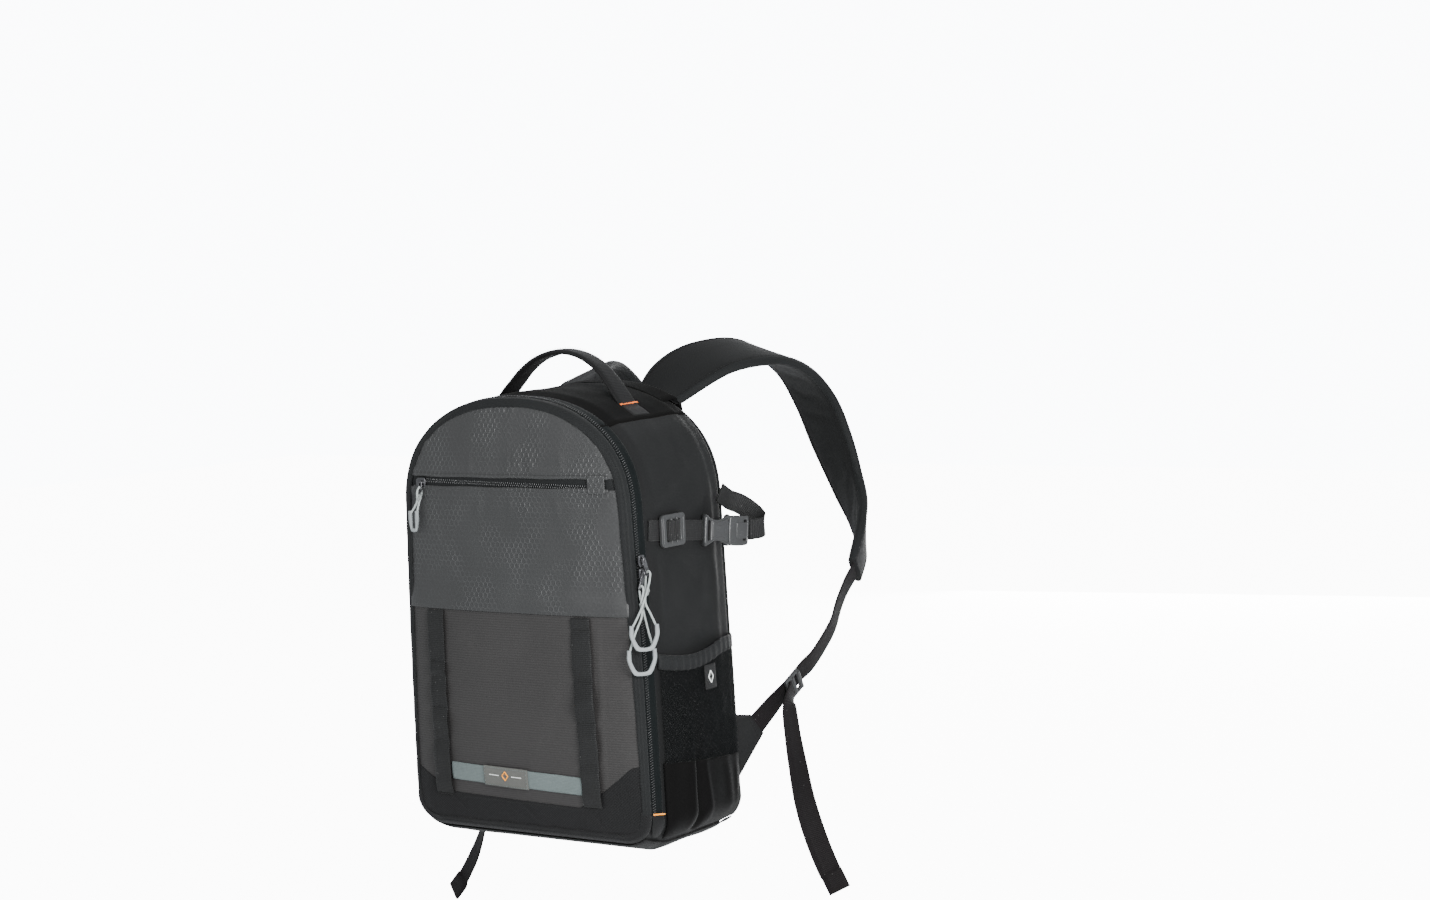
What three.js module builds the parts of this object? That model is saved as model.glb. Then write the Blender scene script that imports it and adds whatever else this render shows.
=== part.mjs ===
// Camera backpack in the form it has when it is worn.
// Millimetres, +Z up, the front panel faces -Y and the shoulder straps reach towards +Y.
// Inside the pack group, z is 0 at the base and y is 0 at the middle of the depth.

import * as THREE from 'three';
import { mergeVertices } from 'three/addons/utils/BufferGeometryUtils.js';

// Body
const BODY_WIDTH = 290;
const BODY_DEPTH = 190;
const BODY_HEIGHT = 460;
const WORN_BELLY = 0.01;
const WORN_TAPER = 0.07;
const WORN_LEAN_FOOT = 4;
const WORN_LEAN_TOP = -3;
const FRONT_FOOT_LIFT = 9;
const FOOT_LIFT_REACH = 36;
const FOOT_LIFT_HEIGHT = 110;
const FRONT_TOP_FALL = 5;
const ARCH_HEIGHT = 114;
const ARCH_POWER = 2.3;
const BOTTOM_RADIUS = 32;
const FRONT_BULGE = 10;
const BODY_WALL = 6;
const LID_THICKNESS = 5;
const BACK_PAD_THICKNESS = 12;
const GAP = 0.3;
const CLOTH = 1.3;
const LID_RECESS = 0.5;
const PANEL_EDGE_GAP = 0.9;

// Main zip and the binding in front of it
const ZIP_BAND_DEPTH = 20;
const ZIP_RECESS = 1.5;
const ZIP_TAPE_THICKNESS = 1;
const ZIP_END_HEIGHT = 37;
const COIL_WIDTH = 5.5;
const COIL_HEIGHT = 2;
const COIL_SETBACK = 1;
const SLIDER_HEIGHT = 287;
const SLIDER_LENGTH = 12;
const SLIDER_WIDTH = 9;
const SLIDER_THICKNESS = 3;
const PULLER_LENGTH = 20;
const PULLER_WIDTH = 6;
const PULLER_THICKNESS = 1.2;
const EYE_WIDTH = 3.6;
const EYE_LENGTH = 5;
const EYE_PLACE = 4.5;
const POCKET_PULLER_LENGTH = 12.5;
const POCKET_SLIDER_X = -116;
const GARAGE_HEIGHT = 25;
const BARTACK_LENGTH = 20.5;
const BARTACK_WIDTH = 2;
const BARTACK_THICKNESS = 1;

// Front panels: the pocket zip by its drop from the top, the hem by its height above the base
const POCKET_ZIP_DROP = 79;
const POCKET_ZIP_BAND = 19.5;
const POCKET_COIL_DROP = 90.5;
const POCKET_COIL_SLOPE = -0.02;
const POCKET_COIL_LEFT = -123;
const POCKET_COIL_RIGHT = 104;
const WELT_OVERLAP = 4.5;
const WELT_LIFT = 1.2;
const WELT_BLEND = 9;
const MIDDLE_HEM_HEIGHT = 239;
const HEM_OVERLAP = 5;
const HEM_LIFT = 2.2;

// Webbing on the lower front panel
const DAISY_WIDTH = 21;
const DAISY_LEFT_X = -102;
const DAISY_RIGHT_X = 85;
const DAISY_TOP = MIDDLE_HEM_HEIGHT - 2;
const DAISY_BOTTOM = 38;
const DAISY_THICKNESS = 1.4;
const DAISY_LIFT = 6;
const GREY_STRAP_WIDTH = 20;
const GREY_STRAP_HEIGHT = 65;
const GREY_STRAP_SLOPE = -0.03;
const PATCH_X = -19.5;
const PATCH_WIDTH = 55;
const PATCH_HEIGHT = 23;
const PATCH_THICKNESS = 1;

// Side pockets
const POCKET_BULGE = 13;
const POCKET_TOP = 197;
const POCKET_SIDE_DIP = 7;
const POCKET_BASE_HEIGHT = 84;
const POCKET_BASE_SLOPE = 12;
const POCKET_FOOT = 11;
const CORNER_CLEARANCE = 0.9;
const BOOT_FOOT = 4;
const POCKET_BINDING = 14;
const POCKET_CLOTH = 1.4;
const PLEAT_DEPTH = 6;
const PLEAT_PLACE = 0.34;
const LABEL_WIDTH = 20;
const LABEL_HEIGHT = 24;
const LABEL_Y = 8;
const LABEL_DROP = 20;

// Compression strap on the right side
const SIDE_WEBBING_WIDTH = 21;
const WEBBING_THICKNESS = 1.6;
const SIDE_STRAP_DROP = 139;
const LOCK_LENGTH = 42;
const LOCK_HEIGHT = 33;
const LOCK_THICKNESS = 4;
const LOCK_BAR = 5;
const BUCKLE_LENGTH = 58;
const BUCKLE_HEIGHT = 32;
const BUCKLE_THICKNESS = 8;
const BUCKLE_STAND = 4.2;
const BUCKLE_START_Y = 36;
const BUCKLE_START_DROP = 9;

// Grab handle
const HANDLE_WIDTH = 30;
const HANDLE_THICKNESS = 6;
const HANDLE_Y = 3;
const HANDLE_LEFT_X = -68;
const HANDLE_RIGHT_X = 82;
const HANDLE_RISE = 48;
const HANDLE_FOOT_LENGTH = 24;
const HANDLE_FOOT_THICKNESS = 3;
const TOP_CLEARANCE = 1;

// Shoulder straps
const YOKE_HALF_WIDTH = 92;
const YOKE_FRONT_Y = 60;
const YOKE_THICKNESS = 3;
const YOKE_DROP = 34;
const PAD_WIDTH = 68;
const PAD_THICKNESS = 12;
const STRAP_ATTACH_DROP = 14;
const STRAP_BASE_X = 56;
const STRAP_SPREAD = 140;
const STRAP_REACH = 224;
const STRAP_DROP = 200;
const LEFT_STRAP_LIE = 24;

// Lower webbing, its adjuster and its loose end
const LOWER_WEBBING_WIDTH = 24;
const WEDGE_LOW = 48;
const WEDGE_HIGH = 112;
const WEDGE_REACH = 30;
const WEDGE_THICKNESS = 2.4;
const WEBBING_SETBACK = 3;
const ADJUSTER_WIDTH = 32;
const ADJUSTER_LENGTH = 22;
const ADJUSTER_THICKNESS = 4;
const ADJUSTER_PLACE = 0.283;
const RIGHT_TAIL_LENGTH = 216;
const LEFT_TAIL_LENGTH = 268;
const TAIL_HEM_THICKNESS = 4;

// Zip pull cords
const CORD_DIAMETER = 2.2;
const CORD_SIDES = 6;
const GRIP_WIDTH = 30;
const GRIP_HEIGHT = 21;
const GRIP_THICKNESS = 3;
const GRIP_BAR = 3.6;
const SMALL_GRIP_WIDTH = 12;
const SMALL_GRIP_HEIGHT = 17;

// Places that follow from the sizes above
const HALF_WIDTH = BODY_WIDTH / 2;
const SPRING = BODY_HEIGHT - ARCH_HEIGHT;
const BACK_Y = BODY_DEPTH / 2;
const FRONT_EDGE_Y = FRONT_BULGE - BODY_DEPTH / 2;
const LID_BACK_Y = FRONT_EDGE_Y + LID_THICKNESS;
const RIM_Y = LID_BACK_Y + GAP;
const ZIP_BACK_Y = RIM_Y + ZIP_BAND_DEPTH;
const TUB_BACK_Y = BACK_Y - BACK_PAD_THICKNESS;
const POCKET_FRONT_Y = ZIP_BACK_Y + 4;
const POCKET_BACK_Y = TUB_BACK_Y - 1;
const POCKET_ZIP_TOP = BODY_HEIGHT - POCKET_ZIP_DROP;
const POCKET_ZIP_BOTTOM = POCKET_ZIP_TOP - POCKET_ZIP_BAND;
const POCKET_COIL_Z = BODY_HEIGHT - POCKET_COIL_DROP;
const SIDE_STRAP_Z = BODY_HEIGHT - SIDE_STRAP_DROP;
const STRAP_ATTACH_Z = BODY_HEIGHT - STRAP_ATTACH_DROP;
const STRAP_START_Y = BACK_Y + GAP + YOKE_THICKNESS + GAP;

const STEPS = { bottom: 2, corner: 4, side: 6, arch: 20 };

// How far the wall lies inside the outline at each depth, and how thick it is there
const WALL_SECTIONS = [
  { y: RIM_Y, inset: ZIP_RECESS },
  { y: ZIP_BACK_Y + 0.5, inset: ZIP_RECESS },
  { y: ZIP_BACK_Y + 4, inset: 0 },
  { y: TUB_BACK_Y - 14, inset: 0 },
  { y: TUB_BACK_Y - 4, inset: 1.5 },
  { y: TUB_BACK_Y, inset: 4 },
];

// Edge of the padded back, from the wall to its face
const BACK_PAD_SECTIONS = [
  { depth: 0, inset: 5 },
  { depth: 0.5, inset: 5 },
  { depth: 0.85, inset: 8 },
  { depth: 1, inset: 14 },
];

// Width of the bound edge of the front panel, by height as a share of the body height
const BAND_WIDTHS = [
  { height: 0, width: 4.5 },
  { height: 0.22, width: 5 },
  { height: 0.55, width: 8 },
  { height: 0.78, width: 12 },
  { height: 1, width: 13 },
];

// Top edge of the boot on the front, across as a share of the half width, height of the body height
const BOOT_TOP = [
  { across: -1, height: 0.148 },
  { across: -0.93, height: 0.138 },
  { across: -0.67, height: 0.088 },
  { across: -0.6, height: 0.084 },
  { across: 0.48, height: 0.075 },
  { across: 0.66, height: 0.115 },
  { across: 0.92, height: 0.185 },
  { across: 1, height: 0.192 },
];

// Where the daisy chains are sewn down, as shares of their length from the top, and how far the
// loop below each seam lifts, as a share of the named lift
const LEFT_LOOPS = [
  { seam: 0, lift: 0.35 },
  { seam: 0.27, lift: 0.5 },
  { seam: 0.35, lift: 0.45 },
  { seam: 0.51, lift: 0.55 },
  { seam: 0.68, lift: 0.6 },
];
const RIGHT_LOOPS = [
  { seam: 0, lift: 0.3 },
  { seam: 0.06, lift: 0.5 },
  { seam: 0.32, lift: 1 },
  { seam: 0.53, lift: 0.55 },
  { seam: 0.75, lift: 0.5 },
];

// Colours and finishes
const FINISHES = {
  panel: { color: 0x4a4b4d, roughness: 0.6, metalness: 0 },
  ribbed: { color: 0x454242, roughness: 0.8, metalness: 0 },
  boot: { color: 0x2c2b2d, roughness: 0.85, metalness: 0 },
  side: { color: 0x2f2f31, roughness: 0.75, metalness: 0 },
  binding: { color: 0x2b2d2e, roughness: 0.7, metalness: 0 },
  webbing: { color: 0x232426, roughness: 0.7, metalness: 0 },
  warmWebbing: { color: 0x322c2e, roughness: 0.75, metalness: 0 },
  greyWebbing: { color: 0x7d8787, roughness: 0.6, metalness: 0 },
  patch: { color: 0x4b4b46, roughness: 0.6, metalness: 0 },
  mesh: { color: 0x1d1e1f, roughness: 0.8, metalness: 0 },
  coil: { color: 0x1a1b1c, roughness: 0.4, metalness: 0 },
  metal: { color: 0x5a5a5c, roughness: 0.35, metalness: 1 },
  plastic: { color: 0x333437, roughness: 0.4, metalness: 0 },
  thread: { color: 0xeb8232, roughness: 0.6, metalness: 0 },
  cord: { color: 0xc8cdcd, roughness: 0.6, metalness: 0 },
  grip: { color: 0xbec3c0, roughness: 0.5, metalness: 0 },
};
const materials = Object.fromEntries(
  Object.entries(FINISHES).map(([name, finish]) => [
    name,
    new THREE.MeshStandardMaterial({ ...finish, flatShading: true }),
  ]),
);

// Small helpers
const vec = (x, y, z) => new THREE.Vector3(x, y, z);
const lerp = THREE.MathUtils.lerp;
const clamp = THREE.MathUtils.clamp;
const smooth = THREE.MathUtils.smoothstep;
const shares = (steps) => Array.from({ length: steps + 1 }, (_, i) => i / steps);
const mirrored = (ring) => ring.map((p) => vec(-p.x, p.y, p.z));

// Straight lines between the rows of a table, by one of its columns
function readTable(rows, key, column, at) {
  if (at <= rows[0][key]) return rows[0][column];
  for (let i = 1; i < rows.length; i += 1) {
    const low = rows[i - 1];
    const high = rows[i];
    if (at <= high[key]) {
      return lerp(low[column], high[column], (at - low[key]) / (high[key] - low[key]));
    }
  }
  return rows[rows.length - 1][column];
}

// Six times the volume that the triangles enclose, negative when they face inwards
function signedVolume(positions, index) {
  let total = 0;
  const corner = (k) => vec(...positions.slice(3 * index[k], 3 * index[k] + 3));
  for (let k = 0; k < index.length; k += 3) {
    total += corner(k).dot(corner(k + 1).cross(corner(k + 2)));
  }
  return total;
}

// Indexed geometry whose faces point outwards
function closedGeometry(positions, index) {
  const faces = [...index];
  if (signedVolume(positions, faces) < 0) {
    for (let k = 0; k < faces.length; k += 3) {
      [faces[k + 1], faces[k + 2]] = [faces[k + 2], faces[k + 1]];
    }
  }
  const geometry = new THREE.BufferGeometry();
  geometry.setAttribute('position', new THREE.Float32BufferAttribute(positions, 3));
  geometry.setIndex(faces);
  geometry.computeVertexNormals();
  return geometry;
}

// Closed skin over rings of equally many points. The ends are closed by a fan to their middle, or,
// for a flat section whose second half runs back beside its first, by a strip between the halves.
function loft(rings, { ends = 'strip', loop = false } = {}) {
  const count = rings[0].length;
  const positions = rings.flat().flatMap((p) => [p.x, p.y, p.z]);
  const index = [];
  const quad = (a, b, c, d) => index.push(a, b, c, a, c, d);
  const spans = loop ? rings.length : rings.length - 1;
  for (let r = 0; r < spans; r += 1) {
    const here = r * count;
    const next = ((r + 1) % rings.length) * count;
    for (let i = 0; i < count; i += 1) {
      const j = (i + 1) % count;
      quad(here + i, here + j, next + j, next + i);
    }
  }
  if (loop) return closedGeometry(positions, index);
  [0, rings.length - 1].forEach((r, end) => {
    const start = r * count;
    if (ends === 'fan') {
      const middle = rings[r].reduce((sum, p) => sum.add(p), vec(0, 0, 0)).divideScalar(count);
      const centre = positions.length / 3;
      positions.push(middle.x, middle.y, middle.z);
      for (let i = 0; i < count; i += 1) {
        const j = (i + 1) % count;
        if (end) index.push(start + i, start + j, centre);
        else index.push(start + j, start + i, centre);
      }
      return;
    }
    for (let i = 0; i < count / 2 - 1; i += 1) {
      const a = start + i;
      const b = start + i + 1;
      const c = start + count - 2 - i;
      const d = start + count - 1 - i;
      if (end) quad(a, b, c, d);
      else quad(d, c, b, a);
    }
  });
  return closedGeometry(positions, index);
}

// A sheet of cloth given by its point at shares u and v and at a height over the surface it lies on
function sheet(point, { columns, rows, inner, outer }) {
  const rings = rows.map((v) => [
    ...columns.map((u) => point(u, v, outer)),
    ...[...columns].reverse().map((u) => point(u, v, inner)),
  ]);
  return loft(rings);
}

// A plate cut from a flat shape, standing in the plane of two directions
function plate(shape, thickness, { at, right, up }) {
  const extruded = new THREE.ExtrudeGeometry(shape, {
    depth: thickness,
    bevelEnabled: false,
    curveSegments: 2,
  });
  extruded.deleteAttribute('normal');
  extruded.deleteAttribute('uv');
  const merged = mergeVertices(extruded, 1e-4);
  const out = right.clone().cross(up).normalize();
  const place = new THREE.Matrix4().makeBasis(right, up, out).setPosition(at);
  merged.applyMatrix4(place);
  return closedGeometry([...merged.attributes.position.array], [...merged.index.array]);
}

function roundedRectangle(width, height, radius, cx = 0, cy = 0) {
  const w = width / 2;
  const h = height / 2;
  const shape = new THREE.Shape();
  shape.moveTo(cx - w + radius, cy - h);
  shape.lineTo(cx + w - radius, cy - h);
  shape.absarc(cx + w - radius, cy - h + radius, radius, -Math.PI / 2, 0);
  shape.lineTo(cx + w, cy + h - radius);
  shape.absarc(cx + w - radius, cy + h - radius, radius, 0, Math.PI / 2);
  shape.lineTo(cx - w + radius, cy + h);
  shape.absarc(cx - w + radius, cy + h - radius, radius, Math.PI / 2, Math.PI);
  shape.lineTo(cx - w, cy - h + radius);
  shape.absarc(cx - w + radius, cy - h + radius, radius, Math.PI, Math.PI * 1.5);
  return shape;
}

function polygon(points) {
  const shape = new THREE.Shape();
  points.forEach(([x, y], i) => (i ? shape.lineTo(x, y) : shape.moveTo(x, y)));
  shape.closePath();
  return shape;
}

// Sections of straps: across as a share of half the width, through as a share of the thickness
const FLAT_SECTION = [[-1, -0.5], [1, -0.5], [1, 0.5], [-1, 0.5]];
const PADDED_SECTION = [
  [-1, -0.2], [-0.86, -0.5], [-0.3, -0.5], [0.3, -0.5], [0.86, -0.5], [1, -0.2],
  [1, 0.1], [0.86, 0.36], [0.3, 0.5], [-0.3, 0.5], [-0.86, 0.36], [-1, 0.1],
];

// Rings of a strap along rows of { at, facing, width, thickness }
function strapRings(rows, section = FLAT_SECTION) {
  return rows.map((row, i) => {
    const ahead = rows[Math.min(i + 1, rows.length - 1)].at;
    const behind = rows[Math.max(i - 1, 0)].at;
    const along = row.along ? row.along.clone() : ahead.clone().sub(behind).normalize();
    const across = along.clone().cross(row.facing).normalize();
    const out = across.clone().cross(along).normalize();
    return section.map(([a, t]) => row.at.clone()
      .addScaledVector(across, (a * row.width) / 2)
      .addScaledVector(out, t * row.thickness));
  });
}

// More rows along a smooth curve through the given ones
function smoothRows(rows, steps) {
  const path = new THREE.CatmullRomCurve3(rows.map((row) => row.at), false, 'centripetal');
  const spans = rows.length - 1;
  return shares(steps).map((share) => {
    const low = Math.min(Math.floor(share * spans), spans - 1);
    const part = share * spans - low;
    const from = rows[low];
    const to = rows[low + 1];
    return {
      at: path.getPoint(share),
      facing: from.facing.clone().lerp(to.facing, part).normalize(),
      width: lerp(from.width, to.width, part),
      thickness: lerp(from.thickness, to.thickness, part),
    };
  });
}

// Outline of the body seen from the front
function outlinePoint({ kind, side = 1, share }, inset) {
  if (kind === 'bottom') return { x: side * share * (HALF_WIDTH - BOTTOM_RADIUS), z: inset };
  if (kind === 'corner') {
    const turn = (share * Math.PI) / 2;
    const radius = BOTTOM_RADIUS - inset;
    return {
      x: side * (HALF_WIDTH - BOTTOM_RADIUS + radius * Math.sin(turn)),
      z: BOTTOM_RADIUS - radius * Math.cos(turn),
    };
  }
  if (kind === 'side') return { x: side * (HALF_WIDTH - inset), z: lerp(BOTTOM_RADIUS, SPRING, share) };
  const turn = share * Math.PI;
  const power = 2 / ARCH_POWER;
  const cosine = Math.cos(turn);
  return {
    x: Math.sign(cosine) * (HALF_WIDTH - inset) * Math.abs(cosine) ** power,
    z: SPRING + (ARCH_HEIGHT - inset) * Math.abs(Math.sin(turn)) ** power,
  };
}

// Half the width of the outline at a height
function halfWidthAt(z, inset = 0) {
  if (z > SPRING) {
    const rise = clamp((z - SPRING) / (ARCH_HEIGHT - inset), 0, 1);
    return (HALF_WIDTH - inset) * (1 - rise ** ARCH_POWER) ** (1 / ARCH_POWER);
  }
  if (z < BOTTOM_RADIUS) {
    const radius = BOTTOM_RADIUS - inset;
    const drop = clamp(BOTTOM_RADIUS - z, 0, radius);
    return HALF_WIDTH - BOTTOM_RADIUS + Math.sqrt(radius ** 2 - drop ** 2);
  }
  return HALF_WIDTH - inset;
}

const wallInset = (y) => readTable(WALL_SECTIONS, 'y', 'inset', y);
const bandWidth = (z) => readTable(BAND_WIDTHS, 'height', 'width', z / BODY_HEIGHT);

// Stations round the outline, anticlockwise from the middle of the bottom
function closedStations() {
  const right = [
    ...shares(STEPS.bottom).map((share) => ({ kind: 'bottom', share })),
    ...shares(STEPS.corner).slice(1, -1).map((share) => ({ kind: 'corner', share })),
    ...shares(STEPS.side).map((share) => ({ kind: 'side', share })),
  ];
  const left = right.slice(1).reverse().map((station) => ({ ...station, side: -1 }));
  const arch = shares(STEPS.arch).slice(1, -1).map((share) => ({ kind: 'arch', share }));
  return [...right, ...arch, ...left];
}

// Stations over the arch from one side down to the other, both ends at a height above the corner
function openStations(endHeight) {
  const low = (endHeight - BOTTOM_RADIUS) / (SPRING - BOTTOM_RADIUS);
  const sideShares = shares(STEPS.side).map((share) => lerp(low, 1, share));
  const right = sideShares.map((share) => ({ kind: 'side', share }));
  const left = [...right].reverse().map((station) => ({ ...station, side: -1 }));
  const arch = shares(STEPS.arch).slice(1, -1).map((share) => ({ kind: 'arch', share }));
  return [...right, ...arch, ...left];
}

// Front surface: how far it stands in front of its edge, and its y at a layer over it
function frontBulge(x, z) {
  const across = clamp(Math.abs(x) / (halfWidthAt(z) + 1e-6), 0, 1);
  const middle = BODY_HEIGHT / 2;
  const along = clamp(Math.abs(z - middle) / middle, 0, 1);
  return FRONT_BULGE * (1 - across ** 3) * (1 - along ** 4);
}
const frontY = (x, z, layer = 0) => FRONT_EDGE_Y - frontBulge(x, z) - layer;

const PANEL_COLUMNS = [-1, -0.95, -0.85, -0.72, -0.58, -0.42, -0.25, -0.08,
  0.08, 0.25, 0.42, 0.58, 0.72, 0.85, 0.95, 1];

// A panel on the front: its side edges follow the band, its ends are heights at a share across
function frontPanel({ low, high, rows, inner = GAP, outer = GAP + CLOTH, lift = () => 0 }) {
  const point = (u, v, layer) => {
    const z = lerp(low(u), high(u), v);
    const x = u * halfWidthAt(z, bandWidth(z) + PANEL_EDGE_GAP);
    return vec(x, frontY(x, z, layer + lift(z)), z);
  };
  return sheet(point, { columns: PANEL_COLUMNS, rows, inner, outer });
}

// A flat strip on the front between two x and two z
function frontStrip({ x0, x1, z0, z1, inner, outer, steps = 8, slope = 0 }) {
  const point = (u, v, layer) => {
    const x = lerp(x0, x1, u);
    const z = lerp(z0, z1, v) + slope * x;
    return vec(x, frontY(x, z, layer), z);
  };
  return sheet(point, { columns: shares(steps), rows: [0, 0.5, 1], inner, outer });
}

const level = (z) => () => z;

// Body: an open tub of padded cloth, its lid in front and its padded back
function bodyTub() {
  const stations = closedStations();
  const ring = (y, inset) => stations.map((station) => {
    const { x, z } = outlinePoint(station, inset);
    return vec(x, y, z);
  });
  const inside = [
    { y: TUB_BACK_Y - BODY_WALL, inset: 16 },
    { y: TUB_BACK_Y - BODY_WALL - 9, inset: BODY_WALL + 2 },
    { y: ZIP_BACK_Y, inset: BODY_WALL + ZIP_RECESS },
    { y: RIM_Y, inset: BODY_WALL + ZIP_RECESS },
  ];
  return loft([...inside, ...WALL_SECTIONS].map(({ y, inset }) => ring(y, inset)), { ends: 'fan' });
}

function frontLid() {
  const stations = closedStations();
  const middle = BODY_HEIGHT / 2;
  const ring = (share, depth) => stations.map((station) => {
    const edge = outlinePoint(station, ZIP_RECESS);
    const x = edge.x * share;
    const z = middle + (edge.z - middle) * share;
    return vec(x, frontY(x, z, -LID_RECESS) + depth, z);
  });
  const front = [0.35, 0.65, 0.86, 1].map((share) => ring(share, 0));
  const depth = LID_THICKNESS - LID_RECESS;
  const back = [1, 0.7, 0.35].map((share) => ring(share, depth));
  return loft([...front, ...back], { ends: 'fan' });
}

function backPad() {
  const stations = closedStations();
  const start = TUB_BACK_Y + GAP;
  return loft(BACK_PAD_SECTIONS.map(({ depth, inset }) => stations.map((station) => {
    const { x, z } = outlinePoint(station, inset);
    return vec(x, lerp(start, BACK_Y, depth), z);
  })), { ends: 'fan' });
}

// Bound edge of the front panel, wrapped round the corner of the lid
function edgeBand() {
  const outer = GAP + CLOTH;
  return loft(openStations(BOTTOM_RADIUS + 2).map((station) => {
    const height = outlinePoint(station, 0).z;
    const onFront = (inset, layer) => {
      const { x, z } = outlinePoint(station, inset);
      return vec(x, frontY(x, z, layer), z);
    };
    const onSide = (inset, y) => {
      const { x, z } = outlinePoint(station, inset);
      return vec(x, y, z);
    };
    return [
      onFront(bandWidth(height), outer),
      onFront(4, outer + 0.4),
      onFront(1.4, outer),
      onSide(ZIP_RECESS - outer, FRONT_EDGE_Y),
      onSide(ZIP_RECESS - outer, RIM_Y - 2 * GAP),
      onSide(ZIP_RECESS - GAP, RIM_Y - 2 * GAP),
      onSide(ZIP_RECESS - GAP, FRONT_EDGE_Y),
      onFront(ZIP_RECESS, GAP),
      onFront(4, GAP),
      onFront(bandWidth(height), GAP),
    ];
  }));
}

// A strip over the arch on the side faces, between two depths
function rimStrip(endHeight, front, back, inner, outer, crown = 0) {
  const middle = (front + back) / 2;
  return loft(openStations(endHeight).map((station) => {
    const point = (inset, y) => {
      const { x, z } = outlinePoint(station, inset);
      return vec(x, y, z);
    };
    return [
      point(inner, front), point(inner, middle), point(inner, back),
      point(outer, back), point(outer - crown, middle), point(outer, front),
    ];
  }));
}

const TAPE_INNER = ZIP_RECESS - GAP;
const TAPE_OUTER = TAPE_INNER - ZIP_TAPE_THICKNESS;
const COIL_FRONT_Y = RIM_Y + COIL_SETBACK;
const COIL_INNER = TAPE_OUTER - GAP;
const COIL_OUTER = COIL_INNER - COIL_HEIGHT;
const COIL_MIDDLE_Y = COIL_FRONT_Y + COIL_WIDTH / 2;

// A piece of cloth on a side face, given by its depth, its height and its layer over the wall
function sidePatch({ side, y0, y1, z0, z1, inner, outer, columns, rows, stand = () => 0 }) {
  const point = (u, v, layer) => {
    const y = lerp(y0, y1, u);
    const z = lerp(z0(u), z1(u), v);
    const x = halfWidthAt(z, wallInset(y)) + stand(u, z) + layer;
    return vec(side * x, y, z);
  };
  return sheet(point, { columns, rows, inner, outer });
}

const POCKET_COLUMNS = [
  ...[0, 0.1, 0.2, 0.28, 0.31, 0.34, 0.37, 0.42, 0.54, 0.66, 0.78, 0.9, 1],
  ...WALL_SECTIONS.map(({ y }) => (y - POCKET_FRONT_Y) / (POCKET_BACK_Y - POCKET_FRONT_Y)),
].filter((u) => u >= 0 && u <= 1).sort((a, b) => a - b).filter((u, i, all) => !i || u - all[i - 1] > 1e-3);
const pocketTop = (u) => POCKET_TOP - POCKET_SIDE_DIP * Math.sin(Math.PI * clamp(u * 1.35, 0, 1))
  + 3 * u;
const pocketSeam = (u) => POCKET_BASE_HEIGHT - POCKET_BASE_SLOPE * (u - 0.3);
// Cloth over the rounded lower edge keeps clear of it
const overCorner = (z) => CORNER_CLEARANCE * (1 - smooth(z, BOTTOM_RADIUS - 4, BOTTOM_RADIUS + 12));

function pocketStand(u, z) {
  const across = Math.sin(Math.PI * u) ** 0.6;
  const up = smooth(z, -6, 40) * lerp(1, 0.8, clamp(z / POCKET_TOP, 0, 1));
  const pleat = Math.exp(-(((u - PLEAT_PLACE) / 0.035) ** 2)) * (1 - smooth(z, 60, 150));
  return POCKET_BULGE * across * up + overCorner(z) - PLEAT_DEPTH * pleat * smooth(z, -6, 20);
}

function pocketPart(side, z0, z1, rows, thickness = POCKET_CLOTH) {
  return sidePatch({
    side,
    y0: POCKET_FRONT_Y,
    y1: POCKET_BACK_Y,
    z0,
    z1,
    inner: GAP,
    outer: GAP + thickness,
    columns: POCKET_COLUMNS,
    rows,
    stand: pocketStand,
  });
}

// Boot: the panel under the body, turned up at the corners, and the low panel on the front
const BOOT_TURN = 0.5;
function bootBase() {
  const turns = shares(STEPS.corner).filter((share) => share <= BOOT_TURN);
  const right = turns.map((share) => ({ kind: 'corner', side: 1, share }));
  const left = turns.map((share) => ({ kind: 'corner', side: -1, share }));
  const stations = [...left.reverse(), { kind: 'bottom', share: 0 }, ...right];
  const lifted = [0, 0.35, 0.7, 1].map((share) => RIM_Y + FOOT_LIFT_REACH * share);
  const depths = [...lifted, TUB_BACK_Y - 4];
  return loft(stations.map((station) => {
    const point = (y, layer) => {
      const { x, z } = outlinePoint(station, -layer);
      return vec(x, y, z);
    };
    return [
      ...depths.map((y) => point(y, GAP + CLOTH)),
      ...[...depths].reverse().map((y) => point(y, GAP)),
    ];
  }));
}

const bootTop = (u) => readTable(BOOT_TOP, 'across', 'height', u) * BODY_HEIGHT;
function bootFront() {
  const top = (u) => bootTop(u) - GAP;
  return frontPanel({ low: level(BOOT_FOOT), high: top, rows: [0, 0.2, 0.5, 1] });
}

// Daisy chain: a strip that lifts off the panel between its seams
function daisyChain(x, loops, twist) {
  const length = DAISY_TOP - DAISY_BOTTOM;
  const seams = [...loops.map((loop) => loop.seam), 1];
  const rows = [];
  loops.forEach((loop, i) => {
    const span = seams[i + 1] - loop.seam;
    [0, 0.12, 0.5, 0.88].forEach((part) => rows.push({
      v: loop.seam + span * part,
      lift: part === 0 ? 0 : loop.lift * (part === 0.5 ? 1 : 0.72),
    }));
  });
  rows.push({ v: 1, lift: 0 });
  const under = GAP + CLOTH + GAP;
  const point = (u, v, layer) => {
    const z = DAISY_TOP - length * v;
    const lift = readTable(rows, 'v', 'lift', v);
    const across = x + (u - 0.5) * DAISY_WIDTH + twist * lift;
    return vec(across, frontY(across, z, under + layer + DAISY_LIFT * lift), z);
  };
  return sheet(point, {
    columns: [0, 0.5, 1], rows: rows.map((row) => row.v), inner: 0, outer: DAISY_THICKNESS,
  });
}

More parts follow.
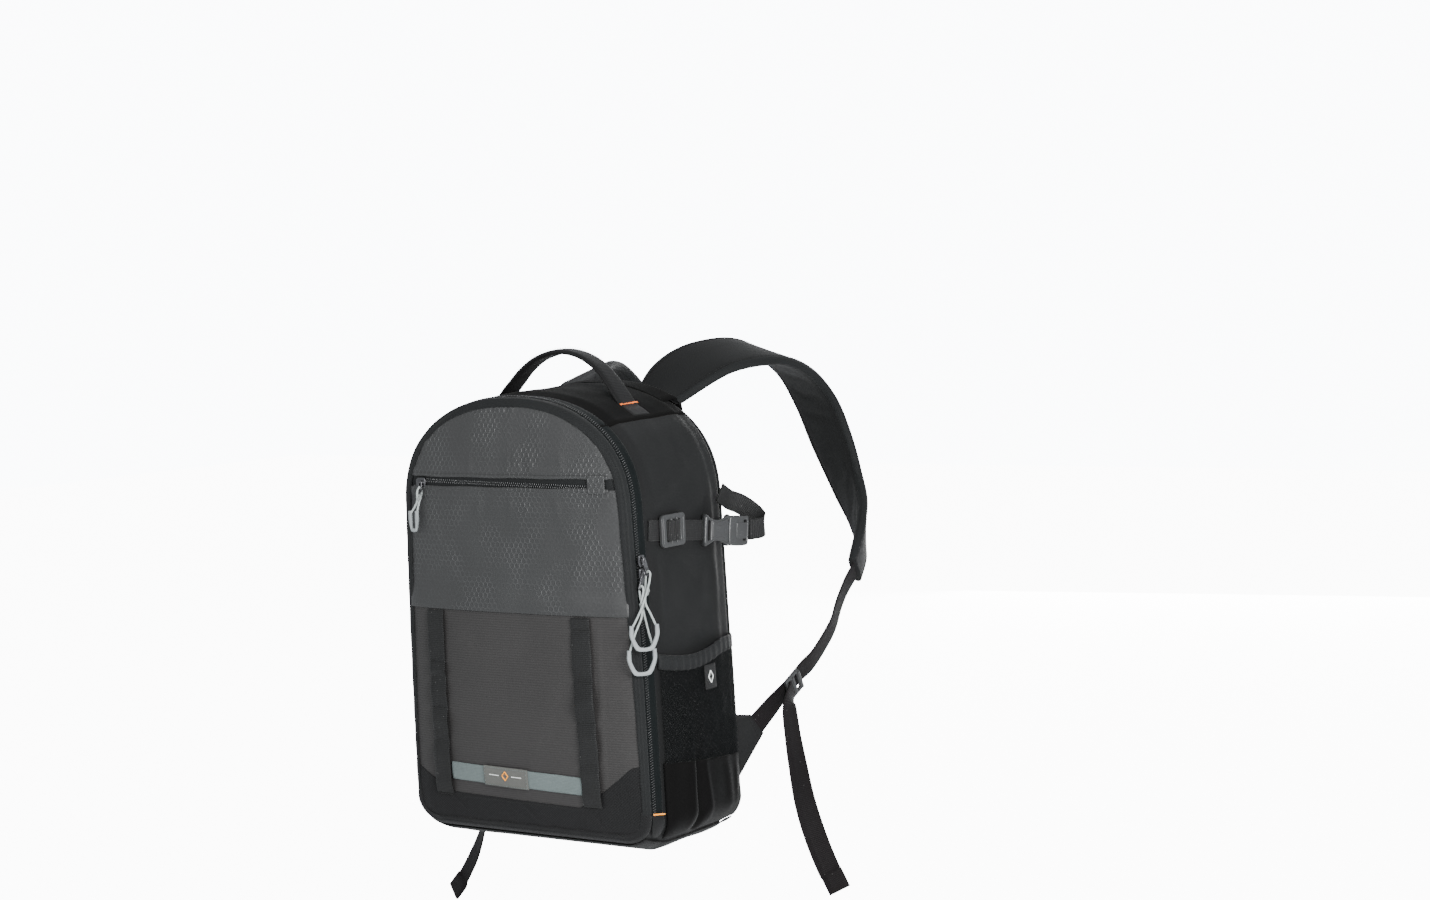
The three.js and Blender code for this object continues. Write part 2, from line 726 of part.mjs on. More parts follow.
// Slider of a zip: a body over the coil, in the plane of two directions
function sliderBody(at, right, up) {
  const half = SLIDER_WIDTH / 2;
  const end = SLIDER_LENGTH / 2;
  const shape = polygon([
    [-half * 0.6, -end], [half * 0.6, -end], [half, -end * 0.3],
    [half, end * 0.8], [half * 0.5, end], [-half * 0.5, end], [-half, end * 0.8], [-half, -end * 0.3],
  ]);
  return plate(shape, SLIDER_THICKNESS, { at, right, up });
}

// Puller: a small plate with a wide eye at its foot
function pullerPlate(at, right, up, length) {
  const shape = roundedRectangle(PULLER_WIDTH, length, 1.8, 0, -length / 2);
  const eye = roundedRectangle(EYE_WIDTH, EYE_LENGTH, 1.6, 0, -length + EYE_PLACE);
  shape.holes.push(new THREE.Path(eye.getPoints(2)));
  return plate(shape, PULLER_THICKNESS, { at, right, up });
}

// Grip of a pull cord: a half ring with a flat foot
function gripPlate(at, right, up, width = GRIP_WIDTH, height = GRIP_HEIGHT) {
  const w = width / 2;
  const b = GRIP_BAR;
  const shape = polygon([
    [-w, 0], [-w, -height * 0.35], [-w * 0.45, -height], [w * 0.45, -height], [w, -height * 0.35], [w, 0],
    [w - b, 0], [w - b, -height * 0.3], [w * 0.35, -height + b], [-w * 0.35, -height + b],
    [-w + b, -height * 0.3], [-w + b, 0],
  ]);
  return plate(shape, GRIP_THICKNESS, { at, right, up });
}

function cordTube(points) {
  const path = new THREE.CatmullRomCurve3(points, false, 'centripetal');
  const radius = CORD_DIAMETER / 2;
  const ring = shares(CORD_SIDES).slice(0, -1).map((share) => [
    radius * Math.cos(2 * Math.PI * share), radius * Math.sin(2 * Math.PI * share),
  ]);
  const steps = Math.round(path.getLength() / (2.6 * CORD_DIAMETER));
  const extruded = new THREE.ExtrudeGeometry(polygon(ring), { steps, extrudePath: path });
  extruded.deleteAttribute('normal');
  extruded.deleteAttribute('uv');
  const merged = mergeVertices(extruded, 1e-4);
  return closedGeometry([...merged.attributes.position.array], [...merged.index.array]);
}

// The filled bag departs a little from its straight pattern: fuller low down, narrower at the top,
// leaning sideways, with its front lower edge rounded up and its top falling to the front
function wornPoint(p) {
  const share = p.z / BODY_HEIGHT;
  const width = 1 + WORN_BELLY - WORN_TAPER * share * Math.abs(share);
  const lean = lerp(WORN_LEAN_FOOT, WORN_LEAN_TOP, share);
  const forward = clamp((RIM_Y + FOOT_LIFT_REACH - p.y) / FOOT_LIFT_REACH, 0, 1.4);
  const low = clamp(1 - p.z / FOOT_LIFT_HEIGHT, 0, 1);
  const lift = FRONT_FOOT_LIFT * forward ** 2 * low ** 2;
  const fall = FRONT_TOP_FALL * smooth(p.z, SPRING, BODY_HEIGHT) * clamp((BACK_Y - p.y) / BODY_DEPTH, 0, 1);
  return vec(p.x * width + lean, p.y, p.z + lift - fall);
}

// Assembly
const pack = new THREE.Group();
function add(name, material, geometry, form = wornPoint) {
  const position = geometry.attributes.position;
  for (let i = 0; form && i < position.count; i += 1) {
    const moved = form(vec(position.getX(i), position.getY(i), position.getZ(i)));
    position.setXYZ(i, moved.x, moved.y, moved.z);
  }
  geometry.computeVertexNormals();
  const mesh = new THREE.Mesh(geometry, materials[material]);
  mesh.name = name;
  pack.add(mesh);
}
const sides = [{ side: 1, word: 'right' }, { side: -1, word: 'left' }];

// Main body, its lid and the main zip between them
add('main_body', 'side', bodyTub());
add('front_lid', 'side', frontLid());
add('back_pad', 'side', backPad());
add('edge_band', 'binding', edgeBand());
add('main_zip_tape', 'binding', rimStrip(
  ZIP_END_HEIGHT, RIM_Y + GAP, ZIP_BACK_Y, TAPE_INNER, TAPE_OUTER,
));
add('main_zip_coil', 'coil', rimStrip(
  ZIP_END_HEIGHT + 2, COIL_FRONT_Y, COIL_FRONT_Y + COIL_WIDTH, COIL_INNER, COIL_OUTER, 0.5,
));

// Front panels
function upperPanel() {
  const inset = bandWidth(BODY_HEIGHT) + PANEL_EDGE_GAP;
  const rise = ARCH_HEIGHT - inset;
  const blendTop = POCKET_ZIP_TOP + WELT_BLEND;
  const first = Math.asin(((blendTop - SPRING) / rise) ** (ARCH_POWER / 2));
  const last = THREE.MathUtils.degToRad(86);
  const heights = [
    POCKET_ZIP_TOP - WELT_OVERLAP,
    POCKET_ZIP_TOP + 1,
    ...shares(6).map((share) => SPRING + rise * Math.sin(lerp(first, last, share)) ** (2 / ARCH_POWER)),
  ];
  const low = heights[0];
  const high = heights[heights.length - 1];
  return frontPanel({
    low: level(low),
    high: level(high),
    rows: heights.map((height) => (height - low) / (high - low)),
    lift: (z) => WELT_LIFT * (1 - smooth(z, POCKET_ZIP_TOP + 1, blendTop)),
  });
}

function middlePanel() {
  const heights = [
    MIDDLE_HEM_HEIGHT,
    MIDDLE_HEM_HEIGHT + HEM_OVERLAP + 2,
    MIDDLE_HEM_HEIGHT + 16,
    MIDDLE_HEM_HEIGHT + 28,
    lerp(MIDDLE_HEM_HEIGHT, POCKET_ZIP_BOTTOM, 0.5),
    POCKET_ZIP_BOTTOM - WELT_BLEND,
    POCKET_ZIP_BOTTOM - 1,
    POCKET_ZIP_BOTTOM + WELT_OVERLAP * 0.6,
  ];
  const low = heights[0];
  const high = heights[heights.length - 1];
  return frontPanel({
    low: level(low),
    high: level(high),
    rows: heights.map((height) => (height - low) / (high - low)),
    lift: (z) => HEM_LIFT * (1 - smooth(z, heights[1], heights[3]))
      + WELT_LIFT * smooth(z, POCKET_ZIP_BOTTOM - WELT_BLEND, POCKET_ZIP_BOTTOM - 1),
  });
}

const POCKET_TAPE = 0.8;
add('upper_panel', 'panel', upperPanel());
add('pocket_zip_tape', 'binding', frontPanel({
  low: level(POCKET_ZIP_BOTTOM + GAP), high: level(POCKET_ZIP_TOP), rows: [0, 0.5, 1], outer: GAP + POCKET_TAPE,
}));
add('middle_panel', 'panel', middlePanel());
add('lower_panel', 'ribbed', frontPanel({
  low: bootTop, high: level(MIDDLE_HEM_HEIGHT + HEM_OVERLAP), rows: shares(5),
}));
add('boot_front', 'boot', bootFront());
add('boot_base', 'boot', bootBase());

const COIL_LAYER = GAP + POCKET_TAPE + GAP;
const COIL_TOP_LAYER = COIL_LAYER + COIL_HEIGHT * 0.6;
add('pocket_zip_coil', 'coil', frontStrip({
  x0: POCKET_COIL_LEFT,
  x1: POCKET_COIL_RIGHT,
  z0: POCKET_COIL_Z - COIL_WIDTH / 2,
  z1: POCKET_COIL_Z + COIL_WIDTH / 2,
  inner: COIL_LAYER,
  outer: COIL_TOP_LAYER,
  slope: POCKET_COIL_SLOPE,
  steps: 12,
}));

// Webbing on the lower panel
const PANEL_LAYER = GAP + CLOTH + GAP;
add('daisy_chain_left', 'webbing', daisyChain(DAISY_LEFT_X, LEFT_LOOPS, 0.5));
add('daisy_chain_right', 'webbing', daisyChain(DAISY_RIGHT_X, RIGHT_LOOPS, 2));
add('grey_strap', 'greyWebbing', frontStrip({
  x0: DAISY_LEFT_X + DAISY_WIDTH / 2 + 1,
  x1: DAISY_RIGHT_X - DAISY_WIDTH / 2 - 1,
  z0: GREY_STRAP_HEIGHT - GREY_STRAP_WIDTH / 2,
  z1: GREY_STRAP_HEIGHT + GREY_STRAP_WIDTH / 2,
  inner: PANEL_LAYER,
  outer: PANEL_LAYER + DAISY_THICKNESS,
  slope: GREY_STRAP_SLOPE,
}));
add('strap_patch', 'patch', frontStrip({
  x0: PATCH_X - PATCH_WIDTH / 2,
  x1: PATCH_X + PATCH_WIDTH / 2,
  z0: GREY_STRAP_HEIGHT - PATCH_HEIGHT / 2,
  z1: GREY_STRAP_HEIGHT + PATCH_HEIGHT / 2,
  inner: PANEL_LAYER + DAISY_THICKNESS + GAP,
  outer: PANEL_LAYER + DAISY_THICKNESS + GAP + PATCH_THICKNESS,
  steps: 3,
  slope: GREY_STRAP_SLOPE,
}));

// Side pockets: a cloth foot, mesh above it and a bound mouth
const meshTop = (u) => pocketTop(u) - POCKET_BINDING - GAP;
const meshFoot = (u) => pocketSeam(u) + GAP;
sides.forEach(({ side, word }) => {
  add(`side_pocket_base_${word}`, 'side', pocketPart(side, level(POCKET_FOOT), pocketSeam, [0, 0.12, 0.3, 0.65, 1]));
  add(`side_pocket_mesh_${word}`, 'mesh', pocketPart(side, meshFoot, meshTop, [0, 0.3, 0.65, 1]));
  add(`side_pocket_binding_${word}`, 'binding', pocketPart(
    side, (u) => pocketTop(u) - POCKET_BINDING, pocketTop, [0, 1], POCKET_CLOTH + 0.6,
  ));
});
add('pocket_label', 'webbing', sidePatch({
  side: 1,
  y0: LABEL_Y,
  y1: LABEL_Y + LABEL_WIDTH,
  z0: level(POCKET_TOP - LABEL_DROP - LABEL_HEIGHT),
  z1: level(POCKET_TOP - LABEL_DROP),
  inner: GAP + POCKET_CLOTH + GAP + 0.4,
  outer: GAP + POCKET_CLOTH + GAP + 1.2,
  columns: shares(2),
  rows: shares(2),
  stand: (u, z) => pocketStand((lerp(LABEL_Y, LABEL_Y + LABEL_WIDTH, u) - POCKET_FRONT_Y)
    / (POCKET_BACK_Y - POCKET_FRONT_Y), z),
}));

// Ends of the main zip: a tab with a round foot and a bar of thread over its top
sides.forEach(({ side, word }) => {
  add(`zip_garage_${word}`, 'side', sidePatch({
    side,
    y0: RIM_Y + GAP,
    y1: ZIP_BACK_Y,
    z0: (u) => ZIP_END_HEIGHT - GARAGE_HEIGHT * (1 - 0.45 * Math.abs(2 * u - 1) ** 2.5),
    z1: level(ZIP_END_HEIGHT - GAP),
    inner: GAP,
    outer: GAP + CLOTH,
    columns: shares(6),
    rows: shares(3),
    stand: (u, z) => overCorner(z),
  }));
  add(`zip_bartack_${word}`, 'thread', sidePatch({
    side,
    y0: RIM_Y,
    y1: RIM_Y + BARTACK_LENGTH,
    z0: level(ZIP_END_HEIGHT - BARTACK_WIDTH / 2),
    z1: level(ZIP_END_HEIGHT + BARTACK_WIDTH / 2),
    inner: 2 * GAP + CLOTH + ZIP_TAPE_THICKNESS,
    outer: 2 * GAP + CLOTH + ZIP_TAPE_THICKNESS + BARTACK_THICKNESS,
    columns: shares(4),
    rows: [0, 1],
    stand: (u, z) => overCorner(z),
  }));
});

// Sliders and pullers: two meet on the right side, one hangs at the left end of the pocket zip
const ACROSS = vec(1, 0, 0);
const DEEP = vec(0, 1, 0);
const UP = vec(0, 0, 1);
const SLIDER_X = HALF_WIDTH - COIL_OUTER + 0.5 + GAP;
const PULLER_X = SLIDER_X + SLIDER_THICKNESS + GAP;
const SLIDER_OFFSET = SLIDER_LENGTH / 2 + 2 * GAP;
const PULLER_TILT = { upper: 0.42, lower: -0.42 };
add('slider_upper', 'metal', sliderBody(vec(SLIDER_X, COIL_MIDDLE_Y, SLIDER_HEIGHT + SLIDER_OFFSET), DEEP, UP));
add('slider_lower', 'metal', sliderBody(vec(SLIDER_X, COIL_MIDDLE_Y, SLIDER_HEIGHT - SLIDER_OFFSET), DEEP, UP));
Object.entries(PULLER_TILT).forEach(([word, tilt]) => {
  const level0 = SLIDER_HEIGHT + (word === 'upper' ? SLIDER_OFFSET : -SLIDER_OFFSET);
  const right = vec(0, Math.cos(tilt), Math.sin(tilt));
  const up = vec(0, -Math.sin(tilt), Math.cos(tilt));
  add(`puller_${word}`, 'metal', pullerPlate(vec(PULLER_X, COIL_MIDDLE_Y, level0 + 3), right, up, PULLER_LENGTH));
});
const POCKET_SLIDER_Y = frontY(
  POCKET_SLIDER_X + SLIDER_LENGTH / 2, POCKET_COIL_Z, COIL_TOP_LAYER + 2 * GAP,
);
const POCKET_PULLER_Y = POCKET_SLIDER_Y - SLIDER_THICKNESS - GAP;
add('slider_pocket', 'metal', sliderBody(
  vec(POCKET_SLIDER_X, POCKET_SLIDER_Y, POCKET_COIL_Z), UP.clone().negate(), ACROSS,
));
add('puller_pocket', 'metal', pullerPlate(
  vec(POCKET_SLIDER_X, POCKET_PULLER_Y, POCKET_COIL_Z + 2), ACROSS, UP, POCKET_PULLER_LENGTH,
));

// Pull cords hang from the pullers' eyes, each to its grip. Their routes stay as chosen by hand, in
// millimetres from the middle of the coil at the sliders, or from the pocket slider.
const GRIP_RIGHT = vec(0.6, 0.8, 0);
const PULL_ORIGIN = vec(SLIDER_X - 3.4, COIL_MIDDLE_Y + 3, SLIDER_HEIGHT);
const UPPER_CORD = [
  [6.8, -30.5, -57.6], [9.4, -17.5, -42], [9.7, -11.6, -34.6], [11.1, -5, -22], [10.8, 1.4, -11],
  [9.6, 3.9, -5.8], [7.4, 4.4, -4.2], [5.2, 4.3, -6], [4.9, 2.2, -13], [7, -2, -21],
  [11.3, -9.6, -34.6], [16, -9.4, -44], [22.6, -9.3, -57.6],
];
const LOWER_CORD = [
  [-0.2, -27.5, -82.6], [1.9, -18, -64], [4.4, -7.6, -46.6], [6.2, -9.5, -34], [9.8, -9.8, -22.4],
  [9.5, -9.5, -19], [7.4, -9.3, -17.4], [5.1, -9.2, -19.2], [4.9, -9, -28], [5.9, -5.6, -46.6],
  [9.5, -5.2, -64], [15.6, -6.3, -82.6],
];
const POCKET_PULL = [
  [-12.2, -5.6, -33.6], [-3.4, -5, -21], [-1, -7, -13], [-0.3, -7, -8.6], [0, -4, -5.3],
  [0.2, -1.3, -7.6], [0.2, -1.6, -13], [-0.8, -4.4, -21], [-3.8, -5.6, -33.6],
];
const route = (origin, points) => points.map(([x, y, z]) => origin.clone().add(vec(x, y, z)));
const POCKET_PULL_ORIGIN = vec(POCKET_SLIDER_X, POCKET_SLIDER_Y - 0.4, POCKET_COIL_Z);
add('pull_cord_upper', 'cord', cordTube(route(PULL_ORIGIN, UPPER_CORD)));
add('pull_cord_lower', 'cord', cordTube(route(PULL_ORIGIN, LOWER_CORD)));
add('pull_cord_pocket', 'cord', cordTube(route(POCKET_PULL_ORIGIN, POCKET_PULL)));

// Each grip hangs with its arms right under the ends of its cord
function gripUnder(origin, cord, right, width, height) {
  const ends = route(origin, [cord[0], cord[cord.length - 1]]);
  const out = right.clone().cross(UP);
  const at = ends[0].add(ends[1]).multiplyScalar(0.5)
    .addScaledVector(out, -GRIP_THICKNESS / 2)
    .addScaledVector(UP, -3 * GAP);
  return gripPlate(at, right, UP, width, height);
}
add('grip_upper', 'grip', gripUnder(PULL_ORIGIN, UPPER_CORD, GRIP_RIGHT, GRIP_WIDTH, GRIP_HEIGHT));
add('grip_lower', 'grip', gripUnder(PULL_ORIGIN, LOWER_CORD, GRIP_RIGHT, GRIP_WIDTH, GRIP_HEIGHT));
add('grip_pocket', 'grip', gripUnder(POCKET_PULL_ORIGIN, POCKET_PULL, ACROSS, SMALL_GRIP_WIDTH, SMALL_GRIP_HEIGHT));

// Compression strap: rows in plan, from the wall beside the zip to the buckle and round the corner
function planStrap(rows, width = SIDE_WEBBING_WIDTH) {
  const points = rows.map(([x, y, z]) => vec(HALF_WIDTH + x, y, SIDE_STRAP_Z + z));
  return loft(strapRings(points.map((at, i) => {
    const ahead = points[Math.min(i + 1, points.length - 1)];
    const behind = points[Math.max(i - 1, 0)];
    const along = ahead.clone().sub(behind);
    return { at, facing: vec(along.y, -along.x, 0).normalize(), width, thickness: WEBBING_THICKNESS };
  })));
}
const STRAP_OUT = GAP + WEBBING_THICKNESS / 2;
const BUCKLE_START = vec(
  HALF_WIDTH + STRAP_OUT + BUCKLE_STAND, BUCKLE_START_Y, SIDE_STRAP_Z - BUCKLE_START_DROP,
);
const BUCKLE_ALONG = vec(0.336, 0.937, -0.09).normalize();
const BUCKLE_OUT = BUCKLE_ALONG.clone().cross(UP).normalize();
const BUCKLE_UP = BUCKLE_OUT.clone().cross(BUCKLE_ALONG).normalize();
add('side_strap_front', 'webbing', planStrap([
  [STRAP_OUT, POCKET_FRONT_Y + 1, 0],
  [STRAP_OUT, -22, -3],
  [STRAP_OUT + 0.6, 6, -6],
  [STRAP_OUT + 4, 35, -9],
]));

function ladderLock() {
  const shape = roundedRectangle(LOCK_LENGTH, LOCK_HEIGHT, 5);
  [-1, 0, 1].forEach((place) => {
    const slot = roundedRectangle(LOCK_BAR, SIDE_WEBBING_WIDTH + 1, 1.5, place * LOCK_BAR * 2, 0);
    shape.holes.push(new THREE.Path(slot.getPoints(2)));
  });
  const at = vec(HALF_WIDTH + STRAP_OUT + WEBBING_THICKNESS / 2 + GAP + 0.6, -18, SIDE_STRAP_Z - 3);
  return plate(shape, LOCK_THICKNESS, { at, right: DEEP, up: UP });
}
add('ladder_lock', 'plastic', ladderLock());

// Side-release buckle: a waisted socket and the block of the tongue behind it
function buckleHalf(points, from) {
  const shape = polygon(points.map(([along, up]) => [along * BUCKLE_LENGTH, up * BUCKLE_HEIGHT]));
  const at = BUCKLE_START.clone()
    .addScaledVector(BUCKLE_ALONG, from)
    .addScaledVector(BUCKLE_OUT, -BUCKLE_THICKNESS / 2);
  return plate(shape, BUCKLE_THICKNESS, { at, right: BUCKLE_ALONG, up: BUCKLE_UP });
}
const SOCKET = [
  [0, -0.48], [0.12, -0.44], [0.22, -0.34], [0.34, -0.32], [0.48, -0.4], [0.53, -0.48],
  [0.53, 0.48], [0.48, 0.4], [0.34, 0.3], [0.22, 0.3], [0.12, 0.4], [0, 0.48],
];
const TONGUE = [
  [0, -0.42], [0.1, -0.5], [0.34, -0.5], [0.44, -0.4],
  [0.44, 0.4], [0.34, 0.46], [0.1, 0.46], [0, 0.4],
];
add('buckle_socket', 'plastic', buckleHalf(SOCKET, GAP));
add('buckle_tongue', 'plastic', buckleHalf(TONGUE, 0.53 * BUCKLE_LENGTH + 2 * GAP));
const BUCKLE_REACH = 0.97 * BUCKLE_LENGTH + 6 * GAP;
const BUCKLE_END = BUCKLE_START.clone().addScaledVector(BUCKLE_ALONG, BUCKLE_REACH);
const rearRow = ([x, y, z]) => [BUCKLE_END.x - HALF_WIDTH + x, BUCKLE_END.y + y, BUCKLE_END.z - SIDE_STRAP_Z + z];
add('side_strap_rear', 'webbing', planStrap([
  [0, 1.4, 0], [3, 8, 0], [1, 14, 1], [-7, 13, 2], [-17, 5, 3],
].map(rearRow).concat([[GAP - 3.5, BACK_Y - 6, -12]])));
add('side_strap_tail', 'webbing', planStrap([
  [1.8, 0.5, 1], [9, 8, 1], [10.5, 16, 3], [4, 20.5, 8], [-5, 18, 17], [-14, 10, 26], [-20, 0, 31],
].map(rearRow).concat([[STRAP_OUT + 1.8, BACK_Y - 19, 26]])));

// Grab handle: one padded strap over the top, its ends sewn down flat
const topAt = (x) => SPRING
  + ARCH_HEIGHT * (1 - clamp(Math.abs(x) / HALF_WIDTH, 0, 1) ** ARCH_POWER) ** (1 / ARCH_POWER);
function topNormal(x) {
  const step = 2;
  return vec(topAt(x - step) - topAt(x + step), 0, 2 * step).normalize();
}
const overTop = (x, y, layer) => vec(x, y, topAt(x)).addScaledVector(topNormal(x), layer);
const HANDLE_FORM = [
  { across: 0, rise: 0.1, width: 1, turn: 0.35 },
  { across: 0.06, rise: 0.28, width: 0.98, turn: 0.8 },
  { across: 0.16, rise: 0.57, width: 0.86, turn: 0.6 },
  { across: 0.3, rise: 0.84, width: 0.8, turn: 0.3 },
  { across: 0.5, rise: 1, width: 0.8, turn: 0 },
  { across: 0.68, rise: 0.93, width: 0.8, turn: -0.3 },
  { across: 0.83, rise: 0.7, width: 0.86, turn: -0.6 },
  { across: 0.93, rise: 0.4, width: 0.95, turn: -0.8 },
  { across: 1, rise: 0.12, width: 1, turn: -0.5 },
];
function handle() {
  const flat = (x) => ({
    at: overTop(x, HANDLE_Y, TOP_CLEARANCE + HANDLE_FOOT_THICKNESS / 2),
    facing: topNormal(x),
    width: HANDLE_WIDTH,
    thickness: HANDLE_FOOT_THICKNESS,
  });
  const base = TOP_CLEARANCE + HANDLE_THICKNESS / 2;
  const arch = HANDLE_FORM.map(({ across, rise, width, turn }) => {
    const x = lerp(HANDLE_LEFT_X, HANDLE_RIGHT_X, across);
    const foot = lerp(topAt(HANDLE_LEFT_X), topAt(HANDLE_RIGHT_X), across);
    return {
      at: vec(x, HANDLE_Y, foot + base + rise * HANDLE_RISE),
      facing: vec(-turn, 0, 1).normalize(),
      width: width * HANDLE_WIDTH,
      thickness: HANDLE_THICKNESS,
    };
  });
  const feet = [HANDLE_FOOT_LENGTH, HANDLE_FOOT_LENGTH * 0.5, 6];
  return loft(strapRings([
    ...feet.map((length) => flat(HANDLE_LEFT_X - length)),
    ...arch,
    ...[...feet].reverse().map((length) => flat(HANDLE_RIGHT_X + length)),
  ], PADDED_SECTION));
}
add('grab_handle', 'webbing', handle());
sides.forEach(({ side, word }) => {
  const x = (side > 0 ? HANDLE_RIGHT_X : HANDLE_LEFT_X) + side * 7;
  const point = (u, v, layer) => {
    const across = x + side * (v - 0.5) * BARTACK_WIDTH;
    return overTop(across, HANDLE_Y + (u - 0.5) * HANDLE_WIDTH * 0.96, layer);
  };
  const inner = TOP_CLEARANCE + HANDLE_FOOT_THICKNESS + 2 * GAP;
  add(`handle_bartack_${word}`, 'thread', sheet(point, {
    columns: [0, 1], rows: [0, 1], inner, outer: inner + BARTACK_THICKNESS,
  }));
});

// Yoke: the panel over the back edge of the top, from which the shoulder straps start
function yoke() {
  const columns = shares(10).map((share) => lerp(-YOKE_HALF_WIDTH, YOKE_HALF_WIDTH, share));
  return loft(columns.map((x) => {
    const top = topAt(x);
    const back = BACK_Y + GAP;
    return [
      vec(x, YOKE_FRONT_Y, top + TOP_CLEARANCE + CLOTH),
      vec(x, TUB_BACK_Y, top + TOP_CLEARANCE + YOKE_THICKNESS),
      vec(x, back + YOKE_THICKNESS * 0.6, top - 3),
      vec(x, back + YOKE_THICKNESS, top - 9),
      vec(x, back + YOKE_THICKNESS, top - YOKE_DROP),
      vec(x, back, top - YOKE_DROP),
      vec(x, back, top - 12),
      vec(x, back - 1, top - 6),
      vec(x, TUB_BACK_Y, top + TOP_CLEARANCE),
      vec(x, YOKE_FRONT_Y, top + TOP_CLEARANCE),
    ];
  }));
}
add('yoke', 'side', yoke());

// Shoulder straps as they lie over the shoulders: shares of the named spread, reach and drop, the
// direction of the upper face, the width as a share of the pad's, and the part it takes in the lower
// lie of the left strap
const SHOULDER_PATH = [
  { out: 0, reach: 0, rise: 0, face: [0.24, 0, 0.97], width: 0.92, lie: 0 },
  { out: 0.07, reach: 0.095, rise: 0.09, face: [0.35, -0.4, 0.85], width: 0.97, lie: 0.6 },
  { out: 0.165, reach: 0.21, rise: 0.16, face: [0.42, -0.2, 0.88], width: 1, lie: 1 },
  { out: 0.257, reach: 0.327, rise: 0.195, face: [0.42, 0, 0.9], width: 1, lie: 1 },
  { out: 0.336, reach: 0.475, rise: 0.2, face: [0.38, 0.12, 0.91], width: 1, lie: 1 },
  { out: 0.4, reach: 0.63, rise: 0.16, face: [0.3, 0.4, 0.86], width: 0.98, lie: 1 },
  { out: 0.457, reach: 0.787, rise: 0.06, face: [0.25, 0.65, 0.7], width: 0.96, lie: 0.9 },
  { out: 0.507, reach: 0.908, rise: -0.11, face: [0.2, 0.92, 0.32], width: 0.94, lie: 0.75 },
  { out: 0.564, reach: 0.98, rise: -0.32, face: [0.25, 0.96, 0.08], width: 0.92, lie: 0.55 },
  { out: 0.67, reach: 1, rise: -0.54, face: [0.45, 0.88, 0], width: 0.88, lie: 0.35 },
  { out: 0.814, reach: 0.95, rise: -0.71, face: [0.65, 0.74, 0], width: 0.82, lie: 0.2 },
  { out: 0.93, reach: 0.845, rise: -0.86, face: [0.85, 0.5, 0.05], width: 0.7, lie: 0.1 },
  { out: 1, reach: 0.7, rise: -1, face: [0.95, 0.25, 0.05], width: 0.5, lie: 0 },
];
const CREST_ROW = 3;
const PAD_STEPS = 19;
const flipped = (p, side) => vec(side * p.x, p.y, p.z);
const shoulderPoint = ({ out, reach, rise, lie }, side) => vec(
  side * (STRAP_BASE_X + out * STRAP_SPREAD),
  STRAP_START_Y + reach * STRAP_REACH,
  STRAP_ATTACH_Z + rise * STRAP_DROP - (side < 0 ? LEFT_STRAP_LIE * lie : 0),
);

function shoulderStrap(side) {
  const rows = SHOULDER_PATH.map((row) => ({
    at: shoulderPoint(row, side),
    facing: flipped(vec(...row.face).normalize(), side),
    width: row.width * PAD_WIDTH,
    thickness: PAD_THICKNESS * (row.width < 0.6 ? 0.75 : 1),
  }));
  const smoothed = smoothRows(rows, PAD_STEPS);
  smoothed[0].along = DEEP.clone();
  return loft(strapRings(smoothed, PADDED_SECTION));
}

// Lower webbing runs from a wedge of cloth sewn in at the low back corner to the pad's end. The run
// is in shares of the way out, back and up between the two.
const WEBBING_RUN = [
  { out: 0, back: 0, up: 0 },
  { out: 0.2, back: 0.14, up: 0.12 },
  { out: 0.45, back: 0.305, up: 0.26 },
  { out: 0.575, back: 0.39, up: 0.334 },
  { out: 0.675, back: 0.49, up: 0.393 },
  { out: 0.75, back: 0.636, up: 0.51 },
  { out: 0.8, back: 0.755, up: 0.63 },
  { out: 0.85, back: 0.82, up: 0.765 },
  { out: 0.94, back: 0.9, up: 0.9 },
  { out: 1, back: 1, up: 1 },
];
const PAD_END = shoulderPoint(SHOULDER_PATH[SHOULDER_PATH.length - 1], 1);
const WEDGE_X = HALF_WIDTH - BACK_PAD_SECTIONS[0].inset + WEDGE_THICKNESS / 2 + 2 * GAP;
const WEDGE_Y = TUB_BACK_Y + WEDGE_THICKNESS + 2 * GAP;
const WEDGE_MIDDLE = wornPoint(vec(WEDGE_X, WEDGE_Y, (WEDGE_LOW + WEDGE_HIGH) / 2));
const WEDGE_DIRECTION = vec(0.474, 0.543, 0.691);
const WEDGE_TIP = WEDGE_MIDDLE.clone().addScaledVector(WEDGE_DIRECTION, WEDGE_REACH);
const WEDGE_FACING = vec(0.93, -0.36, 0).normalize();
const RUN_FACING = vec(0.97, 0.2, -0.1).normalize();
const RUN = new THREE.CatmullRomCurve3(WEBBING_RUN.map(({ out, back, up }) => vec(
  lerp(WEDGE_TIP.x, PAD_END.x, out),
  lerp(WEDGE_TIP.y, PAD_END.y, back),
  lerp(WEDGE_TIP.z, PAD_END.z, up),
)), false, 'centripetal');
const RUN_LENGTH = RUN.getLength();

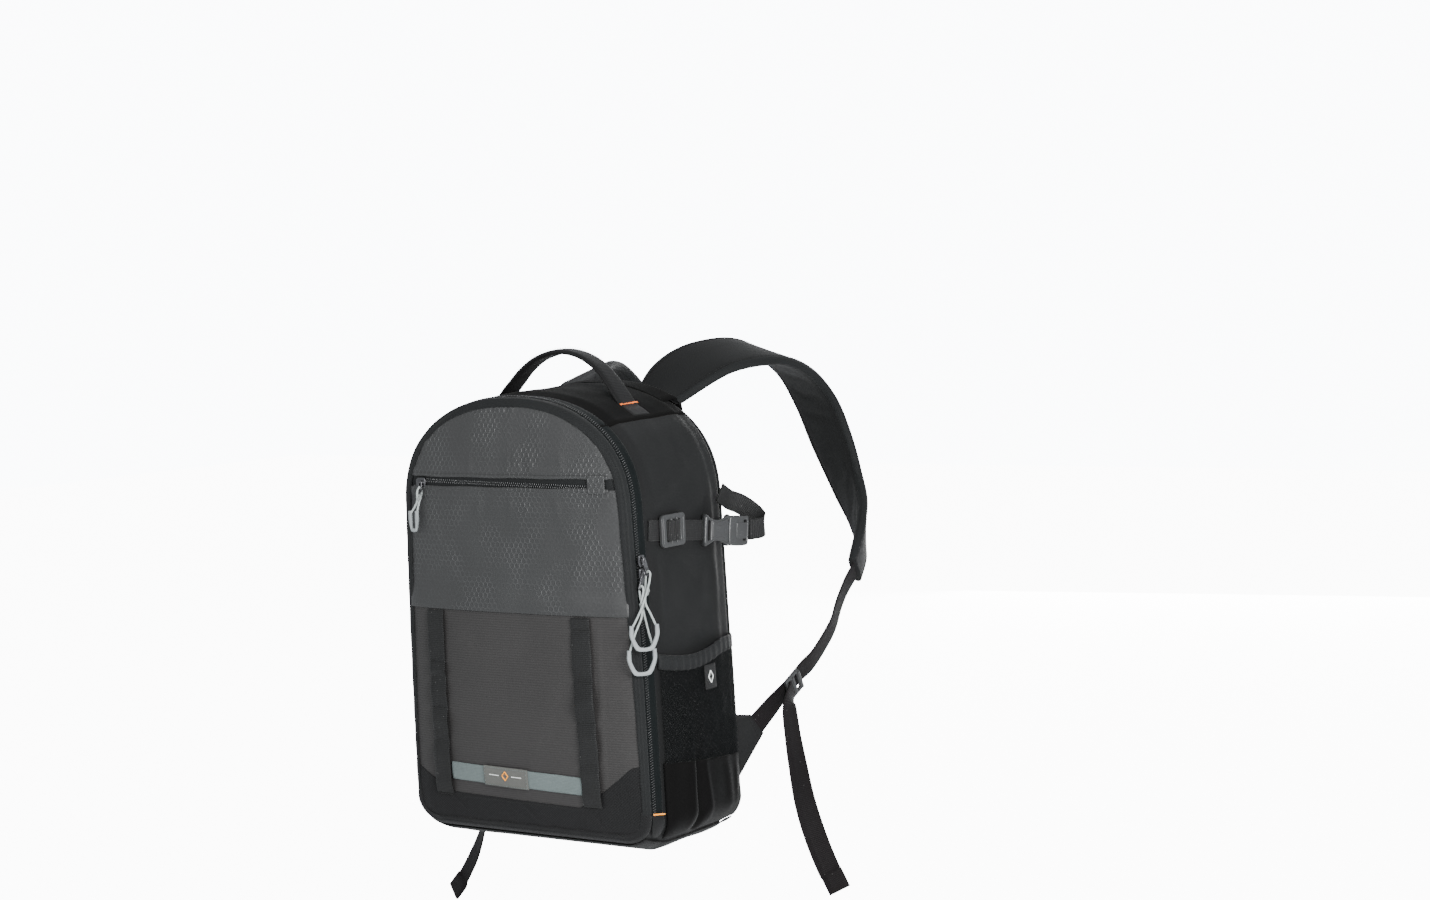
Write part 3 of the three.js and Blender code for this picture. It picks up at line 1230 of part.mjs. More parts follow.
// Directions of the run at a distance from the wedge, and a point over it there
function runFrame(distance) {
  const share = clamp(distance / RUN_LENGTH, 0, 1);
  const along = RUN.getTangentAt(share);
  const facing = WEDGE_FACING.clone().lerp(RUN_FACING, smooth(share, 0, ADJUSTER_PLACE));
  const across = along.clone().cross(facing).normalize();
  const out = across.clone().cross(along).normalize();
  return { at: RUN.getPointAt(share), along, across, out };
}
const ADJUSTER_AT = ADJUSTER_PLACE * RUN_LENGTH;
const ADJUSTER_FRAME = runFrame(ADJUSTER_AT);
const ADJUSTER_OUT = WEBBING_THICKNESS / 2 + 2 * GAP;
const TAIL_OUT = 2 * ADJUSTER_OUT + ADJUSTER_THICKNESS;
const byAdjuster = (distance, out) => ADJUSTER_FRAME.at.clone()
  .addScaledVector(ADJUSTER_FRAME.along, distance)
  .addScaledVector(ADJUSTER_FRAME.out, out);

function upperWebbing(side) {
  const rows = shares(10).map((share) => runFrame(lerp(ADJUSTER_AT + 3, RUN_LENGTH - WEBBING_SETBACK, share)));
  return loft(strapRings(rows.map(({ at, out }) => ({
    at: flipped(at, side),
    facing: flipped(out, side),
    width: LOWER_WEBBING_WIDTH,
    thickness: WEBBING_THICKNESS,
  }))));
}

function wedge(side) {
  const half = LOWER_WEBBING_WIDTH / 2 + 1;
  const through = WEDGE_THICKNESS / 2;
  const { across, out } = runFrame(0);
  const seam = [WEDGE_LOW, WEDGE_HIGH].map((z) => wornPoint(vec(WEDGE_X, WEDGE_Y, z)));
  const rim = [1, -1].map((end) => WEDGE_TIP.clone().addScaledVector(across, end * half));
  if (rim[0].z > rim[1].z) rim.reverse();
  const ring = ([low, high]) => [
    low.clone().addScaledVector(out, -through), high.clone().addScaledVector(out, -through),
    high.clone().addScaledVector(out, through), low.clone().addScaledVector(out, through),
  ].map((p) => flipped(p, side));
  return loft([ring(seam), ring(rim)]);
}

const ADJUSTER_SLOT = 4.5;
const SLOT_PLACE = 0.22 * ADJUSTER_LENGTH;
function adjuster(side) {
  const shape = roundedRectangle(ADJUSTER_WIDTH, ADJUSTER_LENGTH, 3);
  [-1, 1].forEach((place) => {
    const slot = roundedRectangle(LOWER_WEBBING_WIDTH + 1, ADJUSTER_SLOT, 1.5, 0, place * SLOT_PLACE);
    shape.holes.push(new THREE.Path(slot.getPoints(2)));
  });
  const up = flipped(ADJUSTER_FRAME.along, side);
  const right = up.clone().cross(flipped(ADJUSTER_FRAME.out, side)).normalize();
  const at = flipped(byAdjuster(0, ADJUSTER_OUT), side);
  return plate(shape, ADJUSTER_THICKNESS, { at, right, up });
}

// Loose ends hang from the adjusters: out, back and down as shares of the length, and how far each
// has turned from lying against the adjuster to facing forward
const TAILS = {
  right: {
    length: RIGHT_TAIL_LENGTH,
    rows: [
      { out: 0.005, back: -0.035, down: 0.05, turn: 0 },
      { out: 0.01, back: -0.025, down: 0.2, turn: 0.1 },
      { out: 0.025, back: -0.01, down: 0.36, turn: 0.3 },
      { out: 0.055, back: 0, down: 0.55, turn: 0.55 },
      { out: 0.115, back: 0, down: 0.73, turn: 0.8 },
      { out: 0.185, back: 0, down: 0.88, turn: 0.95 },
      { out: 0.19, back: 0, down: 0.885, turn: 0.95 },
      { out: 0.235, back: 0, down: 0.965, turn: 1 },
    ],
  },
  left: {
    length: LEFT_TAIL_LENGTH,
    rows: [
      { out: 0.005, back: -0.035, down: 0.04, turn: 0 },
      { out: 0.02, back: -0.08, down: 0.2, turn: 0.1 },
      { out: 0.04, back: -0.13, down: 0.38, turn: 0.3 },
      { out: 0.075, back: -0.16, down: 0.58, turn: 0.6 },
      { out: 0.13, back: -0.175, down: 0.74, turn: 0.85 },
      { out: 0.2, back: -0.18, down: 0.86, turn: 0.95 },
      { out: 0.203, back: -0.18, down: 0.865, turn: 0.95 },
      { out: 0.255, back: -0.18, down: 0.925, turn: 1 },
    ],
  },
};

// The webbing from the wedge comes out through the adjuster's lower slot and turns back down
function lowerWebbing(side, word) {
  const { length, rows } = TAILS[word];
  const { along, out } = ADJUSTER_FRAME;
  const turned = (share) => out.clone().multiplyScalar(Math.cos(share * Math.PI))
    .addScaledVector(along, -Math.sin(share * Math.PI));
  const foot = [GAP, 0.5 * ADJUSTER_AT, ADJUSTER_AT - ADJUSTER_LENGTH].map((distance) => {
    const frame = runFrame(distance);
    return { at: frame.at, facing: frame.out };
  });
  const middle = TAIL_OUT / 2;
  const bend = [0, 0.15, 0.35, 0.5, 0.65, 0.85, 1].map((share) => ({
    at: byAdjuster(
      2 * GAP - SLOT_PLACE - middle + middle * Math.sin(share * Math.PI),
      middle - middle * Math.cos(share * Math.PI),
    ),
    facing: turned(share),
  }));
  const start = byAdjuster(2 * GAP - SLOT_PLACE - middle, TAIL_OUT);
  const forward = vec(-0.5, 0.86, 0);
  const back = out.clone().negate();
  const hanging = rows.map((row) => ({
    at: start.clone().add(vec(row.out, row.back, -row.down).multiplyScalar(length)),
    facing: back.clone().lerp(forward, row.turn).normalize(),
  }));
  const all = [...foot, ...bend, ...hanging];
  const rings = strapRings(all.map(({ at, facing }, i) => ({
    at,
    facing,
    width: LOWER_WEBBING_WIDTH,
    thickness: i > all.length - 3 ? TAIL_HEM_THICKNESS : WEBBING_THICKNESS,
  })));
  return loft(side > 0 ? rings : rings.map(mirrored));
}

sides.forEach(({ side, word }) => {
  add(`shoulder_strap_${word}`, 'side', shoulderStrap(side), null);
  add(`upper_webbing_${word}`, 'warmWebbing', upperWebbing(side), null);
  add(`wedge_${word}`, 'side', wedge(side), null);
  add(`adjuster_${word}`, 'plastic', adjuster(side), null);
  add(`lower_webbing_${word}`, 'warmWebbing', lowerWebbing(side, word), null);
});

// The origin lies midway between the undersides of the two shoulder straps at their crest
const crests = sides.map(({ side }) => shoulderPoint(SHOULDER_PATH[CREST_ROW], side));
const crest = crests[0].add(crests[1]).multiplyScalar(0.5);
pack.position.set(0, -crest.y, -(crest.z - PAD_THICKNESS / 2));
const backpack = new THREE.Group();
backpack.add(pack);
export default backpack;
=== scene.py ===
# Camera backpack in its worn form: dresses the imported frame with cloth, webbing, zips and fittings.

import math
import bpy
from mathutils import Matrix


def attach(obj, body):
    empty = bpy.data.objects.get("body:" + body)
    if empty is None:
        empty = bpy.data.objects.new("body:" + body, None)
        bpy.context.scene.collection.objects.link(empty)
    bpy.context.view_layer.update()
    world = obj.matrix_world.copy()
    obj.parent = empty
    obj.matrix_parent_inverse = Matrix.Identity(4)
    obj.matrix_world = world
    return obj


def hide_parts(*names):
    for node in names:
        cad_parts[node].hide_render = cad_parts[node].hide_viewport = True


bl_info = {
    "name": "Camera Backpack",
    "version": (1, 0, 0),
    "blender": (4, 5, 0),
    "location": "View3D > Sidebar > Backpack",
    "description": "Dresses a packed backpack frame with cloth, webbing, zips and fittings",
    "category": "Add Mesh",
}

import bmesh
import bpy
import numpy as np
from bpy.props import FloatProperty, FloatVectorProperty, PointerProperty
from mathutils import Matrix, Vector, noise

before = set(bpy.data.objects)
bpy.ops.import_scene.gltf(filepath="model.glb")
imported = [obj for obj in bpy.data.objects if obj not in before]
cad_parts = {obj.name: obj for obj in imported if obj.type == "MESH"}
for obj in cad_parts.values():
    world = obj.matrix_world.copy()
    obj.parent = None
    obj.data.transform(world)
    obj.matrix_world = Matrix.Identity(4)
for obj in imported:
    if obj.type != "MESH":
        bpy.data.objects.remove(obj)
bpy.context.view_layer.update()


# Sizes and colours

def length(name, default, description):
    """A length in metres."""
    return FloatProperty(name=name, description=description, default=default, unit="LENGTH", precision=4)


def share(name, default, description):
    """A plain number."""
    return FloatProperty(name=name, description=description, default=default, precision=3)


def colour(name, default, description):
    """A colour in linear light."""
    return FloatVectorProperty(
        name=name, description=description, default=default, size=3, subtype="COLOR", min=0.0, max=1.0
    )


class BackpackSizes(bpy.types.PropertyGroup):
    """Sizes of the backpack, as the frame has them."""

    width: length("Width", 0.290, "Width of the body")
    depth: length("Depth", 0.190, "Depth of the body")
    height: length("Height", 0.460, "Height of the body")
    arch_height: length("Arch height", 0.114, "Height of the arch over the straight sides")
    arch_power: share("Arch power", 2.3, "Power of the arch's curve, 2 being an ellipse")
    bottom_radius: length("Bottom radius", 0.032, "Radius of the lower corners")
    front_bulge: length("Front bulge", 0.010, "How far the front stands out in its middle")
    lid_thickness: length("Lid thickness", 0.005, "Thickness of the lid's edge")
    back_pad: length("Back pad", 0.012, "Thickness of the padded back")
    belly: share("Belly", 0.01, "Extra width at the foot")
    taper: share("Taper", 0.07, "Width lost at the top")
    lean_foot: length("Lean at the foot", 0.004, "Sideways shift at the foot")
    lean_top: length("Lean at the top", -0.003, "Sideways shift at the top")
    foot_lift: length("Foot lift", 0.009, "How far the front lower edge rounds up")
    foot_reach: length("Foot lift reach", 0.036, "Depth over which it rounds up")
    foot_height: length("Foot lift height", 0.110, "Height over which it rounds up")
    top_fall: length("Top fall", 0.005, "How far the top falls to the front")
    zip_band: length("Zip band", 0.020, "Depth of the main zip's tape")
    zip_recess: length("Zip recess", 0.0015, "How far the zip lies inside the outline")
    zip_end: length("Zip end", 0.037, "Height of the main zip's ends")
    coil_width: length("Coil width", 0.0055, "Width of the zip coils")
    tooth_pitch: length("Tooth pitch", 0.0026, "Distance from tooth to tooth")
    slider_height: length("Slider height", 0.287, "Height at which the two sliders meet")
    pocket_zip_top: length("Pocket zip top", 0.381, "Upper edge of the pocket zip's tape")
    pocket_zip_bottom: length("Pocket zip bottom", 0.3615, "Lower edge of the pocket zip's tape")
    pocket_coil: length("Pocket coil", 0.3695, "Height of the pocket zip's coil")
    hem: length("Middle hem", 0.239, "Height of the middle panel's lower hem")
    hem_lift: length("Hem lift", 0.0022, "How far that hem stands off")
    welt_lift: length("Welt lift", 0.0012, "How far the welts stand off")
    cloth: length("Cloth", 0.0013, "Thickness of the panels")
    gap: length("Gap", 0.0003, "Gap between layers")
    daisy_width: length("Daisy chain width", 0.021, "Width of the daisy chains")
    daisy_left: length("Left daisy chain", -0.102, "Place across of the left daisy chain")
    daisy_right: length("Right daisy chain", 0.085, "Place across of the right daisy chain")
    daisy_top: length("Daisy chain top", 0.237, "Height of the daisy chains' upper ends")
    daisy_bottom: length("Daisy chain bottom", 0.038, "Height of the daisy chains' lower ends")
    daisy_lift: length("Daisy chain lift", 0.006, "How far the widest loop stands off")
    grey_height: length("Grey strap height", 0.065, "Height of the grey strap")
    grey_width: length("Grey strap width", 0.020, "Width of the grey strap")
    pocket_bulge: length("Pocket bulge", 0.013, "How far the side pockets stand off")
    pocket_top: length("Pocket top", 0.197, "Height of the side pockets' mouths")
    pocket_base: length("Pocket base", 0.084, "Height of the side pockets' cloth feet")
    pocket_foot: length("Pocket foot", 0.011, "Lower edge of the side pockets")
    pocket_binding: length("Pocket binding", 0.014, "Width of the side pockets' binding")
    pleat_depth: length("Pleat depth", 0.006, "Depth of the side pockets' pleat")
    side_webbing: length("Side webbing", 0.021, "Width of the side strap's webbing")
    side_strap: length("Side strap height", 0.321, "Height of the side strap")
    webbing: length("Webbing thickness", 0.0016, "Thickness of the webbings")
    handle_width: length("Handle width", 0.030, "Width of the grab handle")
    handle_thickness: length("Handle thickness", 0.006, "Thickness of the grab handle")
    handle_rise: length("Handle rise", 0.048, "Height of the grab handle's arch")
    pad_width: length("Strap width", 0.068, "Width of the shoulder straps")
    pad_thickness: length("Strap thickness", 0.012, "Thickness of the shoulder straps")
    strap_spread: length("Strap spread", 0.140, "How far the shoulder straps spread")
    strap_reach: length("Strap reach", 0.224, "How far the shoulder straps reach forward")
    strap_drop: length("Strap drop", 0.200, "How far the shoulder straps come down")
    left_lie: length("Left strap lie", 0.024, "How much lower the left strap lies")
    lower_webbing: length("Lower webbing width", 0.024, "Width of the lower webbing")
    right_tail: length("Right tail", 0.216, "Length of the right loose end")
    left_tail: length("Left tail", 0.268, "Length of the left loose end")
    cord: length("Cord", 0.0022, "Diameter of the pull cords")


class BackpackColours(bpy.types.PropertyGroup):
    """Base colours of the materials."""

    panel: colour("Panel", (0.0285, 0.0292, 0.0296), "Coated cloth of the upper and middle panel")
    ribbed: colour("Ribbed panel", (0.0270, 0.0255, 0.0252), "Ribbed cloth of the lower panel")
    boot: colour("Boot", (0.0085, 0.0085, 0.0090), "Ripstop of the boot")
    side: colour("Side", (0.0075, 0.0077, 0.0079), "Cloth of the sides")
    top: colour("Top", (0.0038, 0.0037, 0.0036), "Cloth of the top")
    binding: colour("Binding", (0.0100, 0.0108, 0.0112), "Tapes and bindings")
    webbing: colour("Webbing", (0.0125, 0.0127, 0.0129), "Black webbing")
    warm: colour("Strap webbing", (0.0095, 0.0082, 0.0086), "Webbing of the shoulder straps")
    grey: colour("Grey webbing", (0.1350, 0.1650, 0.1630), "Light webbing on the front")
    patch: colour("Patch", (0.1100, 0.1120, 0.1040), "Patch on the light webbing")
    # Painted shade: the pocket feet are coloured far darker than the side cloth, standing for shade that
    # falls on them.
    foot: colour("Pocket foot", (0.0022, 0.0020, 0.0020), "Cloth of the side pockets' feet")
    tape: colour("Zip tape", (0.0040, 0.0058, 0.0062), "Tape of the main zip")
    handle: colour("Handle", (0.0060, 0.0060, 0.0062), "Webbing of the grab handle")
    mesh: colour("Mesh", (0.0035, 0.0042, 0.0045), "Net of the side pockets")
    coil: colour("Coil", (0.0300, 0.0310, 0.0320), "Zip coils")
    metal: colour("Zip metal", (0.10, 0.10, 0.105), "Sliders and pullers")
    plastic: colour("Buckle plastic", (0.0340, 0.0350, 0.0360), "Buckles and locks")
    thread: colour("Thread", (0.85, 0.19, 0.035), "Bars of bright thread")
    zip_thread: colour("Zip end thread", (0.90, 0.34, 0.04), "Thread over the zip's ends")
    cord: colour("Cord", (0.3400, 0.3700, 0.3600), "Pull cords")
    grip: colour("Grip", (0.2500, 0.2700, 0.2750), "Grips of the pull cords")
    light: colour("Motif", (0.72, 0.74, 0.72), "Light motifs")
    floor: colour("Backdrop", (0.8600, 0.8700, 0.8800), "Floor and backdrop")


# Shape of the bag. All places are in metres in the bag's own frame, with z 0 at the base and y 0 at
# the middle of the depth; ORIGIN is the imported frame's origin there.
ORIGIN = np.array([0.0, 0.171848, 0.467])
UP = np.array([0.0, 0.0, 1.0])


def unit(v):
    """Vectors of length one."""
    v = np.asarray(v, float)
    return v / np.maximum(np.linalg.norm(v, axis=-1, keepdims=True), 1e-12)


def smooth(x, low, high):
    """Soft step from 0 at low to 1 at high."""
    t = np.clip((np.asarray(x, float) - low) / (high - low), 0.0, 1.0)
    return t * t * (3.0 - 2.0 * t)


def lerp(a, b, t):
    """From a at 0 to b at 1."""
    return a + (b - a) * t


def table(rows, at):
    """Straight lines between the rows of a table of (place, value)."""
    places, values = zip(*rows)
    return np.interp(at, places, values)


BAND_WIDTHS = [(0.0, 0.0045), (0.22, 0.005), (0.55, 0.0075), (0.78, 0.0095), (1.0, 0.0085)]
BOOT_TOP = [(-1, 0.148), (-0.93, 0.138), (-0.67, 0.088), (-0.6, 0.084), (0.48, 0.075), (0.66, 0.115),
            (0.92, 0.185), (1, 0.192)]


class Bag:
    """Surfaces of the bag worked out from its sizes."""

    def __init__(self, size):
        self.size = size
        self.half = size.width / 2
        self.spring = size.height - size.arch_height
        self.back = size.depth / 2
        self.front_edge = size.front_bulge - size.depth / 2
        self.rim = self.front_edge + size.lid_thickness + size.gap
        self.zip_back = self.rim + size.zip_band
        self.tub_back = self.back - size.back_pad
        self.pocket_front = self.zip_back + 0.004
        self.pocket_back = self.tub_back - 0.001
        self.coil_y = self.rim + 0.001 + size.coil_width / 2
        self.walls = [(self.rim, size.zip_recess), (self.zip_back + 0.0005, size.zip_recess),
                      (self.zip_back + 0.004, 0.0), (self.tub_back - 0.014, 0.0),
                      (self.tub_back - 0.004, 0.0015), (self.tub_back, 0.004)]

    def worn(self, p):
        """The departure of the filled bag from its straight pattern."""
        s = self.size
        p = np.asarray(p, float)
        x, y, z = p[..., 0], p[..., 1], p[..., 2]
        part = z / s.height
        wide = 1 + s.belly - s.taper * part * np.abs(part)
        lean = lerp(s.lean_foot, s.lean_top, part)
        ahead = np.clip((self.rim + s.foot_reach - y) / s.foot_reach, 0, 1.4)
        low = np.clip(1 - z / s.foot_height, 0, 1)
        fall = s.top_fall * smooth(z, self.spring, s.height) * np.clip((self.back - y) / s.depth, 0, 1)
        return np.stack([x * wide + lean, y, z + s.foot_lift * ahead**2 * low**2 - fall], axis=-1)

    def half_width(self, z, inset=0.0):
        """Half the outline's width at a height."""
        s = self.size
        z = np.asarray(z, float)
        rise = np.clip((z - self.spring) / (s.arch_height - inset), 0, 1)
        arch = (self.half - inset) * (1 - rise**s.arch_power) ** (1 / s.arch_power)
        radius = s.bottom_radius - inset
        drop = np.clip(s.bottom_radius - z, 0, radius)
        corner = self.half - s.bottom_radius + np.sqrt(np.maximum(radius**2 - drop**2, 0))
        return np.where(z > self.spring, arch, np.where(z < s.bottom_radius, corner, self.half - inset))

    def top(self, x):
        """Height of the arch over a place across."""
        s = self.size
        part = np.clip(np.abs(x) / self.half, 0, 1)
        return self.spring + s.arch_height * (1 - part**s.arch_power) ** (1 / s.arch_power)

    def arch_points(self, inset, step):
        """Half of the arch from the right spring to the crown, evenly stepped, as (x, z)."""
        s = self.size
        turn = np.linspace(0, np.pi / 2, 400)
        power = 2 / s.arch_power
        x = (self.half - inset) * np.cos(turn) ** power
        z = self.spring + (s.arch_height - inset) * np.sin(turn) ** power
        return resample(np.stack([x, z], 1), step)

    def outline(self, inset, low=None, step=0.003):
        """Stations round the outline as (x, z), from the right foot over the arch to the left foot.
        With no low end it is closed along the bottom."""
        s = self.size
        start = s.bottom_radius if low is None else low
        count = max(2, round((self.spring - start) / step))
        side = np.stack([np.full(count, self.half - inset),
                         np.linspace(start, self.spring, count + 1)[:-1]], 1)
        arch = self.arch_points(inset, step)
        right = np.concatenate([side, arch])
        if low is None:
            turn = np.linspace(0, np.pi / 2, max(4, round(s.bottom_radius * 1.57 / step)))[:-1]
            radius = s.bottom_radius - inset
            corner = np.stack([self.half - s.bottom_radius + radius * np.sin(turn),
                               s.bottom_radius - radius * np.cos(turn)], 1)
            count = round((self.half - s.bottom_radius) / step)
            across = np.linspace(0, self.half - s.bottom_radius, count + 1)[:-1]
            bottom = np.stack([across, np.full(count, inset)], 1)
            right = np.concatenate([bottom, corner, right])
            left = right[1:-1][::-1] * [-1, 1]
            return np.concatenate([right, left])
        left = right[:-1][::-1] * [-1, 1]
        return np.concatenate([right, left])

    def front(self, x, z, layer=0.0):
        """y of the front surface at a layer over it."""
        s = self.size
        across = np.clip(np.abs(x) / (self.half_width(z) + 1e-9), 0, 1)
        middle = s.height / 2
        along = np.clip(np.abs(z - middle) / middle, 0, 1)
        return self.front_edge - s.front_bulge * (1 - across**3) * (1 - along**4) - layer

    def band(self, z):
        """Width of the bound edge at a height."""
        return table(BAND_WIDTHS, np.asarray(z) / self.size.height)

    def wall(self, side, y, z, layer=0.0):
        """Point over the side wall."""
        inset = table(self.walls, y)
        y, z, x = np.broadcast_arrays(y, z, self.half_width(z) - inset + layer)
        return np.stack([side * x, y, z], axis=-1)

    def pocket_mouth(self, u):
        """Upper edge of a side pocket."""
        return self.size.pocket_top - 0.007 * np.sin(np.pi * np.clip(u * 1.35, 0, 1)) + 0.003 * u

    def pocket_seam(self, u):
        """Height of the seam between a side pocket's net and its foot."""
        return self.size.pocket_base - 0.012 * (u - 0.3)

    def pocket_stand(self, u, z):
        """How far a side pocket stands off the wall."""
        s = self.size
        across = np.sin(np.pi * np.clip(u, 0, 1)) ** 0.6
        up = smooth(z, -0.006, 0.040) * lerp(1, 0.8, np.clip(z / s.pocket_top, 0, 1))
        pleat = np.exp(-(((u - 0.34) / 0.035) ** 2)) * (1 - smooth(z, 0.060, 0.150))
        corner = 0.0009 * (1 - smooth(z, s.bottom_radius - 0.004, s.bottom_radius + 0.012))
        return s.pocket_bulge * across * up + corner - s.pleat_depth * pleat * smooth(z, -0.006, 0.020)

    def pocket(self, side, u, z, layer):
        """Point over a side pocket's cloth, u being the share of its depth."""
        y = lerp(self.pocket_front, self.pocket_back, u)
        return self.wall(side, y, z, layer + self.pocket_stand(u, z))


def paired(*arrays):
    """Arrays spread over one another and joined as the last axis."""
    return np.stack(np.broadcast_arrays(*arrays), -1)


def distances(path):
    """Distance along a path at each of its points."""
    return np.concatenate([[0], np.cumsum(np.linalg.norm(np.diff(path, axis=0), axis=1))])


def resample(points, step):
    """Even steps along a polyline."""
    points = np.asarray(points, float)
    lengths = distances(points)
    count = max(2, round(lengths[-1] / step) + 1)
    at = np.linspace(0, lengths[-1], count)
    return np.stack([np.interp(at, lengths, points[:, k]) for k in range(points.shape[1])], 1)


def curve(points, step=0.002, columns=None):
    """Even steps along a smooth curve through points. Columns of other values follow along."""
    p = np.asarray(points, float)
    extra = np.asarray(columns, float) if columns is not None else np.zeros((len(p), 0))
    rows = np.concatenate([p, extra], 1)
    knots = np.concatenate([[0], np.cumsum(np.sqrt(np.linalg.norm(np.diff(p, axis=0), axis=1)))])
    padded = np.concatenate([[2 * rows[0] - rows[1]], rows, [2 * rows[-1] - rows[-2]]])
    times = np.concatenate([[2 * knots[0] - knots[1]], knots, [2 * knots[-1] - knots[-2]]])
    out = []
    for i in range(len(p) - 1):
        t0, t1, t2, t3 = times[i : i + 4]
        p0, p1, p2, p3 = padded[i : i + 4]
        for t in np.linspace(t1, t2, 12, endpoint=False):
            a1 = (t1 - t) / (t1 - t0) * p0 + (t - t0) / (t1 - t0) * p1
            a2 = (t2 - t) / (t2 - t1) * p1 + (t - t1) / (t2 - t1) * p2
            a3 = (t3 - t) / (t3 - t2) * p2 + (t - t2) / (t3 - t2) * p3
            b1 = (t2 - t) / (t2 - t0) * a1 + (t - t0) / (t2 - t0) * a2
            b2 = (t3 - t) / (t3 - t1) * a2 + (t - t1) / (t3 - t1) * a3
            out.append((t2 - t) / (t2 - t1) * b1 + (t - t1) / (t2 - t1) * b2)
    out = np.array(out + [rows[-1]])
    lengths = np.concatenate([[0], np.cumsum(np.linalg.norm(np.diff(out[:, :3], axis=0), axis=1))])
    at = np.linspace(0, lengths[-1], max(3, round(lengths[-1] / step) + 1))
    even = np.stack([np.interp(at, lengths, out[:, k]) for k in range(out.shape[1])], 1)
    return even[:, :3] if columns is None else (even[:, :3], even[:, 3:])


def ripple(p, size, seed=0.0, stretch=(1, 1, 1)):
    """Smooth noise at points, about -1 to 1."""
    q = np.asarray(p, float).reshape(-1, 3) * np.array(stretch) / size + seed
    values = np.array([noise.noise(Vector(row)) for row in q])
    return values.reshape(np.asarray(p).shape[:-1])


def creases(a, b, rows):
    """Sum of soft lines on a surface: rows of (a0, b0, a1, b1, width, height)."""
    total = np.zeros(np.broadcast(a, b).shape)
    for a0, b0, a1, b1, width, height in rows:
        run = np.array([a1 - a0, b1 - b0])
        size = max(np.hypot(*run), 1e-9)
        along = ((a - a0) * run[0] + (b - b0) * run[1]) / size
        across = ((a - a0) * run[1] - (b - b0) * run[0]) / size
        past = np.maximum(0, np.maximum(-along, along - size))
        fade = np.sin(np.pi * np.clip(along / size, 0.08, 0.92)) ** 0.5
        total = total + height * fade * np.exp(-(across**2 + past**2) / width**2)
    return total


def grid_normals(p, wrap, out):
    """Normals of a grid of points, turned to the side of out, a direction or an array of them."""
    if wrap:
        du = np.roll(p, -1, axis=1) - np.roll(p, 1, axis=1)
    else:
        du = np.gradient(p, axis=1)
    normal = unit(np.cross(du, np.gradient(p, axis=0)))
    if np.sum(normal * np.asarray(out)) < 0:
        normal = -normal
    return normal


# Meshes

class Made:
    """Materials and the collection of what has been made."""

    materials = {}


def finish_piece(obj, material, replaces=()):
    """Gives a piece its material and body, and hides the imported nodes that it replaces."""
    obj.data.materials.clear()
    obj.data.materials.append(Made.materials[material])
    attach(obj, "root")
    if replaces:
        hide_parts(*replaces)
    return obj


def mesh_object(name, verts, faces, uvs=None, attributes=None, shade=True):
    """Object from vertices in the bag's frame, faces and UVs for each face corner."""
    mesh = bpy.data.meshes.new(name)
    mesh.from_pydata((np.asarray(verts).reshape(-1, 3) - ORIGIN).tolist(), [], faces)
    if uvs is not None:
        layer = mesh.uv_layers.new(name="UVMap")
        layer.data.foreach_set("uv", np.asarray(uvs, dtype=np.float32).ravel())
    for key, values in (attributes or {}).items():
        attribute = mesh.attributes.new(key, "FLOAT", "POINT")
        attribute.data.foreach_set("value", np.asarray(values, dtype=np.float32).ravel())
    if shade:
        mesh.shade_smooth()
    mesh.validate()
    obj = bpy.data.objects.new(name, mesh)
    bpy.context.scene.collection.objects.link(obj)
    return obj


def grid_faces(rows, columns, wrap, start=0):
    """Quads of a grid, with the UV index of each corner on a grid one column wider."""
    faces, corners = [], []
    span = columns if wrap else columns - 1
    for r in range(rows - 1):
        for c in range(span):
            d = (c + 1) % columns
            faces.append((start + r * columns + c, start + r * columns + d,
                          start + (r + 1) * columns + d, start + (r + 1) * columns + c))
            corners.append(((r, c), (r, c + 1), (r + 1, c + 1), (r + 1, c)))
    return faces, corners


def grid_uv(p, wrap):
    """Distances across and along a grid, one column wider where it wraps."""
    q = np.concatenate([p, p[:, :1]], 1) if wrap else p
    u = np.concatenate([np.zeros((len(q), 1)), np.cumsum(np.linalg.norm(np.diff(q, axis=1), axis=2), 1)], 1)
    v = np.concatenate([np.zeros((1, q.shape[1])),
                        np.cumsum(np.linalg.norm(np.diff(q, axis=0), axis=2), 0)])
    return np.stack([u - u[:, -1:] / 2, np.broadcast_to(v.mean(1, keepdims=True), u.shape)], -1)


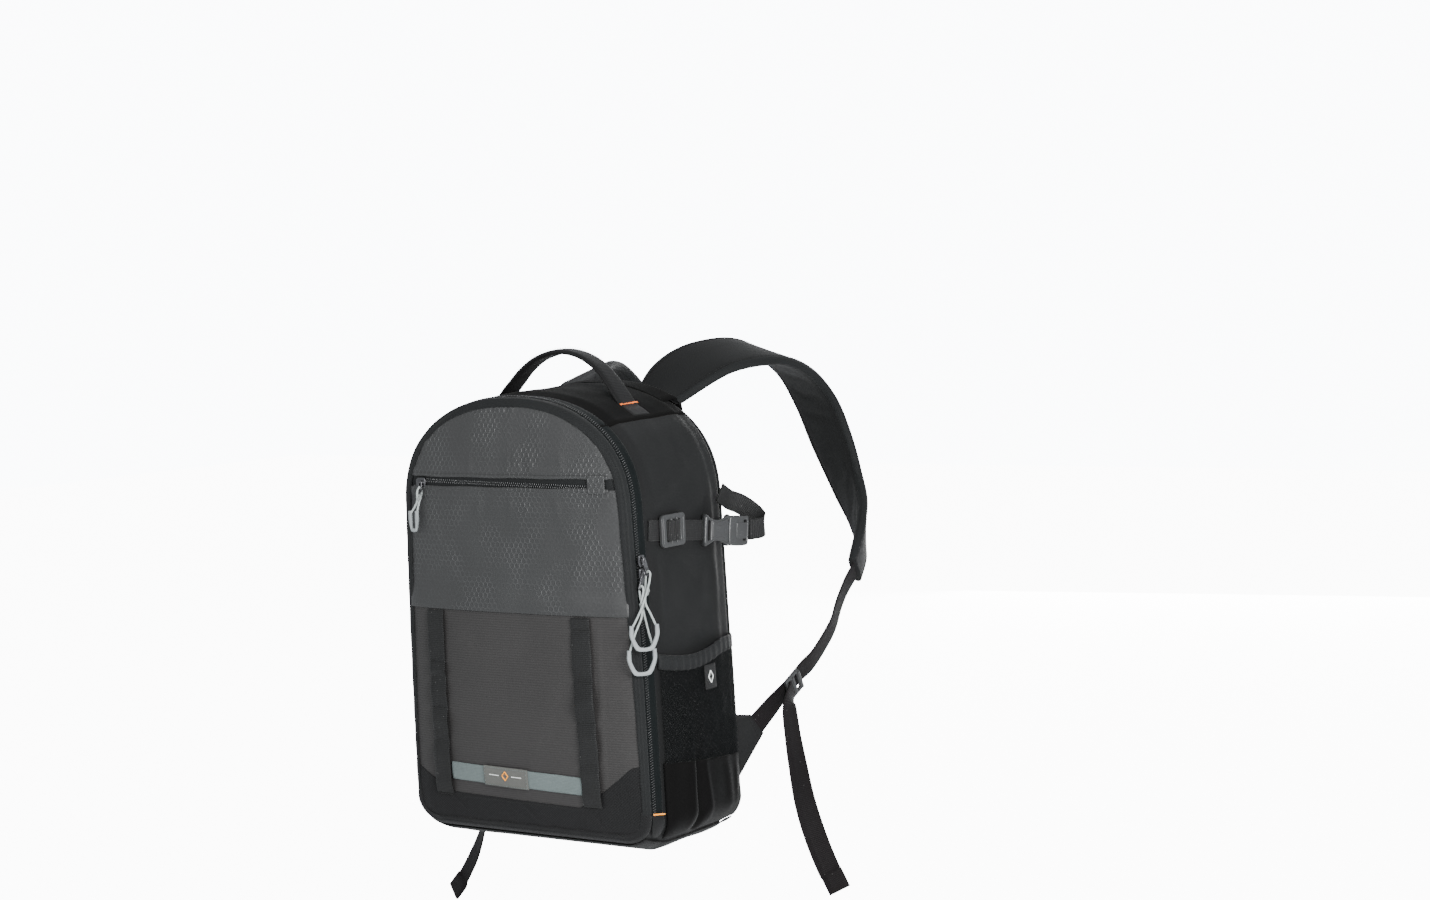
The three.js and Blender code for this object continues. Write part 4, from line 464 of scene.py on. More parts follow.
def shell(name, outer, thickness, out, wrap=False, uv=None, attributes=None):
    """Closed cloth with a rounded edge: a grid of points and its copy a thickness below it."""
    outer = np.asarray(outer, float)
    rows, columns, _ = outer.shape
    normal = grid_normals(outer, wrap, out)
    inner = outer - normal * thickness
    uv = grid_uv(outer, wrap) if uv is None else uv
    count = rows * columns
    verts = [outer.reshape(-1, 3), inner.reshape(-1, 3)]
    top, corners = grid_faces(rows, columns, wrap)
    faces = list(top) + [tuple(i + count for i in face[::-1]) for face in top]
    places = list(corners) + [corner[::-1] for corner in corners]
    loops = []
    if wrap:
        loops += [[(0, c) for c in range(columns)], [(rows - 1, c) for c in range(columns)][::-1]]
    else:
        edge = [(0, c) for c in range(columns)] + [(r, columns - 1) for r in range(1, rows)]
        edge += [(rows - 1, c) for c in range(columns - 2, -1, -1)] + [(r,
                                                                        0) for r in range(rows - 2, 0, -1)]
        loops.append(edge)
    start = 2 * count
    source = list(range(count)) * 2
    for loop in loops:
        rim = []
        for r, c in loop:
            r2 = 1 if r == 0 else rows - 2 if r == rows - 1 else r
            c2 = c if wrap else 1 if c == 0 else columns - 2 if c == columns - 1 else c
            away = unit(outer[r, c] - outer[r2, c2])
            rim.append(outer[r, c] - normal[r, c] * thickness / 2 + away * thickness / 2)
            source.append(r * columns + c)
        verts.append(np.array(rim))
        size = len(loop)
        for i in range(size):
            j = (i + 1) % size
            (r, c), (rj, cj) = loop[i], loop[j]
            a, b = r * columns + c, rj * columns + cj
            faces.append((b, a, start + i, start + j))
            faces.append((start + j, start + i, a + count, b + count))
            places += [((rj, cj), (r, c), (r, c), (rj, cj))] * 2
        start += size
    if np.sum(np.cross(outer[0, 1] - outer[0, 0], outer[1, 0] - outer[0, 0]) * normal[0, 0]) < 0:
        faces = [face[::-1] for face in faces]
        places = [place[::-1] for place in places]
    index = np.array(places).reshape(-1, 2)
    index[:, 1] = np.minimum(index[:, 1], uv.shape[1] - 1)
    values = {key: np.asarray(value).ravel()[np.array(source)] for key, value in (attributes or {}).items()}
    return mesh_object(name, np.concatenate(verts), faces, uv[index[:, 0], index[:, 1]], values)


def tube(name, rings, uv=None):
    """Closed skin over rings that each go round, with flat ends."""
    rings = np.asarray(rings, float)
    rows, columns, _ = rings.shape
    uv = grid_uv(rings, True) if uv is None else uv
    faces, corners = grid_faces(rows, columns, True)
    centre = rings.mean(1)
    sign = np.sum(np.cross(rings[1, 1] - rings[1, 0], rings[2, 0] - rings[1, 0])
                  * (rings[1, 0] - centre[1]))
    faces.append(tuple(range(columns))[::-1])
    corners.append(tuple((0, c) for c in range(columns))[::-1])
    faces.append(tuple((rows - 1) * columns + c for c in range(columns)))
    corners.append(tuple((rows - 1, c) for c in range(columns)))
    if sign < 0:
        faces = [face[::-1] for face in faces]
        corners = [corner[::-1] for corner in corners]
    flat = [uv[r, min(c, uv.shape[1] - 1)] for corner in corners for r, c in corner]
    return mesh_object(name, rings.reshape(-1, 3), faces, flat)


WEBBING_SECTION = [(-1, 0), (-0.975, -0.36), (-0.9, -0.5), (-0.5, -0.5), (0, -0.5),
                   (0.5, -0.5), (0.9, -0.5),
                   (0.975, -0.36), (1, 0), (0.975, 0.36), (0.9, 0.5), (0.5, 0.5), (0, 0.5), (-0.5, 0.5),
                   (-0.9, 0.5), (-0.975, 0.36)]
PAD_SECTION = [(-1, 0), (-0.985, -0.16), (-0.95, -0.24), (-0.86, -0.4), (-0.7, -0.5),
               (-0.4, -0.5), (0, -0.5),
               (0.4, -0.5), (0.7, -0.5), (0.86, -0.4), (0.95, -0.24), (0.985, -0.16), (1, 0), (0.985, 0.16),
               (0.95, 0.24), (0.86, 0.4), (0.7, 0.47), (0.4, 0.5), (0, 0.5), (-0.4, 0.5), (-0.7, 0.47),
               (-0.86, 0.4), (-0.95, 0.24), (-0.985, 0.16)]


def frames(path, facing):
    """Directions along, across and out at each point of a path."""
    along = unit(np.gradient(path, axis=0))
    across = unit(np.cross(along, facing))
    return along, across, unit(np.cross(across, along))


def strap_rings(path, facing, width, thickness, section=WEBBING_SECTION):
    """Rings of a strap along a path."""
    _, across, out = frames(path, facing)
    section = np.array(section)
    width = np.broadcast_to(width, len(path))[:, None, None]
    thickness = np.broadcast_to(thickness, len(path))[:, None, None]
    return (path[:, None] + across[:, None] * section[None, :, :1] * width / 2
            + out[:, None] * section[None, :, 1:] * thickness)


def strap_uv(path, section, width):
    """Distance across and along a strap, the same on both faces."""
    lengths = distances(path)
    across = np.array([a for a, _ in section] + [section[0][0]]) * width / 2
    return paired(across[None, :], lengths[:, None])


def strap(name, points, facing, width, thickness, section=WEBBING_SECTION, step=0.002):
    """A strap along a smooth curve, with a facing, a width and a thickness for each given point."""
    count = len(points)
    columns = np.concatenate([np.broadcast_to(facing, (count, 3)), np.broadcast_to(width, count)[:, None],
                              np.broadcast_to(thickness, count)[:, None]], 1)
    path, rest = curve(points, step, columns)
    rings = strap_rings(path, rest[:, :3], rest[:, 3], rest[:, 4], section)
    return tube(name, rings, strap_uv(path, section, float(np.max(width))))


def round_tube(name, path, radius, sides=10):
    """A round tube along a path."""
    along = unit(np.gradient(path, axis=0))
    across = np.zeros_like(path)
    last = unit(np.cross(along[0], [0.31, 0.52, 0.8]))
    for i, direction in enumerate(along):
        last = unit(last - direction * np.dot(last, direction))
        across[i] = last
    out = np.cross(along, across)
    turn = np.linspace(0, 2 * np.pi, sides, endpoint=False)
    radius = np.broadcast_to(radius, len(path))[:, None, None]
    rings = path[:, None] + radius * (across[:, None] * np.cos(turn)[None, :, None]
                                      + out[:, None] * np.sin(turn)[None, :, None])
    return tube(name, rings)


def plate(name, outlines, thickness, at, right, up, bevel=0.0004):
    """A plate with rounded edges cut from flat outlines, the first its edge and the others its holes."""
    data = bpy.data.curves.new(name, "CURVE")
    data.dimensions = "2D"
    data.fill_mode = "BOTH"
    data.extrude = thickness / 2 - bevel
    data.bevel_depth = bevel
    data.bevel_resolution = 2
    data.offset = -bevel
    for outline in outlines:
        spline = data.splines.new("POLY")
        spline.points.add(len(outline) - 1)
        for point, (x, y) in zip(spline.points, outline):
            point.co = (x, y, 0, 1)
        spline.use_cyclic_u = True
    source = bpy.data.objects.new(name + "_outline", data)
    bpy.context.scene.collection.objects.link(source)
    mesh = bpy.data.meshes.new_from_object(source.evaluated_get(bpy.context.evaluated_depsgraph_get()))
    bpy.data.objects.remove(source)
    flat = np.zeros(len(mesh.vertices) * 3)
    mesh.vertices.foreach_get("co", flat)
    flat = flat.reshape(-1, 3)
    out = np.cross(right, up)
    placed = at + flat[:, :1] * np.asarray(right) + flat[:, 1:2] * np.asarray(up) + flat[:, 2:] * out
    mesh.vertices.foreach_set("co", (placed - ORIGIN).ravel())
    work = bmesh.new()
    work.from_mesh(mesh)
    bmesh.ops.remove_doubles(work, verts=work.verts, dist=1e-6)
    bmesh.ops.recalc_face_normals(work, faces=work.faces)
    work.to_mesh(mesh)
    work.free()
    mesh.name = name
    mesh.shade_smooth()
    mesh.set_sharp_from_angle(angle=math.radians(40))
    obj = bpy.data.objects.new(name, mesh)
    bpy.context.scene.collection.objects.link(obj)
    return obj


def rounded_box(width, height, radius, cx=0.0, cy=0.0, steps=5):
    """Outline of a rectangle with round corners."""
    points = []
    for k, (sx, sy) in enumerate([(1, -1), (1, 1), (-1, 1), (-1, -1)]):
        for t in np.linspace(0, np.pi / 2, steps):
            turn = (k - 1) * np.pi / 2 + t
            points.append((cx + sx * (width / 2 - radius) + radius * math.cos(turn),
                           cy + sy * (height / 2 - radius) + radius * math.sin(turn)))
    return points


def rounded(points, steps=6):
    """A closed outline through points, smoothed."""
    closed = [points[-1], *points, points[0], points[1]]
    flat = np.array([(x, y, 0.0) for x, y in closed])
    out = []
    for i in range(1, len(closed) - 2):
        p0, p1, p2, p3 = flat[i - 1 : i + 3]
        for t in np.linspace(0, 1, steps, endpoint=False):
            tension = 0.35
            m1, m2 = (p2 - p0) * tension, (p3 - p1) * tension
            h = (2 * t**3 - 3 * t**2 + 1) * p1 + (t**3 - 2 * t**2 + t) * m1
            h = h + (-2 * t**3 + 3 * t**2) * p2 + (t**3 - t**2) * m2
            out.append((h[0], h[1]))
    return out


# Materials

class Tree:
    """Short ways to add and join the nodes of one tree."""

    def __init__(self, tree):
        self.tree = tree

    def put(self, socket, value):
        """A value or a link for a socket."""
        if isinstance(value, bpy.types.NodeSocket):
            self.tree.links.new(value, socket)
        elif hasattr(socket.default_value, "__len__") and len(socket.default_value) == 4:
            socket.default_value = (*value[:3], 1.0)
        else:
            socket.default_value = value

    def node(self, kind, inputs=(), **settings):
        """A node with its settings and inputs."""
        node = self.tree.nodes.new(kind)
        for key, value in settings.items():
            setattr(node, key, value)
        for key, value in dict(inputs).items():
            self.put(node.inputs[key], value)
        return node

    def math(self, operation, *values, clamp=False):
        """A Math node's output."""
        node = self.tree.nodes.new("ShaderNodeMath")
        node.operation = operation
        node.use_clamp = clamp
        for socket, value in zip(node.inputs, values):
            self.put(socket, value)
        return node.outputs[0]

    def vector(self, operation, *values):
        """A Vector Math node's output."""
        node = self.tree.nodes.new("ShaderNodeVectorMath")
        node.operation = operation
        for socket, value in zip(node.inputs, values):
            self.put(socket, value)
        return node.outputs["Value" if operation in {"DOT_PRODUCT", "LENGTH"} else "Vector"]

    def noise(self, at, scale, detail=3.0, output="Fac"):
        """A Noise Texture's output."""
        return self.node("ShaderNodeTexNoise",
                         {"Vector": at, "Scale": scale, "Detail": detail}).outputs[output]

    def ramp(self, value, low, high, to_low=0.0, to_high=1.0):
        """Smooth step of a value."""
        return self.node(
            "ShaderNodeMapRange",
            {"Value": value, "From Min": low, "From Max": high, "To Min": to_low, "To Max": to_high},
            interpolation_type="SMOOTHSTEP",
        ).outputs["Result"]


def shader_group(name, inputs, outputs):
    """An empty shader group with named sockets: its tree, its input sockets and its output node."""
    group = bpy.data.node_groups.new(name, "ShaderNodeTree")
    kinds = {"vector": "NodeSocketVector", "float": "NodeSocketFloat", "colour": "NodeSocketColor"}
    for label, kind, default in inputs:
        socket = group.interface.new_socket(name=label, in_out="INPUT", socket_type=kinds[kind])
        if default is not None:
            socket.default_value = default
    for label, kind in outputs:
        group.interface.new_socket(name=label, in_out="OUTPUT", socket_type=kinds[kind])
    return Tree(group), group.nodes.new("NodeGroupInput").outputs, group.nodes.new("NodeGroupOutput")


def weave_group():
    """Plain weave: threads over and under each other."""
    t, given, out = shader_group("Plain weave", [("Vector", "vector", None), ("Pitch", "float", 0.0008)],
                                 [("Height", "float")])
    split = t.node("ShaderNodeSeparateXYZ", {"Vector": given["Vector"]})
    turn = t.math("DIVIDE", math.pi, given["Pitch"])
    u = t.math("SINE", t.math("MULTIPLY", split.outputs["X"], turn))
    v = t.math("SINE", t.math("MULTIPLY", split.outputs["Y"], turn))
    t.put(out.inputs["Height"], t.math("MULTIPLY_ADD", t.math("MULTIPLY", u, v), 0.5, 0.5))
    return t.tree


def rib_group():
    """Ribs across a strap or up a panel, slightly uneven, with the two threads of each rib."""
    t, given, out = shader_group(
        "Ribs",
        [("Vector", "vector", None), ("Pitch", "float", 0.0016), ("Slant", "float", 0.0),
         ("Grid", "float", 0.35)],
        [("Height", "float")],
    )
    split = t.node("ShaderNodeSeparateXYZ", {"Vector": given["Vector"]})
    x, y = split.outputs["X"], split.outputs["Y"]
    drift = t.math("MULTIPLY", t.noise(given["Vector"], 180.0, 1.0), 0.0008)
    at = t.math("DIVIDE", t.math("ADD", t.math("MULTIPLY_ADD", x, given["Slant"], y), drift),
                given["Pitch"])
    rib = t.math("ABSOLUTE", t.math("SINE", t.math("MULTIPLY", at, math.pi)))
    cross = t.math("ABSOLUTE",
                   t.math("SINE", t.math("DIVIDE", t.math("MULTIPLY", x, math.pi), given["Pitch"])))
    mixed = t.math("MULTIPLY", rib, t.math("SUBTRACT", 1.0, t.math("MULTIPLY", given["Grid"], cross)))
    t.put(out.inputs["Height"], mixed)
    return t.tree


def hexagon_group():
    """Embossed hexagons that fade in and out: the line round each cell and the mask of where they show."""
    t, given, out = shader_group(
        "Hexagons",
        [("Vector", "vector", None), ("Size", "float", 0.0042), ("Place", "vector", None)],
        [("Line", "float"), ("Show", "float")],
    )
    rows = (1.0, math.sqrt(3.0), 1.0)
    half = tuple(v / 2 for v in rows)
    size = t.node("ShaderNodeCombineXYZ", {"X": given["Size"], "Y": given["Size"], "Z": 1.0}).outputs[0]
    at = t.vector("ADD", t.vector("DIVIDE", given["Vector"], size), (400.0, 400.0, 0.5))
    first = t.vector("SUBTRACT", t.vector("MODULO", at, rows), half)
    second = t.vector("SUBTRACT", t.vector("MODULO", t.vector("SUBTRACT", at, half), rows), half)
    flat = (1.0, 1.0, 0.0)
    first, second = t.vector("MULTIPLY", first, flat), t.vector("MULTIPLY", second, flat)
    nearer = t.math("LESS_THAN", t.vector("LENGTH", first), t.vector("LENGTH", second))
    cell = t.vector("ABSOLUTE", t.node(
        "ShaderNodeMix", {"Factor": nearer, "A": second, "B": first}, data_type="VECTOR").outputs[1])
    slant = t.vector("DOT_PRODUCT", cell, (0.5, math.sqrt(3.0) / 2, 0.0))
    edge = t.math("MAXIMUM", slant, t.vector("DOT_PRODUCT", cell, (1.0, 0.0, 0.0)))
    t.put(out.inputs["Line"], t.ramp(edge, 0.36, 0.47))
    patchy = t.noise(given["Place"], 26.0, 2.0)
    t.put(out.inputs["Show"], t.ramp(patchy, 0.40, 0.66, 0.12, 1.0))
    return t.tree


def ripstop_group():
    """Two crossing sets of thicker threads, turned to diamonds."""
    t, given, out = shader_group("Ripstop", [("Vector", "vector", None), ("Pitch", "float", 0.0028)],
                                 [("Line", "float")])
    split = t.node("ShaderNodeSeparateXYZ", {"Vector": given["Vector"]})
    x, y = split.outputs["X"], split.outputs["Y"]
    lines = []
    for sign in (1.0, -1.0):
        at = t.math("DIVIDE", t.math("MULTIPLY_ADD", y, sign, x), given["Pitch"])
        wave = t.math("COSINE", t.math("MULTIPLY", at, math.pi))
        lines.append(t.ramp(t.math("ABSOLUTE", wave), 0.80, 0.98))
    t.put(out.inputs["Line"], t.math("MAXIMUM", *lines))
    return t.tree


def braid_group():
    """Braided cord: strands that cross on the slant."""
    t, given, out = shader_group("Braid", [("Vector", "vector", None), ("Pitch", "float", 0.0017)],
                                 [("Height", "float")])
    split = t.node("ShaderNodeSeparateXYZ", {"Vector": given["Vector"]})
    turn = t.math("DIVIDE", math.pi, given["Pitch"])
    x = t.math("MULTIPLY", split.outputs["X"], turn)
    y = t.math("MULTIPLY", split.outputs["Y"], turn)
    one = t.math("ABSOLUTE", t.math("SINE", t.math("ADD", x, y)))
    two = t.math("ABSOLUTE", t.math("SINE", t.math("SUBTRACT", x, y)))
    t.put(out.inputs["Height"], t.math("MAXIMUM", one, two))
    return t.tree


def mottle_group():
    """Uneven tone of cloth: broad soft patches, fine grain and specks of lint."""
    t, given, out = shader_group(
        "Mottle",
        [("Vector", "vector", None), ("Broad", "float", 0.25), ("Fine", "float", 0.15),
         ("Lint", "float", 0.0)],
        [("Shade", "float"), ("Height", "float"), ("Lint", "float")],
    )
    broad = t.math("SUBTRACT", t.noise(given["Vector"], 16.0, 3.0), 0.5)
    fine = t.math("SUBTRACT", t.noise(given["Vector"], 420.0, 3.0), 0.5)
    shade = t.math("MULTIPLY_ADD", broad, t.math("MULTIPLY", given["Broad"], 2.0), 1.0)
    shade = t.math("MULTIPLY_ADD", fine, t.math("MULTIPLY", given["Fine"], 2.0), shade)
    t.put(out.inputs["Shade"], shade)
    t.put(out.inputs["Height"], t.noise(given["Vector"], 900.0, 2.0))
    specks = t.node("ShaderNodeTexVoronoi", {"Vector": given["Vector"], "Scale": 140.0})
    dot = t.ramp(specks.outputs["Distance"], 0.03, 0.09, 1.0, 0.0)
    t.put(out.inputs["Lint"], t.math("MULTIPLY", dot, given["Lint"]))
    return t.tree


def grain_group():
    """Fine grain of moulded plastic or cast metal, with brighter rubbed spots."""
    t, given, out = shader_group("Grain", [("Vector", "vector", None), ("Scale", "float", 1800.0)],
                                 [("Height", "float"), ("Rub", "float")])
    t.put(out.inputs["Height"], t.noise(given["Vector"], given["Scale"], 2.0))
    t.put(out.inputs["Rub"], t.ramp(t.noise(given["Vector"], 110.0, 4.0), 0.52, 0.72))
    return t.tree


PATTERNS = {
    "weave": ("Plain weave", "Height", "Pitch"),
    "ribs": ("Ribs", "Height", "Pitch"),
    "hexagons": ("Hexagons", "Line", "Size"),
    "ripstop": ("Ripstop", "Line", "Pitch"),
    "braid": ("Braid", "Height", "Pitch"),
}


def cloth_material(name, base, pattern, pitch, contrast=0.3, bump=0.35, depth=0.0004, rough=0.7, sheen=0.05,
                   broad=0.25, fine=0.12, lint=0.0, grid=None, slant=None, specular=0.16, worn=0.0):
    """Cloth: a pattern on the piece's own UV map, uneven tone, sheen and a woven relief."""
    material = bpy.data.materials.new(name)
    material.use_nodes = True
    material.node_tree.nodes.clear()
    t = Tree(material.node_tree)
    place = t.node("ShaderNodeTexCoord")
    uv, here = place.outputs["UV"], place.outputs["Object"]
    group, output, size = PATTERNS[pattern]
    figure = t.node("ShaderNodeGroup", node_tree=bpy.data.node_groups[group])
    t.put(figure.inputs["Vector"], uv)
    t.put(figure.inputs[size], pitch)
    if grid is not None:
        t.put(figure.inputs["Grid"], grid)
    if slant is not None:
        t.put(figure.inputs["Slant"], slant)
    height = figure.outputs[output]
    if pattern == "hexagons":
        t.put(figure.inputs["Place"], here)
        height = t.math("MULTIPLY", height, figure.outputs["Show"])
    mottle = t.node("ShaderNodeGroup", {}, node_tree=bpy.data.node_groups["Mottle"])
    for key, value in {"Vector": here, "Broad": broad, "Fine": fine, "Lint": lint}.items():
        t.put(mottle.inputs[key], value)
    shade = t.math("MULTIPLY", mottle.outputs["Shade"],
                   t.math("MULTIPLY_ADD", height, contrast, 1 - contrast / 2))
    tone = t.vector("SCALE", tuple(base))
    t.put(tone.node.inputs["Scale"], shade)
    if lint:
        tone = t.node("ShaderNodeMix",
                      {"Factor": mottle.outputs["Lint"], "A": tone, "B": (0.35, 0.35, 0.34)},
                      data_type="RGBA").outputs[2]
    if worn:
        rub = t.ramp(t.noise(here, 42.0, 5.0), 0.50, 0.74)
        paler = tuple(min(1.0, c * 1.9 + 0.01) for c in base)
        tone = t.node("ShaderNodeMix", {"Factor": t.math("MULTIPLY", rub, worn), "A": tone, "B": paler},
                      data_type="RGBA").outputs[2]
    roughness = t.math("MULTIPLY_ADD", height, -0.10, rough + 0.05, clamp=True)
    fuzzy = t.math("MULTIPLY_ADD", mottle.outputs["Height"], 0.25, height)
    relief = t.node("ShaderNodeBump", {"Strength": bump, "Distance": depth, "Height": fuzzy})
    shader = t.node("ShaderNodeBsdfPrincipled", {
        "Base Color": tone, "Roughness": roughness, "Normal": relief.outputs["Normal"],
        "Sheen Weight": sheen, "Sheen Roughness": 0.45, "Specular IOR Level": specular,
    })
    t.node("ShaderNodeOutputMaterial", {"Surface": shader.outputs["BSDF"]})
    Made.materials[name] = material


def hard_material(name, base, rough=0.42, metal=0.0, bump=0.08, rub=0.25, coat=0.0, specular=0.5, glow=1.6):
    """Moulded plastic, nylon coil or cast metal with a fine grain and rubbed spots."""
    material = bpy.data.materials.new(name)
    material.use_nodes = True
    material.node_tree.nodes.clear()
    t = Tree(material.node_tree)
    here = t.node("ShaderNodeTexCoord").outputs["Object"]
    grain = t.node("ShaderNodeGroup", {}, node_tree=bpy.data.node_groups["Grain"])
    t.put(grain.inputs["Vector"], here)
    paler = tuple(min(1.0, c * glow + 0.004) for c in base)
    tone = t.node("ShaderNodeMix", {"Factor": t.math("MULTIPLY", grain.outputs["Rub"], rub),
                                    "A": tuple(base), "B": paler}, data_type="RGBA").outputs[2]
    roughness = t.math("MULTIPLY_ADD", grain.outputs["Rub"], -0.12, rough, clamp=True)
    relief = t.node("ShaderNodeBump",
                    {"Strength": bump, "Distance": 0.0002, "Height": grain.outputs["Height"]})
    shader = t.node("ShaderNodeBsdfPrincipled", {
        "Base Color": tone, "Roughness": roughness, "Metallic": metal, "Normal": relief.outputs["Normal"],
        "Coat Weight": coat, "Specular IOR Level": specular,
    })
    t.node("ShaderNodeOutputMaterial", {"Surface": shader.outputs["BSDF"]})
    Made.materials[name] = material


# Light of the world, and what the camera alone sees of world and floor, which makes a white ground
WORLD_LIGHT = 0.75
WHITE_GROUND = 11.0


def plain_material(name, base, rough=0.9):
    """Matt paper for the backdrop, white to the camera."""
    material = bpy.data.materials.new(name)
    material.use_nodes = True
    shader = material.node_tree.nodes["Principled BSDF"]
    shader.inputs["Base Color"].default_value = (*base, 1.0)
    shader.inputs["Roughness"].default_value = rough
    t = Tree(material.node_tree)
    seen = t.node("ShaderNodeLightPath").outputs["Is Camera Ray"]
    t.put(shader.inputs["Emission Color"], (1.0, 1.0, 1.0))
    t.put(shader.inputs["Emission Strength"], t.math("MULTIPLY", seen, WHITE_GROUND))
    Made.materials[name] = material


def make_materials(c):
    """All finishes of the backpack."""
    for build in (weave_group, rib_group, hexagon_group, ripstop_group, braid_group,
                  mottle_group, grain_group):
        build()
    cloth_material("coated_cloth", c.panel, "hexagons", 0.0060, contrast=0.62, bump=0.9, depth=0.0005,
                   rough=0.48, specular=0.55,
                   broad=0.22, fine=0.10)
    cloth_material("ribbed_cloth", c.ribbed, "ribs", 0.0026, contrast=0.38, bump=0.45,
                   rough=0.55, specular=0.3,
                   broad=0.16, grid=0.15)
    cloth_material("ripstop", c.boot, "ripstop", 0.0034, contrast=-0.55, bump=0.6, rough=0.66)
    cloth_material("side_cloth", c.side, "weave", 0.0009, contrast=0.25, bump=0.3, rough=0.62,
                   broad=0.3, fine=0.14)
    cloth_material("top_cloth", c.top, "weave", 0.0009, contrast=0.25, bump=0.3, rough=0.8,
                   sheen=0.02, specular=0.06)
    cloth_material("binding_tape", c.binding, "ribs", 0.0009, contrast=0.35, bump=0.35, rough=0.64,
                   grid=0.6)
    cloth_material("webbing", c.webbing, "ribs", 0.0019, contrast=0.55, bump=0.7, depth=0.0006, rough=0.5,
                   grid=0.3, lint=0.25)
    cloth_material("strap_webbing", c.warm, "ribs", 0.0019, contrast=0.45, bump=0.6,
                   depth=0.0006, rough=0.55,
                   grid=0.3, lint=0.2, specular=0.06)
    cloth_material("grey_webbing", c.grey, "ribs", 0.0018, contrast=0.45, bump=0.6, depth=0.0006, rough=0.6,
                   grid=0.55, slant=0.9)
    cloth_material("patch_cloth", c.patch, "weave", 0.0011, contrast=0.3, bump=0.4, rough=0.7)
    cloth_material("net_cord", c.mesh, "weave", 0.0007, contrast=0.3, bump=0.3, rough=0.45,
                   specular=0.06)
    cloth_material("thread", c.thread, "ribs", 0.0006, contrast=0.45, bump=0.5, rough=0.5)
    cloth_material("zip_end_thread", c.zip_thread, "ribs", 0.0006, contrast=0.4, bump=0.5, rough=0.5)
    cloth_material("zip_tape", c.tape, "ribs", 0.0011, contrast=0.4, bump=0.4, rough=0.6,
                   grid=0.5, specular=0.06)
    # Painted shade: this cloth takes the darkened pocket-foot colour, so the shade over the feet is painted
    # into its colour.
    cloth_material("pocket_cloth_painted_shade", c.foot, "weave", 0.0009, contrast=0.25, bump=0.3, rough=0.62,
                   broad=0.3, specular=0.06)
    cloth_material("pocket_elastic", c.binding, "ribs", 0.0012, contrast=0.45, bump=0.5, rough=0.6,
                   grid=0.4)
    cloth_material("handle_webbing", c.handle, "ribs", 0.0019, contrast=0.5, bump=0.6, rough=0.5,
                   grid=0.3)
    cloth_material("strap_cloth", c.side, "weave", 0.0011, contrast=0.3, bump=0.35, rough=0.66)
    cloth_material("back_mesh", c.mesh, "ripstop", 0.0030, contrast=-0.6, bump=0.7, depth=0.0008, rough=0.7,
                   sheen=0.05)
    cloth_material("patch_thread", c.grey, "ribs", 0.0006, contrast=0.3, bump=0.4, rough=0.6)
    cloth_material("dark_thread", c.webbing, "ribs", 0.0005, contrast=0.4, bump=0.4, rough=0.55)
    cloth_material("cord", c.cord, "braid", 0.0014, contrast=0.55, bump=0.8, depth=0.0004, rough=0.6)
    cloth_material("motif", c.light, "ribs", 0.0006, contrast=0.3, bump=0.4, rough=0.6)
    hard_material("coil", c.coil, rough=0.30, bump=0.05, rub=0.4, specular=0.7, glow=2.2)
    hard_material("zip_metal", c.metal, rough=0.26, metal=0.9, bump=0.06, rub=0.6, glow=2.6)
    hard_material("buckle_plastic", c.plastic, rough=0.36, bump=0.12, rub=0.35)
    hard_material("grip_plastic", c.grip, rough=0.48, bump=0.15, rub=0.3, glow=1.2)
    plain_material("backdrop", c.floor)


# Rows of small things and nets

def bits_tree():
    """Small rounded bits set along lines at an even pitch, turned by the lines and their 'out'."""
    tree = bpy.data.node_groups.new("Row of bits", "GeometryNodeTree")
    for label, kind, default in (
        ("Geometry", "NodeSocketGeometry", None), ("Pitch", "NodeSocketFloat", 0.002),
        ("Size", "NodeSocketVector", (0.001, 0.003, 0.001)), ("Slant", "NodeSocketFloat", 0.0),
        ("Roundness", "NodeSocketInt", 1), ("Material", "NodeSocketMaterial", None),
    ):
        socket = tree.interface.new_socket(name=label, in_out="INPUT", socket_type=kind)
        if default is not None:
            socket.default_value = default
    tree.interface.new_socket(name="Geometry", in_out="OUTPUT", socket_type="NodeSocketGeometry")
    t = Tree(tree)
    given = tree.nodes.new("NodeGroupInput").outputs
    line = t.node("GeometryNodeMeshToCurve", {"Mesh": given["Geometry"]}).outputs["Curve"]
    even = t.node("GeometryNodeResampleCurve", {"Curve": line, "Length": given["Pitch"]}, mode="LENGTH")
    out = t.node("GeometryNodeInputNamedAttribute", {"Name": "out"}, data_type="FLOAT_VECTOR")
    tangent = t.node("GeometryNodeInputTangent")
    turn = t.node("FunctionNodeAxesToRotation", {
        "Primary Axis": out.outputs["Attribute"], "Secondary Axis": tangent.outputs["Tangent"],
    }, primary_axis="Z", secondary_axis="X")
    tilt = t.node("ShaderNodeCombineXYZ", {"Z": given["Slant"]})
    angle = t.node("FunctionNodeEulerToRotation", {"Euler": tilt.outputs[0]})
    turned = t.node("FunctionNodeRotateRotation",
                    {"Rotation": turn.outputs[0], "Rotate By": angle.outputs[0]},
                    rotation_space="LOCAL")
    bit = t.node("GeometryNodeMeshCube", {"Size": given["Size"]})
    soft = t.node("GeometryNodeSubdivisionSurface",
                  {"Mesh": bit.outputs["Mesh"], "Level": given["Roundness"]})
    placed = t.node("GeometryNodeInstanceOnPoints", {
        "Points": even.outputs["Curve"], "Instance": soft.outputs["Mesh"],
        "Rotation": turned.outputs["Rotation"],
    })
    real = t.node("GeometryNodeRealizeInstances", {"Geometry": placed.outputs["Instances"]})
    smoothed = t.node("GeometryNodeSetShadeSmooth", {"Geometry": real.outputs["Geometry"]})
    finish = t.node("GeometryNodeSetMaterial", {"Geometry": smoothed.outputs["Geometry"],
                                                "Material": given["Material"]})
    t.node("NodeGroupOutput", {"Geometry": finish.outputs["Geometry"]})
    return tree


